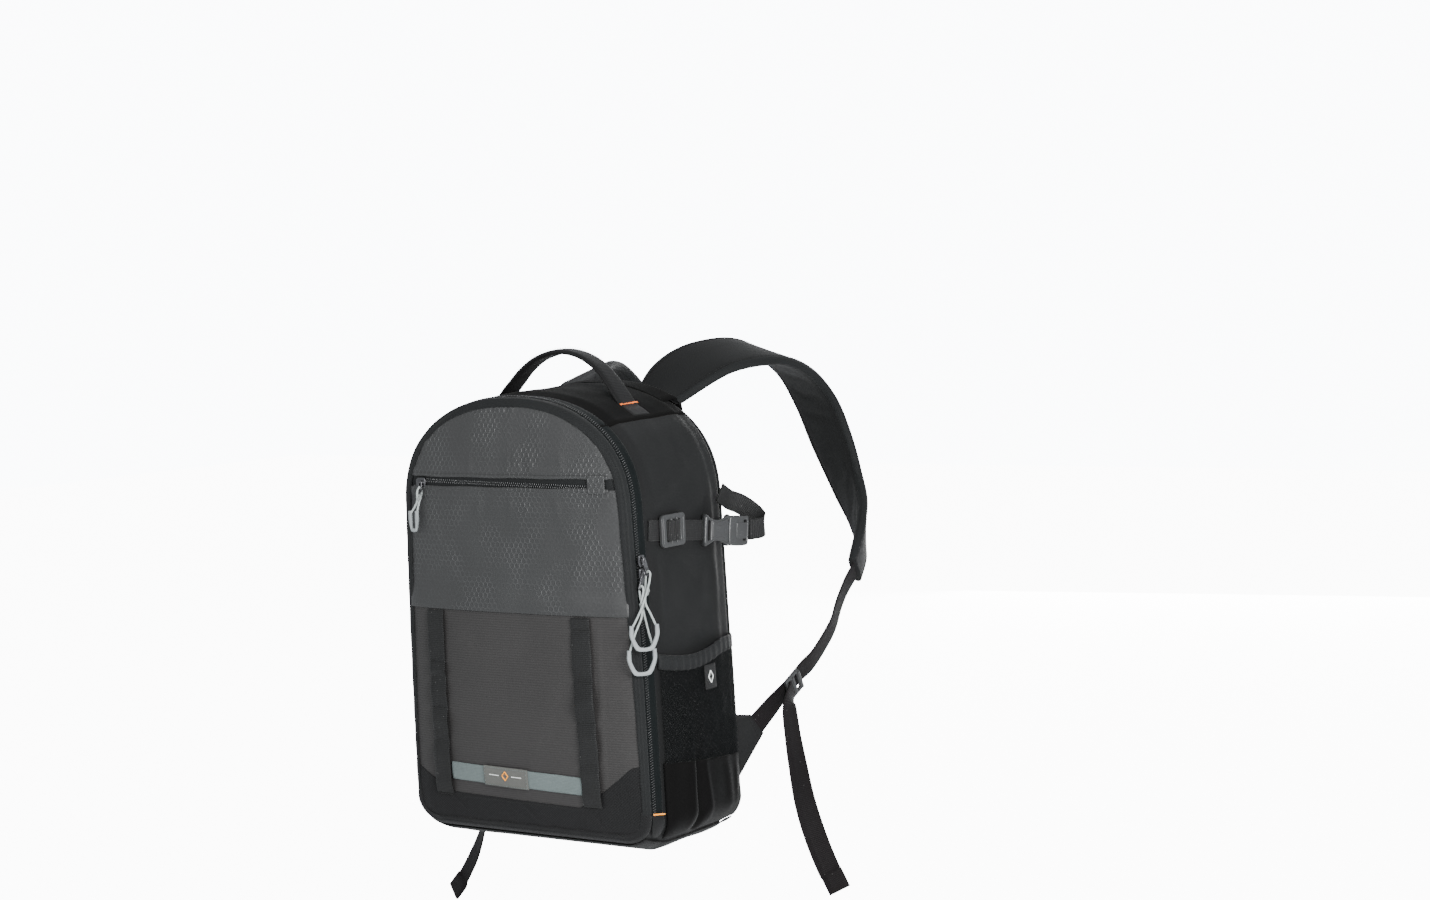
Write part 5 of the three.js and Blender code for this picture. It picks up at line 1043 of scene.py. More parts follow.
def strands_tree():
    """Round strands along lines, for nets and piping."""
    tree = bpy.data.node_groups.new("Strands", "GeometryNodeTree")
    for label, kind, default in (
        ("Geometry", "NodeSocketGeometry", None), ("Radius", "NodeSocketFloat", 0.0004),
        ("Sides", "NodeSocketInt", 4), ("Material", "NodeSocketMaterial", None),
    ):
        socket = tree.interface.new_socket(name=label, in_out="INPUT", socket_type=kind)
        if default is not None:
            socket.default_value = default
    tree.interface.new_socket(name="Geometry", in_out="OUTPUT", socket_type="NodeSocketGeometry")
    t = Tree(tree)
    given = tree.nodes.new("NodeGroupInput").outputs
    line = t.node("GeometryNodeMeshToCurve", {"Mesh": given["Geometry"]}).outputs["Curve"]
    ring = t.node("GeometryNodeCurvePrimitiveCircle",
                  {"Resolution": given["Sides"], "Radius": given["Radius"]})
    skin = t.node("GeometryNodeCurveToMesh", {"Curve": line, "Profile Curve": ring.outputs["Curve"],
                                              "Fill Caps": True})
    smoothed = t.node("GeometryNodeSetShadeSmooth", {"Geometry": skin.outputs["Mesh"]})
    finish = t.node("GeometryNodeSetMaterial", {"Geometry": smoothed.outputs["Geometry"],
                                                "Material": given["Material"]})
    t.node("NodeGroupOutput", {"Geometry": finish.outputs["Geometry"]})
    return tree


def grown(name, lines, tree, inputs, material, replaces=()):
    """Plain mesh that a tree grows on lines, each line being its points and their directions out."""
    verts, edges, outs = [], [], []
    for points, out in lines:
        start = len(verts)
        verts += (np.asarray(points) - ORIGIN).tolist()
        outs += np.broadcast_to(out, (len(points), 3)).tolist()
        edges += [(start + i, start + i + 1) for i in range(len(points) - 1)]
    mesh = bpy.data.meshes.new(name + "_lines")
    mesh.from_pydata(verts, edges, [])
    attribute = mesh.attributes.new("out", "FLOAT_VECTOR", "POINT")
    attribute.data.foreach_set("vector", np.asarray(outs, dtype=np.float32).ravel())
    obj = bpy.data.objects.new(name, mesh)
    bpy.context.scene.collection.objects.link(obj)
    modifier = obj.modifiers.new("Grow", "NODES")
    modifier.node_group = bpy.data.node_groups[tree]
    sockets = {item.name: item.identifier for item in modifier.node_group.interface.items_tree
               if item.item_type == "SOCKET" and item.in_out == "INPUT"}
    for key, value in {**inputs, "Material": Made.materials[material]}.items():
        modifier[sockets[key]] = value
    grown_mesh = bpy.data.meshes.new_from_object(obj.evaluated_get(bpy.context.evaluated_depsgraph_get()))
    obj.modifiers.clear()
    obj.data = grown_mesh
    bpy.data.meshes.remove(mesh)
    grown_mesh.name = name
    grown_mesh.materials.clear()
    return finish_piece(obj, material, replaces)


def bits(name, lines, pitch, size, material, replaces=(), slant=0.0, roundness=1):
    """A row of small rounded bits."""
    inputs = {"Pitch": pitch, "Size": size, "Slant": slant, "Roundness": roundness}
    return grown(name, lines, "Row of bits", inputs, material, replaces)


def strands(name, lines, radius, material, replaces=(), sides=4):
    """Round strands along lines."""
    return grown(name, lines, "Strands", {"Radius": radius, "Sides": sides}, material, replaces)


def puff(obj, pinned, pressure=3.0, cap=0.004, stiffness=12.0):
    """Fills a closed skin by cloth simulation: pinned points stay, the others move at most a cap."""
    mesh = obj.data
    before = np.zeros(len(mesh.vertices) * 3)
    mesh.vertices.foreach_get("co", before)
    before = before.reshape(-1, 3)
    group = obj.vertex_groups.new(name="Pinned")
    group.add(np.flatnonzero(pinned).tolist(), 1.0, "REPLACE")
    cloth = obj.modifiers.new("Fill", "CLOTH")
    cloth.settings.effector_weights.gravity = 0.0
    cloth.settings.use_pressure = True
    cloth.settings.uniform_pressure_force = pressure
    cloth.settings.tension_stiffness = stiffness
    cloth.settings.compression_stiffness = stiffness
    cloth.settings.bending_stiffness = 0.6
    cloth.settings.vertex_group_mass = "Pinned"
    cloth.settings.quality = 6
    cloth.collision_settings.use_collision = False
    scene = bpy.context.scene
    for number in range(1, 21):
        scene.frame_set(number)
    filled = obj.evaluated_get(bpy.context.evaluated_depsgraph_get()).to_mesh()
    after = np.zeros(len(mesh.vertices) * 3)
    filled.vertices.foreach_get("co", after)
    after = after.reshape(-1, 3)
    obj.modifiers.clear()
    obj.vertex_groups.clear()
    scene.frame_set(1)
    move = after - before
    size = np.linalg.norm(move, axis=1, keepdims=True)
    move *= cap * np.tanh(size / cap) / np.maximum(size, 1e-9)
    mesh.vertices.foreach_set("co", (before + move).ravel())
    mesh.update()
    return obj


def joined(name, objects):
    """Several meshes made one."""
    work = bmesh.new()
    for obj in objects:
        work.from_mesh(obj.data)
    mesh = bpy.data.meshes.new(name)
    for obj in objects:
        old = obj.data
        bpy.data.objects.remove(obj)
        bpy.data.meshes.remove(old)
    work.to_mesh(mesh)
    work.free()
    mesh.name = name
    obj = bpy.data.objects.new(name, mesh)
    bpy.context.scene.collection.objects.link(obj)
    return obj


# Shared forms of the pieces

def mm(*values):
    """Millimetres as metres."""
    return np.array(values, float) / 1000


def front_relief(bag, x, z):
    """Soft swells and creases of the filled front, all standing outwards."""
    p = paired(x, 0.0, z)
    edge = 1 - smooth(np.abs(x) / (bag.half_width(z) + 1e-9), 0.86, 0.97)
    swell = 0.0011 * (1 + ripple(p, 0.070, 3.0)) + 0.0004 * (1 + ripple(p, 0.024, 9.0, (1, 1, 0.6)))
    return edge * swell + creases(x, z, FRONT_CREASES)


# Creases on the front: x and z of both ends, width and height
FRONT_CREASES = [
    (0.012, 0.405, 0.011, 0.384, 0.0020, 0.0010), (0.017, 0.404, 0.018, 0.383, 0.0018, 0.0009),
    (0.004, 0.398, 0.002, 0.384, 0.0030, 0.0007), (0.030, 0.400, 0.034, 0.384, 0.0032, 0.0007),
    (-0.050, 0.399, -0.048, 0.384, 0.0034, 0.0006), (0.070, 0.402, 0.071, 0.385, 0.0034, 0.0006),
    (0.006, 0.358, 0.003, 0.338, 0.0030, 0.0008), (0.022, 0.358, 0.026, 0.340, 0.0028, 0.0007),
    (-0.036, 0.358, -0.040, 0.336, 0.0040, 0.0007), (0.062, 0.358, 0.066, 0.334, 0.0040, 0.0007),
    (-0.120, 0.345, -0.070, 0.270, 0.0110, 0.0012), (0.120, 0.350, 0.075, 0.262, 0.0120, 0.0014),
    (0.104, 0.228, 0.100, 0.052, 0.0016, 0.0008), (-0.112, 0.228, -0.108, 0.070, 0.0014, 0.0006),
    (-0.070, 0.212, -0.030, 0.150, 0.0120, 0.0010), (0.060, 0.200, 0.020, 0.110, 0.0140, 0.0010),
    (-0.002, 0.034, 0.015, 0.014, 0.0016, 0.0012), (0.082, 0.034, 0.101, 0.010, 0.0016, 0.0012),
    (-0.090, 0.034, -0.076, 0.020, 0.0016, 0.0011), (-0.080, 0.037, 0.072, 0.035, 0.0013, 0.0007),
]


def gathers(bag, x, z):
    """Short ridges that run in from the arch's seam."""
    s = bag.size
    turn = np.arctan2(z - 0.330, x)
    inset = np.clip((s.height - z) / 0.030, 0, 1)
    room = bag.half_width(z) - np.abs(x)
    near = np.exp(-((np.minimum(room, (s.height - z) * 1.3) - bag.band(z)) / 0.009) ** 2)
    wave = np.sin(turn * 46 + 2.0 * np.sin(turn * 9)) + 0.6 * np.sin(turn * 83 + 1.0)
    return 0.0006 * near * (1.2 + wave) * smooth(z, 0.385, 0.41) * (0.4 + 0.6 * inset)


def front_point(bag, x, z, layer):
    """Worn point over the front."""
    x, z = np.broadcast_arrays(x, z)
    y = bag.front(x, z, layer + front_relief(bag, x, z))
    return bag.worn(np.stack([x, y, z], -1))


OUT_FRONT = np.array([0.0, -1.0, 0.0])


def front_cloth(bag, name, low, high, layer, thickness, material, nodes, columns=106, step=0.0025,
                under=0.0018):
    """A panel on the front between two edges given as heights over the share across."""
    u = np.linspace(-1, 1, columns)
    foot, head = low(u), high(u)
    rows = max(4, round(float(np.max(head - foot)) / step))
    v = np.linspace(0, 1, rows)[:, None]
    z = foot + (head - foot) * v
    x = u * bag.half_width(z, bag.band(z) - under)
    tuck = smooth(np.abs(u), 0.965, 1.0)
    over = layer(x, z) - 0.0006 * tuck
    points = front_point(bag, x, z, over)
    obj = shell(name, points, thickness, OUT_FRONT, uv=np.stack([x, z], -1))
    return finish_piece(obj, material, nodes)


def wall_normal(path):
    """Directions away from an outline given as (x, z)."""
    along = np.gradient(path, axis=0)
    return unit(np.stack([along[:, 1], np.zeros(len(path)), -along[:, 0]], 1))


def edge_strip(path, y, inset):
    """Grid over the side faces: rows at depths y with insets, columns along an outline (x, z)."""
    normal = wall_normal(path)
    base = np.stack([path[:, 0], np.zeros(len(path)), path[:, 1]], 1)
    inset = np.broadcast_to(inset, (len(y), len(path)))
    grid = base[None] - normal[None] * inset[..., None]
    grid[..., 1] = np.asarray(y)[:, None]
    return grid, np.broadcast_to(normal, grid.shape)


# Creases on the right side wall: y and z of both ends, width and height
SIDE_CREASES = [
    (-0.045, 0.345, 0.020, 0.380, 0.0080, 0.0018), (-0.030, 0.300, 0.030, 0.262, 0.0090, 0.0016),
    (0.000, 0.296, 0.050, 0.285, 0.0060, 0.0012), (-0.050, 0.296, -0.052, 0.240, 0.0070, 0.0012),
    (0.005, 0.340, 0.060, 0.352, 0.0070, 0.0014), (-0.040, 0.225, 0.030, 0.214, 0.0070, 0.0012),
    (0.045, 0.300, 0.066, 0.240, 0.0080, 0.0014), (-0.020, 0.410, 0.045, 0.420, 0.0090, 0.0012),
]


def wall_relief(bag, grid):
    """Soft folds of the side walls, none under the zip, the strap or the back edge."""
    x, y, z = grid[..., 0], grid[..., 1], grid[..., 2]
    fade = smooth(y, bag.zip_back + 0.004, bag.zip_back + 0.016) * (1 - smooth(y, 0.056, 0.068))
    strap = np.exp(-(((z - bag.size.side_strap) / 0.016) ** 2)) * (x > 0) * (y < 0.05)
    swell = 0.0016 * (1 + ripple(grid, 0.060, 21.0)) + 0.0006 * (1 + ripple(grid, 0.022, 33.0))
    folds = creases(y, z, SIDE_CREASES)
    return fade * (swell + folds) * (1 - 0.97 * strap)


# Boot cloth under the bag: distance from the back edge, from the wall, and rise up the corners
BOOT_FREE = 0.0036
BOOT_STAND = 0.0004
BOOT_TURN = 0.0096
# Seam between the top panel and the side panels, as shares of the arch from the spring to the crown
SEAM_SHARE = 0.46


# Operators

class BackpackOperator:
    """Shared by all operators: the sizes of the scene."""

    bl_options = {"REGISTER", "UNDO"}

    @staticmethod
    def bag(context):
        """The bag's surfaces."""
        return Bag(context.scene.backpack_sizes)


class BACKPACK_OT_stage(BackpackOperator, bpy.types.Operator):
    """Camera, soft studio light, floor and finishes"""

    bl_idname = "backpack.stage"
    bl_label = "Stage"

    def execute(self, context):
        turn, rise, roll = math.radians(33.2), math.radians(4.25), math.radians(-2.1)
        back = np.array([math.sin(turn) * math.cos(rise), -math.cos(turn) * math.cos(rise), math.sin(rise)])
        level = np.array([math.cos(turn), math.sin(turn), 0.0])
        upright = np.cross(back, level)
        right = math.cos(roll) * level + math.sin(roll) * upright
        top = math.cos(roll) * upright - math.sin(roll) * level
        eye = mm(0, 0, 230) + 2.7085 * back + 0.1515 * right + 0.1649 * top - ORIGIN
        camera = bpy.data.objects.new("Camera", bpy.data.cameras.new("Camera"))
        camera.data.lens = 36.0 * 2600.0 / 1430.0
        camera.data.sensor_width = 36.0
        camera.matrix_world = Matrix([(right[k], top[k], back[k], eye[k]) for k in range(3)]
                                     + [(0, 0, 0, 1)])
        context.scene.collection.objects.link(camera)
        context.scene.camera = camera

        make_materials(context.scene.backpack_colours)
        bits_tree()
        strands_tree()

        floor = bpy.data.meshes.new("floor")
        size, depth = 6.0, -0.66
        floor.from_pydata([(-size, -size, depth), (size, -size, depth), (size, size, depth),
                           (-size, size, depth)], [], [(0, 1, 2, 3)])
        floor = bpy.data.objects.new("floor", floor)
        floor.data.materials.append(Made.materials["backdrop"])
        context.scene.collection.objects.link(floor)

        world = bpy.data.worlds.new("Studio")
        world.use_nodes = True
        t = Tree(world.node_tree)
        ground = world.node_tree.nodes["Background"]
        seen = t.node("ShaderNodeLightPath").outputs["Is Camera Ray"]
        t.put(ground.inputs["Color"], (0.94, 0.97, 1.0))
        t.put(ground.inputs["Strength"], t.math("MULTIPLY_ADD", seen, WHITE_GROUND, WORLD_LIGHT))
        context.scene.world = world
        for name, place, aim, size, power in (
            ("Key", (-0.35, -3.0, 0.9), (0.02, -0.2, -0.22), 1.5, 24.0),
            ("Side", (0.95, -0.80, 0.05), (0.10, -0.27, -0.20), 0.5, 19.0),
            ("Crown", (0.3, 0.9, 2.6), (0, -0.1, -0.1), 1.8, 4.0),
            ("Back", (-0.6, 3.0, -0.1), (0, 0, -0.25), 1.6, 45.0),
        ):
            light = bpy.data.objects.new(name, bpy.data.lights.new(name, "AREA"))
            light.data.shape = "DISK"
            light.data.size = size
            light.data.energy = power
            light.location = place
            light.visible_camera = False
            light.rotation_euler = (Vector(place) - Vector(aim)).to_track_quat("Z", "Y").to_euler()
            context.scene.collection.objects.link(light)
        return {"FINISHED"}


# Routes of the pull cords, from the middle of the coil at the sliders or from the pocket slider
PULL_ORIGIN = mm(144.5, -72.95, 287)
UPPER_CORD = mm(
    6.8, -30.5, -57.6, 9.4, -17.5, -42, 9.7, -11.6, -34.6, 11.1, -5, -22, 10.8, 1.4, -11, 9.6, 3.9, -5.8,
    7.4, 4.4, -4.2, 5.2, 4.3, -6, 4.9, 2.2, -13, 7, -2, -21, 11.3, -9.6, -34.6, 16, -9.4, -44,
    22.6, -9.3, -57.6,
).reshape(-1, 3)
LOWER_CORD = mm(
    -0.2, -27.5, -82.6, 1.9, -18, -64, 4.4, -7.6, -46.6, 6.2, -9.5, -34, 9.8, -9.8, -22.4, 9.5, -9.5, -19,
    7.4, -9.3, -17.4, 5.1, -9.2, -19.2, 4.9, -9, -28, 5.9, -5.6, -46.6, 9.5, -5.2, -64, 15.6, -6.3, -82.6,
).reshape(-1, 3)
POCKET_CORD = mm(
    -12.2, -5.6, -33.6, -3.4, -5, -21, -1, -7, -13, -0.3, -7, -8.6, 0, -4, -5.3, 0.2, -1.3, -7.6,
    0.2, -1.6, -13, -0.8, -4.4, -21, -3.8, -5.6, -33.6,
).reshape(-1, 3)


def knot_path(middle, size, turn=0.0):
    """An overhand knot drawn tight."""
    t = np.linspace(0, 2 * np.pi, 64, endpoint=False)
    x = (np.sin(t) + 2 * np.sin(2 * t)) / 3
    y = (np.cos(t) - 2 * np.cos(2 * t)) / 3
    z = -np.sin(3 * t)
    c, s = math.cos(turn), math.sin(turn)
    return middle + size * np.stack([c * x - s * z * 0.8, s * x + c * z * 0.8, 1.35 * y], 1)


def closed_tube(name, path, radius, sides=8):
    """A round tube along a closed path."""
    along = unit(np.roll(path, -1, 0) - np.roll(path, 1, 0))
    normal = unit(np.cross(along, unit(path - path.mean(0)) + 1e-4))
    out = np.cross(along, normal)
    turn = np.linspace(0, 2 * np.pi, sides, endpoint=False)
    rings = path[:, None] + radius * (normal[:, None] * np.cos(turn)[None, :, None]
                                      + out[:, None] * np.sin(turn)[None, :, None])
    count = len(path)
    faces = [(r * sides + c, r * sides + (c + 1) % sides, ((r + 1) % count) * sides + (c + 1) % sides,
              ((r + 1) % count) * sides + c) for r in range(count) for c in range(sides)]
    obj = mesh_object(name, rings, faces)
    work = bmesh.new()
    work.from_mesh(obj.data)
    bmesh.ops.recalc_face_normals(work, faces=work.faces)
    work.to_mesh(obj.data)
    work.free()
    return obj


class BACKPACK_OT_pull_cords(BackpackOperator, bpy.types.Operator):
    """Pull cords with their knots and grips"""

    bl_idname = "backpack.pull_cords"
    bl_label = "Pull cords"

    def execute(self, context):
        bag = self.bag(context)
        s = bag.size
        edge_y = bag.front(-0.110, s.pocket_coil, 0.0032) - 0.0004
        pocket_origin = np.array([-0.116, edge_y, s.pocket_coil])
        for word, origin, route, across, knot, size in (
            ("upper", PULL_ORIGIN, UPPER_CORD, (0.6, 0.8, 0), mm(9.2, -3.4, -23.5), (0.030, 0.021)),
            ("lower", PULL_ORIGIN, LOWER_CORD, (0.6, 0.8, 0), mm(5.7, -8.2, -37.5), (0.030, 0.021)),
            ("pocket", pocket_origin, POCKET_CORD, (1, 0, 0), mm(-0.5, -4.6, -15.5), (0.012, 0.017)),
        ):
            path = curve(bag.worn(origin + route), 0.0008)
            obj = round_tube("zip_pull_cord_" + word, path, s.cord / 2, 12)
            finish_piece(obj, "cord", ["pull_cord_" + word])
            middle = bag.worn(origin + knot)
            tie = closed_tube("pull_knot_" + word, knot_path(middle, 0.0023, 0.5), s.cord * 0.52)
            finish_piece(tie, "cord")
            grip = self.grip(bag, word, origin, route, np.array(across, float), size)
        return {"FINISHED"}

    @staticmethod
    def grip(bag, word, origin, route, across, size):
        """A half ring with slots in its lower corners, the cord's ends moulded into its arms."""
        out = np.cross(across, UP)
        middle = bag.worn(origin + route[[0, -1]].mean(0)) - UP * 0.0006
        w, h = size[0] / 2, size[1]
        bar = 0.0036 if word != "pocket" else 0.0034
        outline = rounded([
            (-w, 0.0012), (-w, -h * 0.35), (-w * 0.55, -h), (w * 0.55, -h), (w, -h * 0.35), (w, 0.0012),
            (w - bar, 0.0012), (w - bar * 1.1, -h * 0.33), (w * 0.36, -h + bar), (-w * 0.36, -h + bar),
            (-w + bar * 1.1, -h * 0.33), (-w + bar, 0.0012),
        ])
        pieces = [plate("grip", [outline], 0.0034, middle, across, UP, 0.0010)]
        if word != "pocket":
            for side in (-1, 1):
                slant = np.array([side * 0.0042, 0.0090])
                foot = np.array([side * w * 0.56, -h + 0.0022])
                rib = [foot + slant * t for t in np.linspace(0.05, 0.95, 7)]
                line = np.array([middle + across * a + UP * b - out * 0.0019 for a, b in rib])
                pieces.append(round_tube("rib", line, 0.0008, 8))
        for side in (-1, 1):
            cuff = np.array([middle + across * side * (w - bar / 2) + UP
                             * t for t in np.linspace(-0.004, 0.004, 6)])
            pieces.append(round_tube("cuff", cuff, 0.0021, 10))
        obj = joined("zip_grip_" + word, pieces)
        obj.data.shade_smooth()
        obj.data.set_sharp_from_angle(angle=math.radians(50))
        return finish_piece(obj, "grip_plastic", ["grip_" + word])


class BACKPACK_OT_body(BackpackOperator, bpy.types.Operator):
    """Side walls, top panel, lid and padded back"""

    bl_idname = "backpack.body"
    bl_label = "Body"

    def execute(self, context):
        bag = self.bag(context)
        s = bag.size
        loop = bag.outline(0.0, None, 0.0035)
        arch = len(bag.arch_points(0.0, 0.0035))
        crown = int(np.argmax(loop[:, 1]))
        seam = round(arch * (1 - SEAM_SHARE))
        right, left = crown - seam, crown + seam
        columns = len(loop)
        lower = np.concatenate([np.arange(left, columns), np.arange(0, right + 1)])
        upper = np.arange(right, left + 1)
        turned_in = [(bag.tub_back - 0.0006, 0.0075), (bag.tub_back - 0.0004, 0.020)]
        y = np.concatenate([[bag.rim], np.arange(bag.rim + 0.004, bag.tub_back - 0.004, 0.0035)])
        places = [(v, float(table(bag.walls, v))) for v in y] + [(bag.tub_back - 0.0035, 0.0018),
                                                                 (bag.tub_back - 0.0014, 0.0036)] + turned_in
        depths = np.array([p[0] for p in places])
        insets = np.array([p[1] for p in places])[:, None]
        grid, normal = edge_strip(loop, depths, insets)
        grid = grid + normal * wall_relief(bag, grid)[..., None]
        along = distances(loop)
        for name, chosen, material in (("side_walls", lower, "side_cloth"),
                                       ("top_panel", upper, "top_cloth")):
            part = grid[:, chosen].copy()
            if name == "top_panel":
                lip = np.exp(-(np.minimum(np.arange(len(chosen)), np.arange(len(chosen))[::-1]) / 1.2) ** 2)
                part += normal[:, chosen] * (0.0007 + 0.0010 * lip)[None, :, None]
            uv = paired(along[chosen][None, :], depths[:, None])
            if name == "side_walls":
                uv = paired(
                    distances(loop[chosen])[None, :],
                    depths[:, None])
            thick = 0.005 if name == "side_walls" else 0.0035
            obj = shell(name, bag.worn(part), thick, normal[:, chosen], uv=uv)
            finish_piece(obj, material, ["main_body"])

        rows = depths < bag.tub_back - BOOT_FREE
        under, _ = edge_strip(loop, depths[rows], np.full((rows.sum(), 1), -s.gap - s.cloth - BOOT_STAND))
        under = under + normal[rows] * wall_relief(bag, grid[rows])[..., None]
        low = np.flatnonzero(loop[:, 1] < BOOT_TURN)
        split = int(np.flatnonzero(np.diff(low) > 1)[0]) + 1
        low = np.concatenate([low[split:], low[:split]])
        reach = distances(loop[low])
        uv = paired(reach[None, :], depths[rows][:, None])
        obj = shell("boot_floor", bag.worn(under[:, low]), 0.0012, normal[rows][:, low], uv=uv)
        finish_piece(obj, "ripstop", ["boot_base"])

        middle = s.height / 2
        rings = []
        for part, depth in [(0.03, 0), (0.35, 0), (0.65, 0), (0.86, 0), (0.97, 0),
                            (1.0, 0.0012), (1.0, 0.003),
                            (0.98, 0.0044), (0.7, 0.0045), (0.35, 0.0045), (0.03, 0.0045)]:
            edge = bag.outline(s.zip_recess, None, 0.006)
            x, z = edge[:, 0] * part, middle + (edge[:, 1] - middle) * part
            rings.append(bag.worn(np.stack([x, bag.front(x, z, -0.0005) + depth, z], 1)))
        finish_piece(tube("lid_board", rings), "side_cloth", ["front_lid"])
        self.back_pad(bag)
        return {"FINISHED"}

    @staticmethod
    def back_pad(bag):
        """Padded back: a rounded rim and two full columns either side of a channel."""
        s = bag.size
        edge = bag.outline(0.0, None, 0.005)
        normal = wall_normal(edge)
        base = np.stack([edge[:, 0], np.zeros(len(edge)), edge[:, 1]], 1)
        start = bag.tub_back + 0.0003
        rings = []
        for depth, inset in [(0, 0.006), (0.0015, 0.0048), (0.004, 0.0046), (0.0072, 0.0056),
                             (0.0096, 0.0078),
                             (0.0112, 0.0110), (0.0117, 0.0140)]:
            ring = base - normal * inset
            ring[:, 1] = start + depth
            rings.append(ring)
        rim = rings[-1]
        middle = np.array([0, 0, s.height / 2])
        for part in np.linspace(0.965, 0.02, 34):
            ring = middle + (rim - middle) * part
            x, z = ring[:, 0], ring[:, 2]
            groove = 0.0052 * np.exp(-((x / 0.016) ** 4)) * smooth(np.abs(z - 0.23), 0.205, 0.165)
            for height in (0.130, 0.245, 0.350):
                channel = np.exp(-(((z - height + 0.12 * np.abs(x)) / 0.0050) ** 2))
                groove = groove + 0.0034 * channel * (1 - smooth(np.abs(x), 0.100, 0.125))
            swell = 0.0016 * (1 - part**2) + 0.0008 * ripple(ring, 0.05, 4.0)
            ring[:, 1] = start + 0.0117 + swell - groove
            rings.append(ring)
        rings = bag.worn(np.array(rings))
        uv = np.stack([rings[..., 0], rings[..., 2]], -1)
        uv = np.concatenate([uv, uv[:, :1]], 1)
        obj = tube("back_panel", rings, uv)
        count = len(edge)
        pinned = np.arange(len(rings) * count) < 3 * count
        puff(obj, pinned, pressure=1.2, cap=0.0016)
        finish_piece(obj, "back_mesh", ["back_pad"])


class BACKPACK_OT_front(BackpackOperator, bpy.types.Operator):
    """Bound edge and panels of the front"""

    bl_idname = "backpack.front"
    bl_label = "Front panels"

    def execute(self, context):
        bag = self.bag(context)
        s = bag.size
        cloth = s.gap + s.cloth

        def level(z):
            return lambda u: np.full_like(u, z)

        rise = s.arch_height - bag.band(s.height) + 0.0018
        high = bag.spring + rise * math.sin(math.radians(86)) ** (2 / s.arch_power)

        def upper(x, z):
            return cloth + s.welt_lift * (1
                                          - smooth(z, s.pocket_zip_top + 0.001,
                                                   s.pocket_zip_top + 0.009)) + gathers(bag, x, z)

        def middle(_x, z):
            hem = s.hem_lift * (1 - smooth(z, s.hem + 0.007, s.hem + 0.028))
            return cloth + hem + s.welt_lift * smooth(z, s.pocket_zip_bottom - 0.009,
                                                      s.pocket_zip_bottom - 0.001)

        def boot_top(u):
            return table(BOOT_TOP, u) * s.height

        def flat(x, _z):
            return cloth + 0 * x

        front_cloth(bag, "upper_front", level(s.pocket_zip_top - 0.0045), level(high), upper, 0.0010,
                    "coated_cloth", ["upper_panel"])
        front_cloth(bag, "pocket_tape", level(s.pocket_zip_bottom + s.gap), level(s.pocket_zip_top),
                    lambda x, z: s.gap + 0.0008 + 0 * x, 0.0007, "binding_tape",
                    ["pocket_zip_tape"], step=0.0015)
        front_cloth(bag, "middle_front", level(s.hem), level(s.pocket_zip_bottom + 0.0027), middle, 0.0010,
                    "coated_cloth", ["middle_panel"])
        front_cloth(bag, "lower_front", lambda u: boot_top(u) - 0.001, level(s.hem + 0.005), flat, 0.0010,
                    "ribbed_cloth", ["lower_panel"])
        front_cloth(bag, "boot_panel", level(0.004), lambda u: boot_top(u) + 0.0015,
                    lambda x, z: cloth + 0.0007 + 0 * x, 0.0010, "ripstop", ["boot_front"])
        self.edge(bag, "front_binding", bag.outline(0.0, s.bottom_radius + 0.002, 0.003), bag.band,
                  "binding_tape",
                  "binding", ["edge_band"])
        loop = bag.outline(0.0, None, 0.003)
        low = np.flatnonzero((loop[:, 1] < s.bottom_radius + 0.006))
        split = int(np.flatnonzero(np.diff(low) > 1)[0]) + 1
        low = np.concatenate([low[split:], low[:split]])
        self.edge(bag, "boot_edge", loop[low], lambda z: 0.007 + 0 * z, "ripstop", "boot_cloth",
                  ["boot_front"])
        self.welts(bag)
        return {"FINISHED"}

    @staticmethod
    def edge(bag, name, path, width, material, slot, nodes):
        """Tape folded round the edge of the lid."""
        s = bag.size
        normal = wall_normal(path)
        base = np.stack([path[:, 0], np.zeros(len(path)), path[:, 1]], 1)
        along = distances(path)
        pucker = 0.00022 * np.sin(along / 0.0062 + 1.5 * np.sin(along / 0.031))
        wide = width(path[:, 1])
        rows = []
        for part in np.linspace(0, 1, 9):
            inset = wide + 0.0006 + (0.0018 - wide) * part
            crown = 0.0009 * math.sin(math.pi * min(1.0, part * 1.1))
            crown += 0.0005 * math.exp(-((part - 0.16) / 0.1) ** 2)
            point = base - normal * inset[:, None]
            relief = front_relief(bag, point[:, 0], point[:, 2])
            point[:, 1] = bag.front(point[:, 0], point[:, 2],
                                    s.gap + s.cloth + 0.0006 + crown + pucker + relief)
            rows.append(point)
        for turn in (0.3, 0.6, 0.9):
            point = base - normal * (0.0018 - 0.0018 * math.sin(turn * math.pi / 2))
            point[:, 1] = rows[8][:, 1] + 0.0022 * (1 - math.cos(turn * math.pi / 2))
            rows.append(point)
        start = rows[-1][:, 1].copy()
        for part in (0.25, 0.5, 0.75, 1.0):
            point = base + normal * (0.0001 + 0.0012 * part * (1 - part))
            point[:, 1] = start + (bag.rim - 0.0006 - start) * part
            rows.append(point)
        grid = bag.worn(np.array(rows))
        out = unit(np.concatenate([np.tile(OUT_FRONT, (9, len(path), 1)),
                                   np.tile(normal, (len(rows) - 9, 1, 1))]))
        across = np.linspace(0, 0.02, len(rows))
        uv = paired(across[:, None], along[None, :])
        obj = shell(name, grid, 0.0011, out, uv=uv)
        finish_piece(obj, material, nodes)
        if name == "front_binding":
            seam = bag.worn(rows[1]) + OUT_FRONT * 0.0001
            bits("binding_stitches", [(seam, OUT_FRONT)], 0.0036, (0.0026, 0.0006, 0.0005),
                 "dark_thread")

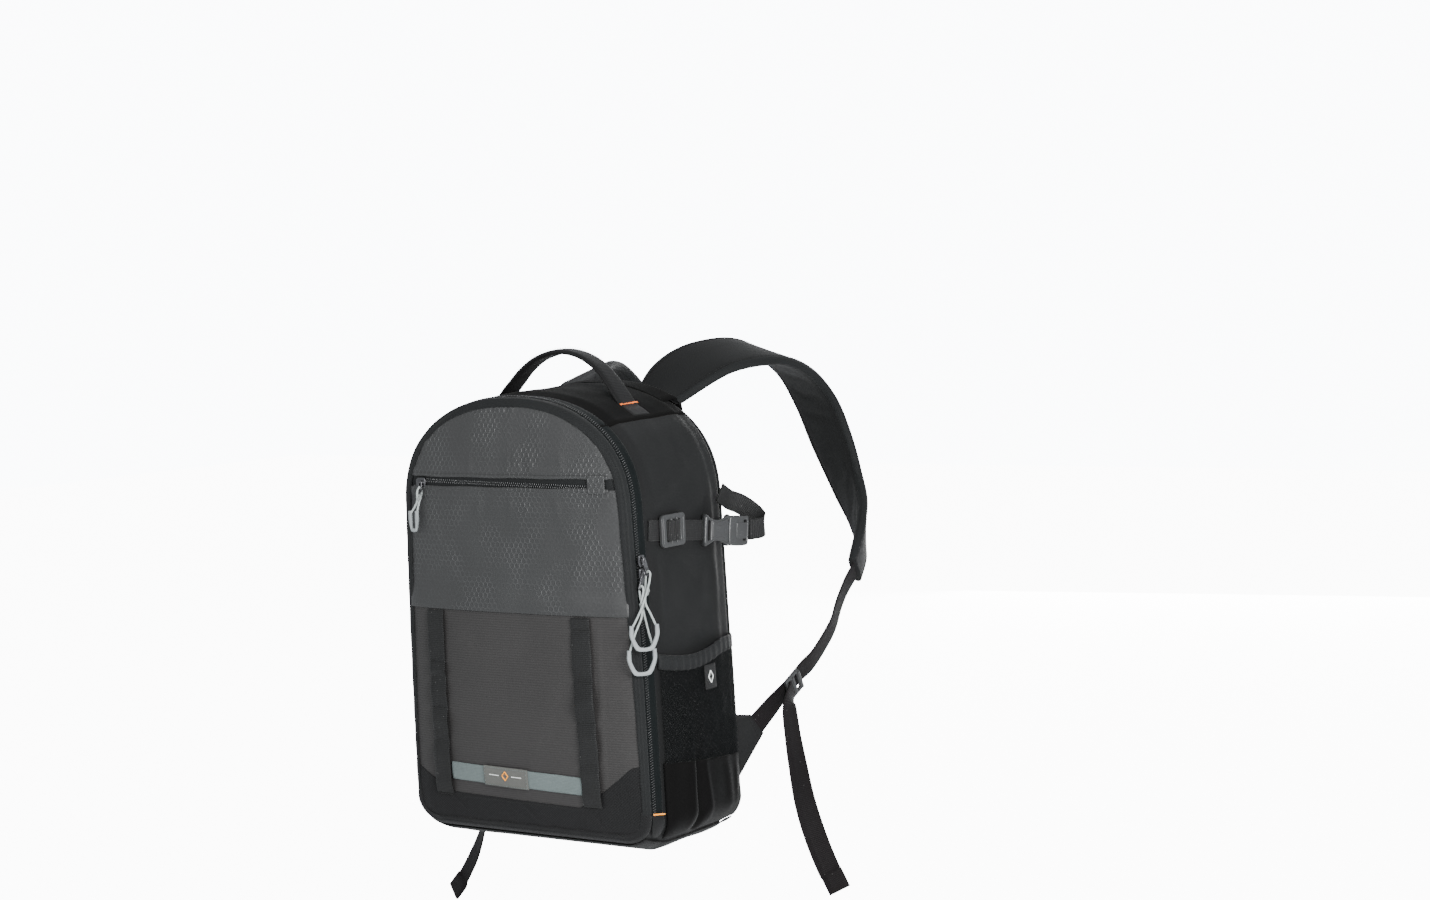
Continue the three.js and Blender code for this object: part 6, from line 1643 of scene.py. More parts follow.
    @staticmethod
    def welts(bag):
        """Folded strips along both sides of the pocket zip, and the small tab over its right end."""
        s = bag.size
        x = np.linspace(-0.128, 0.127, 110)
        for name, z0, z1, lift in (
            ("upper_welt", s.pocket_zip_top - 0.0052, s.pocket_zip_top - 0.0012, 0.0030),
            ("lower_welt", s.pocket_zip_bottom + 0.0008, s.pocket_zip_bottom + 0.0046, 0.0030),
        ):
            rows = []
            for part in np.linspace(0, 1, 6):
                z = z0 + (z1 - z0) * part
                round_ = 0.0007 * math.sin(math.pi * part)
                rows.append(front_point(bag, x, z + 0.0003 * np.sin(x / 0.011), lift + round_ + 0 * x))
            across = paired(x[None, :], np.linspace(z0, z1, 6)[:, None])
            obj = shell(name, np.array(rows), 0.0007, OUT_FRONT, uv=across)
            finish_piece(obj, "coated_cloth")
        tab = np.stack(np.meshgrid(np.linspace(0.104, 0.1235, 12),
                                   np.linspace(s.pocket_zip_bottom - 0.0005,
                                               s.pocket_zip_top - 0.001, 12)), -1)
        obj = shell("pocket_zip_end", front_point(bag, tab[..., 0], tab[..., 1], 0.0040), 0.0009,
                    OUT_FRONT, uv=tab)
        finish_piece(obj, "coated_cloth")


class BACKPACK_OT_zips(BackpackOperator, bpy.types.Operator):
    """Main zip and pocket zip with their sliders, pullers and ends"""

    bl_idname = "backpack.zips"
    bl_label = "Zips"

    def execute(self, context):
        bag = self.bag(context)
        s = bag.size
        path = bag.outline(0.0, s.zip_end - 0.001, 0.003)
        along = distances(path)
        y = np.linspace(bag.rim + s.gap, bag.zip_back, 12)
        part = np.linspace(0, 1, 12)[:, None]
        wave = 0.00035 * np.sin(along / 0.0085 + 2 * np.sin(along / 0.05)) * np.sin(np.pi * part)
        edges = 0.0005 * np.exp(-((part - 0.78) / 0.06) ** 2)
        grid, normal = edge_strip(path, y, 0.0002 - wave - edges)
        uv = paired(y[:, None], along[None, :])
        obj = shell("zip_tape", bag.worn(grid), 0.0009, normal, uv=uv)
        finish_piece(obj, "zip_tape", ["main_zip_tape"])

        fine = bag.outline(0.0, s.zip_end + 0.002, 0.0012)
        direction = wall_normal(fine)
        lines = []
        for offset, shift in ((-0.00135, 0), (0.00135, 1)):
            base = np.stack([fine[:, 0], np.full(len(fine), bag.coil_y + offset), fine[:, 1]],
                            1) + direction * 0.0009
            step = s.tooth_pitch / 2 * shift
            ahead = unit(np.gradient(base, axis=0)) * step
            lines.append((bag.worn(base + ahead), direction))
        bits("zip_coil", lines, s.tooth_pitch, (0.00125, 0.0037, 0.0016), "coil",
             ["main_zip_coil"], slant=0.12)
        cordlike = []
        for offset in (-0.0030, 0.0030):
            base = np.stack([fine[:, 0], np.full(len(fine), bag.coil_y + offset), fine[:, 1]],
                            1) + direction * 0.0003
            cordlike.append((bag.worn(base), direction))
        bits("zip_coil_stitches", cordlike, 0.0021, (0.0015, 0.0006, 0.0006), "dark_thread")
        seams = []
        for depth in (bag.rim + 0.0012, bag.zip_back - 0.0016):
            base = np.stack([fine[:, 0], np.full(len(fine), depth), fine[:, 1]], 1) + direction * 0.0003
            seams.append((bag.worn(base), direction))
        bits("zip_tape_stitches", seams, 0.0036, (0.0026, 0.0006, 0.0005), "dark_thread")

        x = np.linspace(-0.123, 0.104, 200)
        lines = []
        for offset, shift in ((-0.0012, 0), (0.0012, 1)):
            z = s.pocket_coil - 0.02 * x + offset
            lines.append((front_point(bag, x + shift * s.tooth_pitch / 2, z, 0.0021), OUT_FRONT))
        bits("pocket_coil", lines, s.tooth_pitch, (0.0012, 0.0032, 0.0014), "coil",
             ["pocket_zip_coil"], slant=0.12)
        self.ends(bag)
        self.sliders(bag)
        return {"FINISHED"}

    @staticmethod
    def ends(bag):
        """Round tabs over the zip's two ends, each with a bar of bright thread."""
        s = bag.size
        for side, word in ((1, "right"), (-1, "left")):
            u = np.linspace(0, 1, 22)
            foot = s.zip_end - 0.025 * (1 - 0.45 * np.abs(2 * u - 1) ** 2.5)
            v = np.linspace(0, 1, 18)[:, None]
            z = foot + (s.zip_end - s.gap - foot) * v
            y = bag.rim + s.gap + (bag.zip_back - bag.rim - s.gap) * u
            bulge = 0.0012 * np.sin(np.pi * u)[None, :] * np.sin(np.pi * np.clip(v, 0.1, 0.9)) ** 0.5
            clear = 0.0009 * (1 - smooth(z, s.bottom_radius - 0.004, s.bottom_radius + 0.012))
            grid = bag.worn(bag.wall(side, y + 0 * z, z, s.gap + s.cloth + bulge + clear))
            obj = shell("zip_end_tab_" + word, grid, 0.0011, np.array([side, 0, 0]), uv=paired(y, z))
            finish_piece(obj, "side_cloth", ["zip_garage_" + word])
            places = np.linspace(bag.rim + 0.0005, bag.rim + 0.0200, 12)
            height = s.zip_end + 0.0006 * np.sin(np.linspace(0.4, 2.6, 12))
            line = bag.worn(bag.wall(side, places, height, s.gap * 2 + s.cloth + 0.0016))
            bits("zip_end_bar_" + word, [(line, (side, 0, 0))], 0.00062, (0.0010, 0.0026, 0.0011),
                 "zip_end_thread",
                 ["zip_bartack_" + word], slant=0.18)

    @staticmethod
    def sliders(bag):
        """Slider bodies with their bridges, and the pullers."""
        s = bag.size
        slider_x, puller_x = 0.1479, 0.1512
        body = rounded([(-0.0027, -0.006), (0.0027, -0.006), (0.0045, -0.0018), (0.0045, 0.0048),
                        (0.0024, 0.006),
                        (-0.0024, 0.006), (-0.0045, 0.0048), (-0.0045, -0.0018)])
        across, ahead = np.array([0.0, 1.0, 0.0]), np.array([1.0, 0.0, 0.0])

        def slider(name, at, right, up, node):
            out = np.cross(right, up)
            base = plate("base", [body], 0.0024, at + out * 0.0012, right, up, 0.0006)
            arch = np.array([at + up * 0.0042 * math.cos(t) + out * (0.0022 + 0.0020 * math.sin(t))
                             for t in np.linspace(0.05, np.pi - 0.05, 12)])
            bridge = round_tube("bridge", arch, 0.0009, 10)
            obj = joined(name, [base, bridge])
            obj.data.shade_smooth()
            obj.data.set_sharp_from_angle(angle=math.radians(45))
            finish_piece(obj, "zip_metal", [node])

        def puller(name, at, right, up, length_, node):
            outline = rounded_box(0.006, length_, 0.0018, 0, -length_ / 2)
            eye = rounded_box(0.0036, 0.005, 0.0016, 0, -length_ + 0.0045)
            slot = rounded_box(0.0024, 0.0030, 0.0010, 0, -0.0034)
            pull = plate("pull", [outline, eye, slot], 0.0014, at + np.cross(right, up) * 0.0007,
                         right, up, 0.00045)
            pull.name = name
            pull.data.name = name
            finish_piece(pull, "zip_metal", [node])

        offset = 0.0066
        for word, sign, tilt in (("upper", 1, 0.42), ("lower", -1, -0.42)):
            middle = np.array([slider_x, bag.coil_y, s.slider_height + sign * offset])
            middle = bag.worn(middle)
            slider("zip_slider_" + word, middle, across, UP, "slider_" + word)
            right = np.array([0, math.cos(tilt), math.sin(tilt)])
            up = np.array([0, -math.sin(tilt), math.cos(tilt)])
            at = bag.worn(np.array([puller_x, bag.coil_y, s.slider_height + sign * offset + 0.003]))
            puller("zip_puller_" + word, at, right, up, 0.020, "puller_" + word)
        edge_y = bag.front(-0.110, s.pocket_coil, 0.0032)
        middle = bag.worn(np.array([-0.116, edge_y, s.pocket_coil]))
        slider("pocket_slider", middle, -UP, ahead, "slider_pocket")
        at = bag.worn(np.array([-0.116, edge_y - 0.0033, s.pocket_coil + 0.002]))
        puller("pocket_puller", at, ahead, UP, 0.0125, "puller_pocket")


# Loops of the daisy chains: share of the length at each seam, lift of the loop below it, and its shift
LEFT_LOOPS = [(0.0, 0.35, 0.3), (0.27, 0.5, 0.5), (0.35, 0.45, 0.2), (0.51, 0.55, 0.5), (0.68, 0.6, 0.3)]
RIGHT_LOOPS = [(0.0, 0.3, 0.0), (0.06, 0.5, 0.6), (0.32, 1.0, 2.2), (0.53, 0.55, 1.5), (0.75, 0.5, 0.8)]


class BACKPACK_OT_front_webbing(BackpackOperator, bpy.types.Operator):
    """Daisy chains, light strap and patch"""

    bl_idname = "backpack.front_webbing"
    bl_label = "Front webbing"

    def execute(self, context):
        bag = self.bag(context)
        s = bag.size
        under = 2 * s.gap + s.cloth + 0.0003
        tacks = []
        for word, middle, loops in (("left", s.daisy_left, LEFT_LOOPS),
                                    ("right", s.daisy_right, RIGHT_LOOPS)):
            seams = [loop[0] for loop in loops] + [1.0]
            v = np.linspace(0, 1, 150)
            lift, shift = np.zeros_like(v), np.zeros_like(v)
            for (start, high, sway), end in zip(loops, seams[1:]):
                part = np.clip((v - start) / (end - start), 0, 1)
                hump = np.sin(np.pi * part) ** 0.55 * (1 + 0.18 * np.sin(3 * np.pi * part + start * 9))
                lift += np.where((v >= start) & (v <= end), high * hump, 0)
                shift += np.where((v >= start) & (v <= end), sway * np.sin(np.pi * part) ** 1.5, 0)
            u = np.linspace(-0.5, 0.5, 11)
            z = (s.daisy_top - (s.daisy_top - s.daisy_bottom) * v)[:, None]
            x = middle + u[None, :] * s.daisy_width + 0.001 * shift[:, None]
            curl = 0.0011 * (2 * np.abs(u[None, :])) ** 3 * lift[:, None]
            twist = 0.0016 * u[None, :] * (lift * np.sin(v * 23))[:, None]
            layer = under + 0.0014 + s.daisy_lift * lift[:, None] - curl + twist
            grid = front_point(bag, x, z, layer)
            uv = paired(u[None, :] * s.daisy_width, -z)
            obj = shell("daisy_" + word, grid, 0.0013, OUT_FRONT, uv=uv)
            finish_piece(obj, "webbing", ["daisy_chain_" + word])
            for seam in seams[1:-1] if word == "right" else seams[1:]:
                row = s.daisy_top - (s.daisy_top - s.daisy_bottom) * seam
                for shift_z in (-0.0009, 0.0009):
                    xs = np.linspace(middle - 0.0092, middle + 0.0092, 12)
                    tacks.append((front_point(bag, xs, row + shift_z + 0 * xs, under + 0.0017), OUT_FRONT))
        bits("daisy_tacks", tacks, 0.0011, (0.0007, 0.0022, 0.0006), "dark_thread", slant=0.35)

        def strip(x0, x1, z0, z1, layer, columns, rows, curl=0.0):
            xs = np.linspace(x0, x1, columns)
            zs = np.linspace(z0, z1, rows)[:, None]
            edge = curl * (np.abs(np.linspace(-1, 1, rows)) ** 4)[:, None]
            x, z = np.broadcast_arrays(xs[None, :], zs - 0.03 * xs[None, :])
            return front_point(bag, x, z, layer - edge), np.stack([z, x], -1)

        x0, x1 = s.daisy_left + s.daisy_width / 2 + 0.001, s.daisy_right - s.daisy_width / 2 - 0.001
        low, high = s.grey_height - s.grey_width / 2, s.grey_height + s.grey_width / 2
        grid, uv = strip(x0, x1, low, high, under + 0.0013, 70, 12, 0.0003)
        finish_piece(shell("light_strap", grid, 0.0012, OUT_FRONT, uv=uv), "grey_webbing",
                     ["grey_strap"])
        grid, uv = strip(-0.047, 0.008, s.grey_height - 0.0115, s.grey_height + 0.0115,
                         under + 0.0013 + 0.0013, 36, 16, 0.0004)
        finish_piece(shell("patch", grid, 0.0010, OUT_FRONT, uv=uv), "patch_cloth",
                     ["strap_patch"])
        seams = []
        for z in (s.grey_height - 0.0102, s.grey_height + 0.0102):
            xs = np.linspace(-0.0455, 0.0065, 30)
            seams.append((front_point(bag, xs, z - 0.03 * xs, under + 0.0030), OUT_FRONT))
        for x in (-0.0455, 0.0065):
            zs = np.linspace(s.grey_height - 0.0102, s.grey_height + 0.0102, 12)
            seams.append((front_point(bag, x + 0 * zs, zs - 0.03 * x, under + 0.0030), OUT_FRONT))
        bits("patch_stitches", seams, 0.0030, (0.0021, 0.0006, 0.0005), "patch_thread")
        dashes = []
        for a, b in ((-0.0395, -0.0275), (-0.0115, 0.0005)):
            xs = np.linspace(a, b, 10)
            dashes.append((front_point(bag, xs, s.grey_height + 0.002 - 0.03 * xs,
                                       under + 0.0029), OUT_FRONT))
        cx, cz = -0.0195, s.grey_height + 0.0026
        corner = np.stack([cx + 0.0036 * np.array([0, 1, 0, -1, 0]),
                           cz + 0.0052 * np.array([1, 0, -1, 0, 1])], 1)
        corner = resample(corner, 0.0008)
        strands("patch_motif", dashes, 0.0005, "motif", sides=6)
        strands("patch_diamond", [(front_point(bag, corner[:, 0], corner[:, 1], under + 0.0030),
                                   OUT_FRONT)], 0.0006,
                "zip_end_thread", sides=6)
        return {"FINISHED"}


class BACKPACK_OT_side_pockets(BackpackOperator, bpy.types.Operator):
    """Cloth feet, nets and bound mouths of the side pockets"""

    bl_idname = "backpack.side_pockets"
    bl_label = "Side pockets"

    def execute(self, context):
        bag = self.bag(context)
        s = bag.size
        u = np.linspace(0, 1, 76)
        depth = lerp(bag.pocket_front, bag.pocket_back, u)
        for side, word in ((1, "right"), (-1, "left")):
            out = np.array([side, 0.0, 0.0])
            v = np.linspace(0, 1, 36)[:, None]
            foot, seam = s.pocket_foot, bag.pocket_seam(u)
            z = foot + (seam - foot) * v
            wide = smooth(u, 0, 0.08) * (1 - smooth(u, 0.92, 1))
            fold = creases(depth + 0 * z, z, [
                (-0.020, 0.084, -0.024, 0.020, 0.0050, 0.0022), (0.000, 0.080, 0.006, 0.022,
                                                                 0.0045, 0.0018),
                (0.040, 0.078, 0.046, 0.030, 0.0070, 0.0016), (0.062, 0.078, 0.060, 0.030, 0.0050, 0.0013),
            ])
            soft = 0.0006 * (1 + ripple(paired(side, depth, z), 0.026, 5.0))
            grid = bag.worn(bag.pocket(side, u, z, s.gap + 0.0014 + wide * (fold + soft)))
            uv = paired(depth, z)
            # The feet's dark colour is painted shade over the pocket cloth's own colour.
            obj = shell("pocket_foot_" + word, grid, 0.0012, out, uv=uv)
            finish_piece(obj, "pocket_cloth_painted_shade", ["side_pocket_base_" + word])

            mouth = bag.pocket_mouth(u)
            v = np.linspace(0, 1, 9)[:, None]
            z = mouth - s.pocket_binding * (1 - v)
            crimp = 0.0005 * np.sin(depth / 0.0016 + np.sin(depth / 0.012)) * wide
            roll = 0.0007 * np.sin(np.pi * v) + crimp * (1 - 0.6 * v)
            grid = bag.worn(bag.pocket(side, u, z, s.gap + 0.0020 + roll))
            obj = shell("pocket_binding_" + word, grid, 0.0018, out, uv=paired(z, depth))
            finish_piece(obj, "pocket_elastic", ["side_pocket_binding_" + word])
            rows = []
            for drop in (0.0028, 0.0118):
                line = bag.worn(bag.pocket(side, u[2:-2], mouth[2:-2] - drop, s.gap + 0.0030))
                rows.append((line, out))
            bits("pocket_stitches_" + word, rows, 0.0034, (0.0024, 0.0006, 0.0005), "dark_thread")
            self.net(bag, side, word)
        self.label(bag)
        return {"FINISHED"}

    @staticmethod
    def net(bag, side, word):
        """Net of two crossing sets of cords, each over and under the other."""
        s = bag.size
        pitch = 0.0021
        wide = bag.pocket_back - bag.pocket_front
        low, high = 0.066, 0.197
        lines = []
        for sign in (1, -1):
            count = int((wide + high - low) / (pitch * math.sqrt(2)))
            for k in range(count):
                start = k * pitch * math.sqrt(2)
                steps = np.arange(0, (high - low) * math.sqrt(2), pitch)
                z = low + steps / math.sqrt(2)
                a = start - (high - low) + steps / math.sqrt(2)
                if sign < 0:
                    a = wide - a
                u = a / wide
                inside = (u >= 0.0) & (u <= 1.0)
                uc = np.clip(u, 0, 1)
                inside &= (z >= bag.pocket_seam(uc) - 0.001) & (z <= bag.pocket_mouth(uc)
                                                                - s.pocket_binding + 0.001)
                chosen = np.flatnonzero(inside)
                if len(chosen) < 2:
                    continue
                over = 0.00022 * sign * np.where((chosen + k) % 2 == 0, 1, -1)
                drape = 0.0013 * np.sin(uc * 40 + 2 * np.sin(z * 40)) * np.sin(np.pi * uc) * 0.6
                layer = s.gap + 0.0008 + over + (drape * smooth(z, 0.18, 0.15))[chosen] * 0.8 + 0.0006
                lines.append((bag.worn(bag.pocket(side, uc[chosen], z[chosen], layer)), (side, 0, 0)))
        strands("pocket_net_" + word, lines, 0.00036, "net_cord", ["side_pocket_mesh_" + word])

    @staticmethod
    def label(bag):
        """Small woven label under the binding, with a plain diamond."""
        s = bag.size
        y = np.linspace(0.008, 0.028, 14)
        z = np.linspace(s.pocket_top - 0.044, s.pocket_top - 0.020, 16)[:, None]
        u = (y - bag.pocket_front) / (bag.pocket_back - bag.pocket_front)
        layer = s.gap * 2 + 0.0014 + 0.0018
        grid = bag.worn(bag.pocket(1, u + 0 * z, z + 0 * u, layer))
        uv = paired(y, z)
        finish_piece(shell("woven_label", grid, 0.0009, np.array([1.0, 0, 0]), uv=uv), "webbing",
                     ["pocket_label"])
        middle_y, middle_z = 0.018, s.pocket_top - 0.032
        corner = resample(np.array([[0, 0.0062], [0.0042, 0], [0, -0.0062], [-0.0042, 0],
                                    [0, 0.0062]]), 0.0008)
        yy, zz = middle_y + corner[:, 0], middle_z + corner[:, 1]
        uu = (yy - bag.pocket_front) / (bag.pocket_back - bag.pocket_front)
        strands("label_motif", [(bag.worn(bag.pocket(1, uu, zz, layer + 0.0003)), (1, 0, 0))], 0.0006,
                "motif", sides=6)


STRAP_OUT = 0.0011
BUCKLE_ALONG = unit([0.336, 0.937, -0.09])
BUCKLE_OUT = unit(np.cross(BUCKLE_ALONG, UP))
BUCKLE_UP = unit(np.cross(BUCKLE_OUT, BUCKLE_ALONG))


class BACKPACK_OT_side_strap(BackpackOperator, bpy.types.Operator):
    """Compression strap with its ladder lock and side-release buckle"""

    bl_idname = "backpack.side_strap"
    bl_label = "Side strap"

    def execute(self, context):
        bag = self.bag(context)
        s = bag.size
        start = np.array([bag.half + STRAP_OUT + 0.0042, 0.036, s.side_strap - 0.009])
        end = start + BUCKLE_ALONG * (0.97 * 0.058 + 0.0018)

        def plan(name, rows, node):
            points = np.array(rows)
            along = np.gradient(points, axis=0)
            facing = unit(np.stack([along[:, 1], -along[:, 0], 0 * along[:, 0]], 1))
            obj = strap(name, bag.worn(points), facing, s.side_webbing, s.webbing)
            return finish_piece(obj, "webbing", [node])

        wall = np.array([bag.half, 0, s.side_strap])
        plan("strap_front", wall + np.array([
            [STRAP_OUT, bag.pocket_front + 0.001, 0], [STRAP_OUT, -0.038, -0.0016],
            [STRAP_OUT, -0.022, -0.003],
            [STRAP_OUT + 0.0006, 0.006, -0.006], [STRAP_OUT + 0.0022, 0.022, -0.0076],
            [STRAP_OUT + 0.004, 0.035, -0.009]]), "side_strap_front")
        plan("strap_rear", np.concatenate([end + mm(
            0, 1.4, 0, 3, 8, 0, 1, 14, 1, -7, 13, 2, -17, 5, 3).reshape(-1, 3),
            [[bag.half - 0.0032, bag.back - 0.006, s.side_strap - 0.012]]]), "side_strap_rear")
        plan("strap_tail", np.concatenate([end + mm(
            1.8, 0.5, 1, 9, 8, 1, 10.5, 16, 3, 4, 20.5,
            8, -5, 18, 17, -14, 10, 26, -20, 0, 31).reshape(-1, 3),
            [[bag.half + STRAP_OUT + 0.0018, bag.back - 0.019, s.side_strap + 0.026]]]), "side_strap_tail")

        at = bag.worn(np.array([bag.half + STRAP_OUT + 0.0008 + s.gap + 0.0006, -0.018,
                                s.side_strap - 0.003]))
        deep = np.array([0.0, 1.0, 0.0])
        outlines = [rounded_box(0.042, 0.033, 0.005)]
        outlines += [rounded_box(0.0050, s.side_webbing + 0.001, 0.0015, place * 0.0100,
                                 0) for place in (-1, 0, 1)]
        pieces = [plate("frame", outlines, 0.0040, at + np.array([0.002, 0, 0]), deep, UP, 0.0009)]
        for place in (-0.5, 0.5, 1.75, -1.75):
            rise = 0.0042 if abs(place) < 1 else 0.0034
            line = np.array([at + np.array([rise, place * 0.0100,
                                            t]) for t in np.linspace(-0.0125, 0.0125, 9)])
            pieces.append(round_tube("bar", line, 0.0015, 10))
        lock = joined("strap_lock", pieces)
        lock.data.shade_smooth()
        lock.data.set_sharp_from_angle(angle=math.radians(45))
        finish_piece(lock, "buckle_plastic", ["ladder_lock"])
        for place in (-0.5, 0.5):
            y0 = -0.018 + place * 0.0100
            loop = at + np.array([[0.0018, y0 + 0.018 - 0.0046, 0], [0.0050, y0 + 0.018 - 0.0028, 0],
                                  [0.0062, y0 + 0.018, 0], [0.0050, y0 + 0.018 + 0.0028, 0],
                                  [0.0018, y0 + 0.018 + 0.0046, 0]])
            facing = unit(np.array([[1, -1.2, 0], [1, -0.7, 0], [1, 0, 0], [1, 0.7, 0],
                                    [1, 1.2, 0]], float))
            obj = strap("lock_loop_" + ("front" if place < 0 else "rear"), loop, facing, s.side_webbing,
                        0.0011, step=0.0009)
            finish_piece(obj, "webbing")

        socket = [(0, -0.48), (0.12, -0.44), (0.22, -0.34), (0.34, -0.32), (0.48, -0.4), (0.53, -0.48),
                  (0.53, 0.48), (0.48, 0.4), (0.34, 0.3), (0.22, 0.3), (0.12, 0.4), (0, 0.48)]
        tongue = [(0, -0.42), (0.1, -0.5), (0.34, -0.5), (0.44, -0.4), (0.44, 0.4),
                  (0.34, 0.46), (0.1, 0.46),
                  (0, 0.4)]
        for name, points, begin, holes, node in (
            ("buckle_socket_half", socket, s.gap, [(0.10, 0.0, 0.05, 0.66)], "buckle_socket"),
            ("buckle_tongue_half", tongue, 0.53 * 0.058 + 2 * s.gap, [(0.36, 0.0, 0.055, 0.66)],
             "buckle_tongue"),
        ):
            outline = rounded([(a * 0.058, b * 0.032) for a, b in points], 5)
            rims = [outline] + [rounded_box(w * 0.058, h * 0.032, 0.0012, a * 0.058, b * 0.032) for a,
                                b, w, h in holes]
            middle = bag.worn(start) + BUCKLE_ALONG * begin
            body = plate("body", rims, 0.0078, middle, BUCKLE_ALONG, BUCKLE_UP, 0.0022)
            panel = [(a * 0.058 * 0.55 + 0.0090, b * 0.032 * 0.55) for a, b in points]
            raised = plate("panel", [rounded(panel, 4)], 0.0090, middle, BUCKLE_ALONG, BUCKLE_UP, 0.0010)
            pieces = [body, raised]
            if node == "buckle_socket":
                for edge in (-1, 1):
                    line = np.array([middle + BUCKLE_ALONG * (0.031 * t) + BUCKLE_OUT * 0.0026
                                     + BUCKLE_UP * edge * (0.0145 - 0.0052
                                                           * math.sin(math.pi * min(1, t * 1.05)))
                                     for t in np.linspace(0.02, 1.0, 16)])
                    pieces.append(round_tube("rim", line, 0.0014, 8))
            obj = joined(name, pieces)
            obj.data.shade_smooth()
            obj.data.set_sharp_from_angle(angle=math.radians(45))
            finish_piece(obj, "buckle_plastic", [node])
        return {"FINISHED"}


def top_normal(bag, x):
    """Direction away from the arch at a place across."""
    step = 0.002
    fall = (bag.top(x - step) - bag.top(x + step)) / (2 * step)
    return unit(np.stack([fall, 0 * fall, 1 + 0 * fall], -1))


def over_top(bag, x, y, layer):
    """Point over the top at a layer."""
    x, y = np.broadcast_arrays(np.asarray(x, float), y)
    return np.stack([x, y, bag.top(x)], -1) + top_normal(bag, x) * np.asarray(layer)[..., None]


# Rows of the grab handle: share across, share of the rise, share of the width, turn
HANDLE_FORM = [(0, 0.1, 1, 0.35), (0.06, 0.28, 0.98, 0.8), (0.16, 0.57, 0.86, 0.6), (0.3, 0.84, 0.8, 0.3),
               (0.5, 1, 0.8, 0), (0.68, 0.93, 0.8, -0.3), (0.83, 0.7, 0.86, -0.6), (0.93, 0.4, 0.95, -0.8),
               (1, 0.12, 1, -0.5)]


class BACKPACK_OT_handle(BackpackOperator, bpy.types.Operator):
    """Grab handle and the yoke that the shoulder straps start from"""

    bl_idname = "backpack.handle"
    bl_label = "Handle and yoke"

    def execute(self, context):
        bag = self.bag(context)
        s = bag.size
        y, clear = 0.003, 0.001
        x0, x1 = -0.068, 0.082
        points, facing, width, thick = [], [], [], []
        for reach in (0.024, 0.016, 0.009):
            points.append(over_top(bag, x0 - reach, y, clear + 0.0015))
            facing.append(top_normal(bag, np.array(x0 - reach)))
            width.append(s.handle_width)
            thick.append(0.003)
        foot0, foot1 = bag.top(x0), bag.top(x1)
        for across, rise, wide, turn in HANDLE_FORM:
            z = lerp(foot0, foot1, across) + clear + s.handle_thickness / 2 + rise * s.handle_rise
            points.append(np.array([lerp(x0, x1, across), y, z]))
            facing.append(unit([-turn, 0, 1]))
            width.append(wide * s.handle_width)
            thick.append(s.handle_thickness * (0.92 if 0.1 < across < 0.9 else 0.8))
        for reach in (0.009, 0.016, 0.024):
            points.append(over_top(bag, x1 + reach, y, clear + 0.0015))
            facing.append(top_normal(bag, np.array(x1 + reach)))
            width.append(s.handle_width)
            thick.append(0.003)
        points, facing = bag.worn(np.array(points)), np.array(facing)
        obj = strap("carry_handle", points, facing, np.array(width), np.array(thick), PAD_SECTION, 0.002)
        count = len(PAD_SECTION)
        rows = len(obj.data.vertices) // count
        ring = np.arange(rows * count) // count
        around = np.arange(rows * count) % count
        pinned = (ring < 16) | (ring > rows - 17) | (around % 12 == 0)
        puff(obj, pinned, pressure=2.0, cap=0.0016)
        finish_piece(obj, "handle_webbing", ["grab_handle"])
        path, rest = curve(points, 0.002,
                           np.concatenate([facing, np.array(width)[:, None], np.array(thick)[:, None]], 1))
        _, across, out = frames(path, rest[:, :3])
        seams = []
        for edge in (-0.74, 0.74):
            line = path + across * (rest[:, 3:4] / 2 * edge) + out * (rest[:, 4:5] * 0.5 + 0.0010)
            seams.append((line[6:-6], (0, 0, 1)))
        bits("handle_stitches", seams, 0.0032, (0.0023, 0.0006, 0.0005), "dark_thread")
        for word, x in (("right", x1 + 0.007), ("left", x0 - 0.007)):
            rows = []
            places = np.linspace(y - 0.0145, y + 0.0145, 20)
            for shift in (-0.0004, 0.0004):
                rows.append((bag.worn(over_top(bag, x + shift + 0.0003 * np.sin(places * 900), places,
                                               clear + 0.0039 + 0 * places)),
                             top_normal(bag, np.array(x))))
            bits("handle_bar_" + word, rows, 0.0009, (0.0008, 0.0021, 0.0010), "thread",
                 ["handle_bartack_" + word], slant=0.3)
        self.yoke(bag)
        return {"FINISHED"}

    @staticmethod
    def yoke(bag):
        """Panel over the back edge of the top."""
        s = bag.size
        x = np.linspace(-0.092, 0.092, 66)
        top = bag.top(x)
        back = bag.back + s.gap
        profile = [(0.060, 0.0023), (0.068, 0.0030), (0.076, 0.0037), (0.083, 0.0040), (0.0895, 0.0028),
                   (0.0940, 0.0002),
                   (back + 0.0022, -0.0036), (back + 0.0030, -0.0090), (back + 0.0033,
                                                                        -0.0150), (back + 0.0033, -0.0220),
                   (back + 0.0031, -0.0290), (back + 0.0029, -0.0340)]
        rows = []
        for depth, rise in resample(np.array(profile), 0.0022):
            point = np.stack([x, np.full_like(x, depth), top + rise], 1)
            rows.append(point)
        grid = np.array(rows)
        swell = 0.0007 * (1 + ripple(grid, 0.03,
                                     8.0)) + 0.0009 * np.exp(-((np.abs(grid[..., 0]) - 0.088) / 0.002) ** 2)
        out = unit(np.stack([0 * grid[..., 0], smooth(grid[..., 1], 0.08, 0.097),
                             1 - smooth(grid[..., 1], 0.08, 0.097)], -1))
        grid = bag.worn(grid + out * swell[..., None])
        uv = paired(x[None, :], np.arange(len(rows))[:, None] * 0.0022)
        obj = shell("strap_yoke", grid, 0.0022, out, uv=uv)
        finish_piece(obj, "top_cloth", ["yoke"])
        lines = []
        for row in (1, len(rows) - 3):
            lines.append((grid[row] + out[row] * 0.0002, out[row]))
        bits("yoke_stitches", lines, 0.0034, (0.0024, 0.0006, 0.0005), "dark_thread")


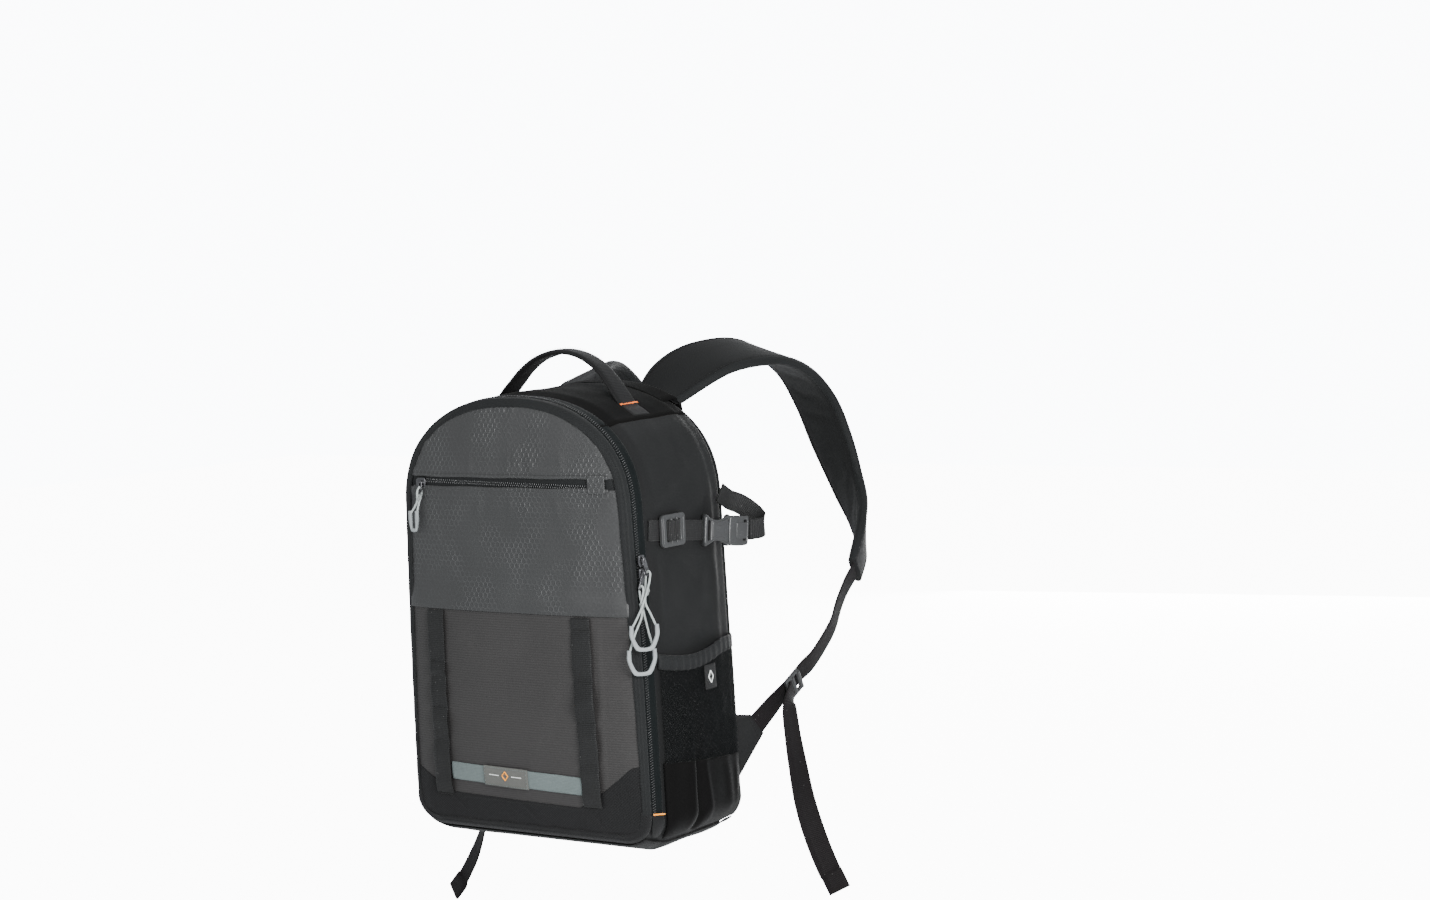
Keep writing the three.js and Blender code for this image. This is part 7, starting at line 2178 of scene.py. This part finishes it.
# Rows of the shoulder straps: shares out, forward and up, the face's direction, share of the width, and
# the part in the left strap's lower lie
SHOULDER_PATH = [
    (0, 0, 0, (0.24, 0, 0.97), 0.92, 0), (0.07, 0.095, 0.09, (0.35, -0.4, 0.85), 0.97, 0.6),
    (0.165, 0.21, 0.16, (0.42, -0.2, 0.88), 1, 1), (0.257, 0.327, 0.195, (0.42, 0, 0.9), 1, 1),
    (0.336, 0.475, 0.2, (0.38, 0.12, 0.91), 1, 1), (0.4, 0.63, 0.16, (0.3, 0.4, 0.86), 0.98, 1),
    (0.457, 0.787, 0.06, (0.25, 0.65, 0.7), 0.96, 0.9), (0.507, 0.908, -0.11,
                                                         (0.2, 0.92, 0.32), 0.94, 0.75),
    (0.564, 0.98, -0.32, (0.25, 0.96, 0.08), 0.92, 0.55), (0.67, 1, -0.54, (0.45, 0.88, 0), 0.88, 0.35),
    (0.814, 0.95, -0.71, (0.65, 0.74, 0), 0.82, 0.2), (0.93, 0.845, -0.86, (0.85, 0.5, 0.05), 0.7, 0.1),
    (1, 0.7, -1, (0.95, 0.25, 0.05), 0.5, 0),
]


def flipped(points, side):
    """The same points on one side or the other."""
    return np.asarray(points) * np.array([side, 1, 1])


def shoulder_point(size, row, side):
    """Middle of a shoulder strap at a row of its path."""
    out, reach, rise, _, _, lie = row
    return np.array([side * (0.056 + out * size.strap_spread), 0.0986 + reach * size.strap_reach,
                     0.446 + rise * size.strap_drop - (size.left_lie * lie if side < 0 else 0.0)])


class BACKPACK_OT_shoulder_straps(BackpackOperator, bpy.types.Operator):
    """Padded shoulder straps with bound edges"""

    bl_idname = "backpack.shoulder_straps"
    bl_label = "Shoulder straps"

    def execute(self, context):
        bag = self.bag(context)
        s = bag.size
        for side, word in ((1, "right"), (-1, "left")):
            points = np.array([shoulder_point(s, row, side) for row in SHOULDER_PATH])
            facing = flipped([unit(row[3]) for row in SHOULDER_PATH], side)
            width = np.array([row[4] * s.pad_width for row in SHOULDER_PATH])
            thick = np.array([s.pad_thickness * (0.75 if row[4] < 0.6 else 1) for row in SHOULDER_PATH])
            columns = np.concatenate([facing, width[:, None], thick[:, None]], 1)
            path, rest = curve(points, 0.0035, columns)
            along, across, out = frames(path, rest[:, :3])
            along[0] = (0, 1, 0)
            section = np.array(resample(np.array(PAD_SECTION + PAD_SECTION[:1]), 0.085))[:-1]
            waves = 0.05 * ripple(path, 0.035, 12.0 + side)[:, None, None]
            rings = (path[:, None] + across[:, None] * section[None, :, :1] * rest[:, None, 3:4] / 2 * 0.985
                     + out[:, None] * (section[None, :, 1:] * (0.94 + waves)) * rest[:, None, 4:5])
            uv = strap_uv(path, [tuple(row) for row in section], s.pad_width)
            obj = tube("shoulder_pad_" + word, rings, uv)
            count = len(section)
            ring = np.arange(len(path) * count) // count
            rim = np.abs(np.tile(section[:, 0], len(path))) > 0.93
            pinned = (ring < 4) | (ring > len(path) - 5) | rim
            puff(obj, pinned, pressure=2.4, cap=0.0022)
            finish_piece(obj, "strap_cloth", ["shoulder_strap_" + word])
            for edge, name in ((1, "outer"), (-1, "inner")):
                turn = np.linspace(-1, 1, 13)
                a = edge * (1.0 + 0.016 - 0.15 * np.abs(turn) ** 2.2)
                t = turn * 0.40
                grid = (path[None] + across[None] * (a[:, None] * rest[None, :, 3] / 2)[..., None] * 0.99
                        + out[None] * (t[:, None] * rest[None, :, 4])[..., None])
                away = unit(across[None] * edge * np.cos(turn * 1.3)[:, None, None] + out[None]
                            * np.sin(turn * 1.3)[:, None, None])
                grid = grid + away * 0.0006
                lengths = distances(path)
                uv = paired(turn[:, None] * 0.008, lengths[None, :])
                piece = shell("pad_binding_" + word + "_" + name, grid, 0.0009, away, uv=uv)
                finish_piece(piece, "binding_tape")
            seams = []
            for edge in (-0.80, 0.80):
                line = path + across * (rest[:, 3:4] / 2 * edge) + out * rest[:, 4:5] * 0.475
                seams.append((line[3:-3], out[3:-3]))
            bits("pad_stitches_" + word, seams, 0.0036, (0.0026, 0.0006, 0.0006), "dark_thread")
        return {"FINISHED"}


# Length of webbing sewn into the pad's end
SEWN_IN = 0.012
# Run of the lower webbing between the wedge and the pad's end: shares out, back and up
WEBBING_RUN = [(0, 0, 0), (0.2, 0.14, 0.12), (0.45, 0.305, 0.26), (0.575, 0.39, 0.334),
               (0.675, 0.49, 0.393),
               (0.75, 0.636, 0.51), (0.8, 0.755, 0.63), (0.85, 0.82, 0.765), (0.94, 0.9, 0.9), (1, 1, 1)]
# Loose ends: out, forward and down as shares of the length, and the part turned to the front
TAILS = {
    1: [(0.005, -0.035, 0.05, 0), (0.01, -0.025, 0.2, 0.1), (0.025, -0.01, 0.36, 0.3),
        (0.055, 0, 0.55, 0.55),
        (0.115, 0, 0.73, 0.8), (0.185, 0, 0.88, 0.95), (0.19, 0, 0.885, 0.95), (0.235, 0, 0.965, 1)],
    -1: [(0.005, -0.035, 0.04, 0), (0.02, -0.08, 0.2, 0.1), (0.04, -0.13, 0.38, 0.3),
         (0.075, -0.16, 0.58, 0.6),
         (0.13, -0.175, 0.74, 0.85), (0.2, -0.18, 0.86, 0.95), (0.203, -0.18, 0.865, 0.95),
         (0.255, -0.18, 0.925, 1)],
}


class BACKPACK_OT_lower_straps(BackpackOperator, bpy.types.Operator):
    """Lower webbing with its wedges, adjusters and loose ends"""

    bl_idname = "backpack.lower_straps"
    bl_label = "Lower straps"

    def execute(self, context):
        bag = self.bag(context)
        s = bag.size
        wedge_x = bag.half - 0.005 + 0.0012 + 2 * s.gap
        wedge_y = bag.tub_back + 0.0024 + 2 * s.gap
        tip = bag.worn(np.array([wedge_x, wedge_y, 0.080])) + 0.030 * np.array([0.474, 0.543, 0.691])
        pad_end = shoulder_point(s, SHOULDER_PATH[-1], 1)
        run = curve(tip + (pad_end - tip) * np.array(WEBBING_RUN), 0.001)
        lengths = distances(run)
        total = lengths[-1]
        place = 0.283
        low_face, high_face = unit([0.93, -0.36, 0]), unit([0.97, 0.2, -0.1])
        tangents = unit(np.gradient(run, axis=0))

        def frame_at(distance):
            at = np.array([np.interp(distance, lengths, run[:, k]) for k in range(3)])
            along = unit([np.interp(distance, lengths, tangents[:, k]) for k in range(3)])
            facing = lerp(low_face, high_face, float(smooth(distance / total, 0, place)))
            across = unit(np.cross(along, facing))
            return at, along, across, unit(np.cross(across, along))

        adjuster_at = place * total
        middle, along, across, out = frame_at(adjuster_at)
        lift = s.webbing / 2 + 2 * s.gap
        tail_out = 2 * lift + 0.004
        slot = 0.22 * 0.022

        def near(distance, away):
            return middle + along * distance + out * away

        for side, word in ((1, "right"), (-1, "left")):
            rows = [frame_at(d) for d in np.linspace(adjuster_at + 0.003, total - 0.003, 22)]
            sewn_in = rows[-1][0] + unit(pad_end - rows[-2][0]) * SEWN_IN
            rows.append((sewn_in, *rows[-1][1:]))
            obj = strap("upper_run_" + word, flipped([r[0] for r in rows], side),
                        flipped([r[3] for r in rows], side),
                        s.lower_webbing, s.webbing)
            finish_piece(obj, "strap_webbing", ["upper_webbing_" + word])

            points = [frame_at(d)[0] for d in (s.gap, 0.5 * adjuster_at, adjuster_at - 0.022)]
            faces = [frame_at(d)[3] for d in (s.gap, 0.5 * adjuster_at, adjuster_at - 0.022)]
            half = tail_out / 2
            for part in (0, 0.15, 0.35, 0.5, 0.65, 0.85, 1):
                turn = part * math.pi
                points.append(near(2 * s.gap - slot - half + half * math.sin(turn),
                                   half - half * math.cos(turn)))
                faces.append(out * math.cos(turn) - along * math.sin(turn))
            start = near(2 * s.gap - slot - half, tail_out)
            length_ = s.right_tail if side > 0 else s.left_tail
            for row in TAILS[side]:
                points.append(start + np.array([row[0], row[1], -row[2]]) * length_)
                faces.append(unit(lerp(-out, np.array([-0.5, 0.86, 0]), row[3])))
            thick = np.full(len(points), s.webbing)
            thick[-2:] = 0.0038
            obj = strap("lower_run_" + word, flipped(points, side), flipped(faces, side), s.lower_webbing,
                        thick, step=0.0018)
            finish_piece(obj, "strap_webbing", ["lower_webbing_" + word])
            hem = np.array(points[-3]) + (np.array(points[-2]) - np.array(points[-3])) * 0.9
            reach = unit(np.cross(unit(np.array(points[-1]) - np.array(points[-2])), faces[-1]))
            line = [hem + reach * t - np.array(faces[-1])
                    * 0.0021 for t in np.linspace(-0.0105, 0.0105, 10)]
            bits("tail_stitches_" + word,
                 [(flipped(line, side), flipped(-np.array(faces[-1]), side))], 0.0030,
                 (0.0021, 0.0007, 0.0005), "dark_thread")
            self.wedge(bag, side, word, tip, frame_at(0.0), wedge_x, wedge_y)
            self.adjuster(side, word, near(0, lift), along, out)
        return {"FINISHED"}

    @staticmethod
    def wedge(bag, side, word, tip, frame0, x, y):
        """Triangle of cloth sewn in at the low back corner."""
        s = bag.size
        half = s.lower_webbing / 2 + 0.001
        seam = [bag.worn(np.array([x, y, z])) for z in (0.048, 0.112)]
        rim = [tip + frame0[2] * half, tip - frame0[2] * half]
        if rim[0][2] > rim[1][2]:
            rim.reverse()
        u, v = np.linspace(0, 1, 16)[None, :, None], np.linspace(0, 1, 16)[:, None, None]
        grid = lerp(lerp(seam[0], seam[1], u), lerp(rim[0], rim[1], u), v)
        grid = grid + frame0[3] * (0.0012 + 0.0007 * np.sin(np.pi * u) * np.sin(np.pi * v))
        uv = paired(u[..., 0] * 0.05, v[..., 0] * 0.03)
        obj = shell("strap_wedge_" + word, flipped(grid, side), 0.0024, flipped(frame0[3], side), uv=uv)
        finish_piece(obj, "side_cloth", ["wedge_" + word])
        line = flipped(grid[-3, 1:-1] + frame0[3] * 0.0002, side)
        bits("wedge_stitches_" + word, [(line, flipped(frame0[3], side))], 0.0026, (0.0019, 0.0006, 0.0005),
             "dark_thread")

    @staticmethod
    def adjuster(side, word, at, along, out):
        """Plate with two slots and a ridged lip."""
        up = flipped(along, side)
        right = unit(np.cross(up, flipped(out, side)))
        outlines = [rounded_box(0.032, 0.022, 0.003)]
        outlines += [rounded_box(0.025, 0.0045, 0.0015, 0, place * 0.22 * 0.022) for place in (-1, 1)]
        at = flipped(at, side)
        pieces = [plate("frame", outlines, 0.0038, at + np.cross(right, up) * 0.002, right, up, 0.0009)]
        for place, radius in ((0.0095, 0.0021), (-0.0095, 0.0018), (0.0, 0.0016)):
            line = np.array([at + right * t + up * place + np.cross(right, up)
                             * 0.0034 for t in np.linspace(-0.0135, 0.0135, 9)])
            pieces.append(round_tube("bar", line, radius, 10))
        obj = joined("strap_adjuster_" + word, pieces)
        obj.data.shade_smooth()
        obj.data.set_sharp_from_angle(angle=math.radians(45))
        finish_piece(obj, "buckle_plastic", ["adjuster_" + word])


OPERATORS = (
    BACKPACK_OT_stage, BACKPACK_OT_pull_cords, BACKPACK_OT_body, BACKPACK_OT_front, BACKPACK_OT_zips,
    BACKPACK_OT_front_webbing, BACKPACK_OT_side_pockets, BACKPACK_OT_side_strap, BACKPACK_OT_handle,
    BACKPACK_OT_shoulder_straps, BACKPACK_OT_lower_straps,
)


class BACKPACK_PT_panel(bpy.types.Panel):
    """Lists the pieces of the backpack with their sizes and colours"""

    bl_idname = "BACKPACK_PT_panel"
    bl_label = "Backpack"
    bl_space_type = "VIEW_3D"
    bl_region_type = "UI"
    bl_category = "Backpack"

    def draw(self, context):
        layout = self.layout
        for operator in OPERATORS:
            layout.operator(operator.bl_idname)
        for group in (context.scene.backpack_sizes, context.scene.backpack_colours):
            box = layout.box()
            for key in group.__annotations__:
                box.prop(group, key)


CLASSES = (BackpackSizes, BackpackColours, *OPERATORS, BACKPACK_PT_panel)


def register():
    """Adds the classes and the scene's properties."""
    for cls in CLASSES:
        bpy.utils.register_class(cls)
    bpy.types.Scene.backpack_sizes = PointerProperty(type=BackpackSizes)
    bpy.types.Scene.backpack_colours = PointerProperty(type=BackpackColours)


def unregister():
    """Removes them again."""
    del bpy.types.Scene.backpack_colours
    del bpy.types.Scene.backpack_sizes
    for cls in reversed(CLASSES):
        bpy.utils.unregister_class(cls)


def main():
    """Builds the whole backpack."""
    register()
    for operator in OPERATORS:
        group, name = operator.bl_idname.split(".")
        getattr(getattr(bpy.ops, group), name)()


if __name__ == "__main__":
    main()
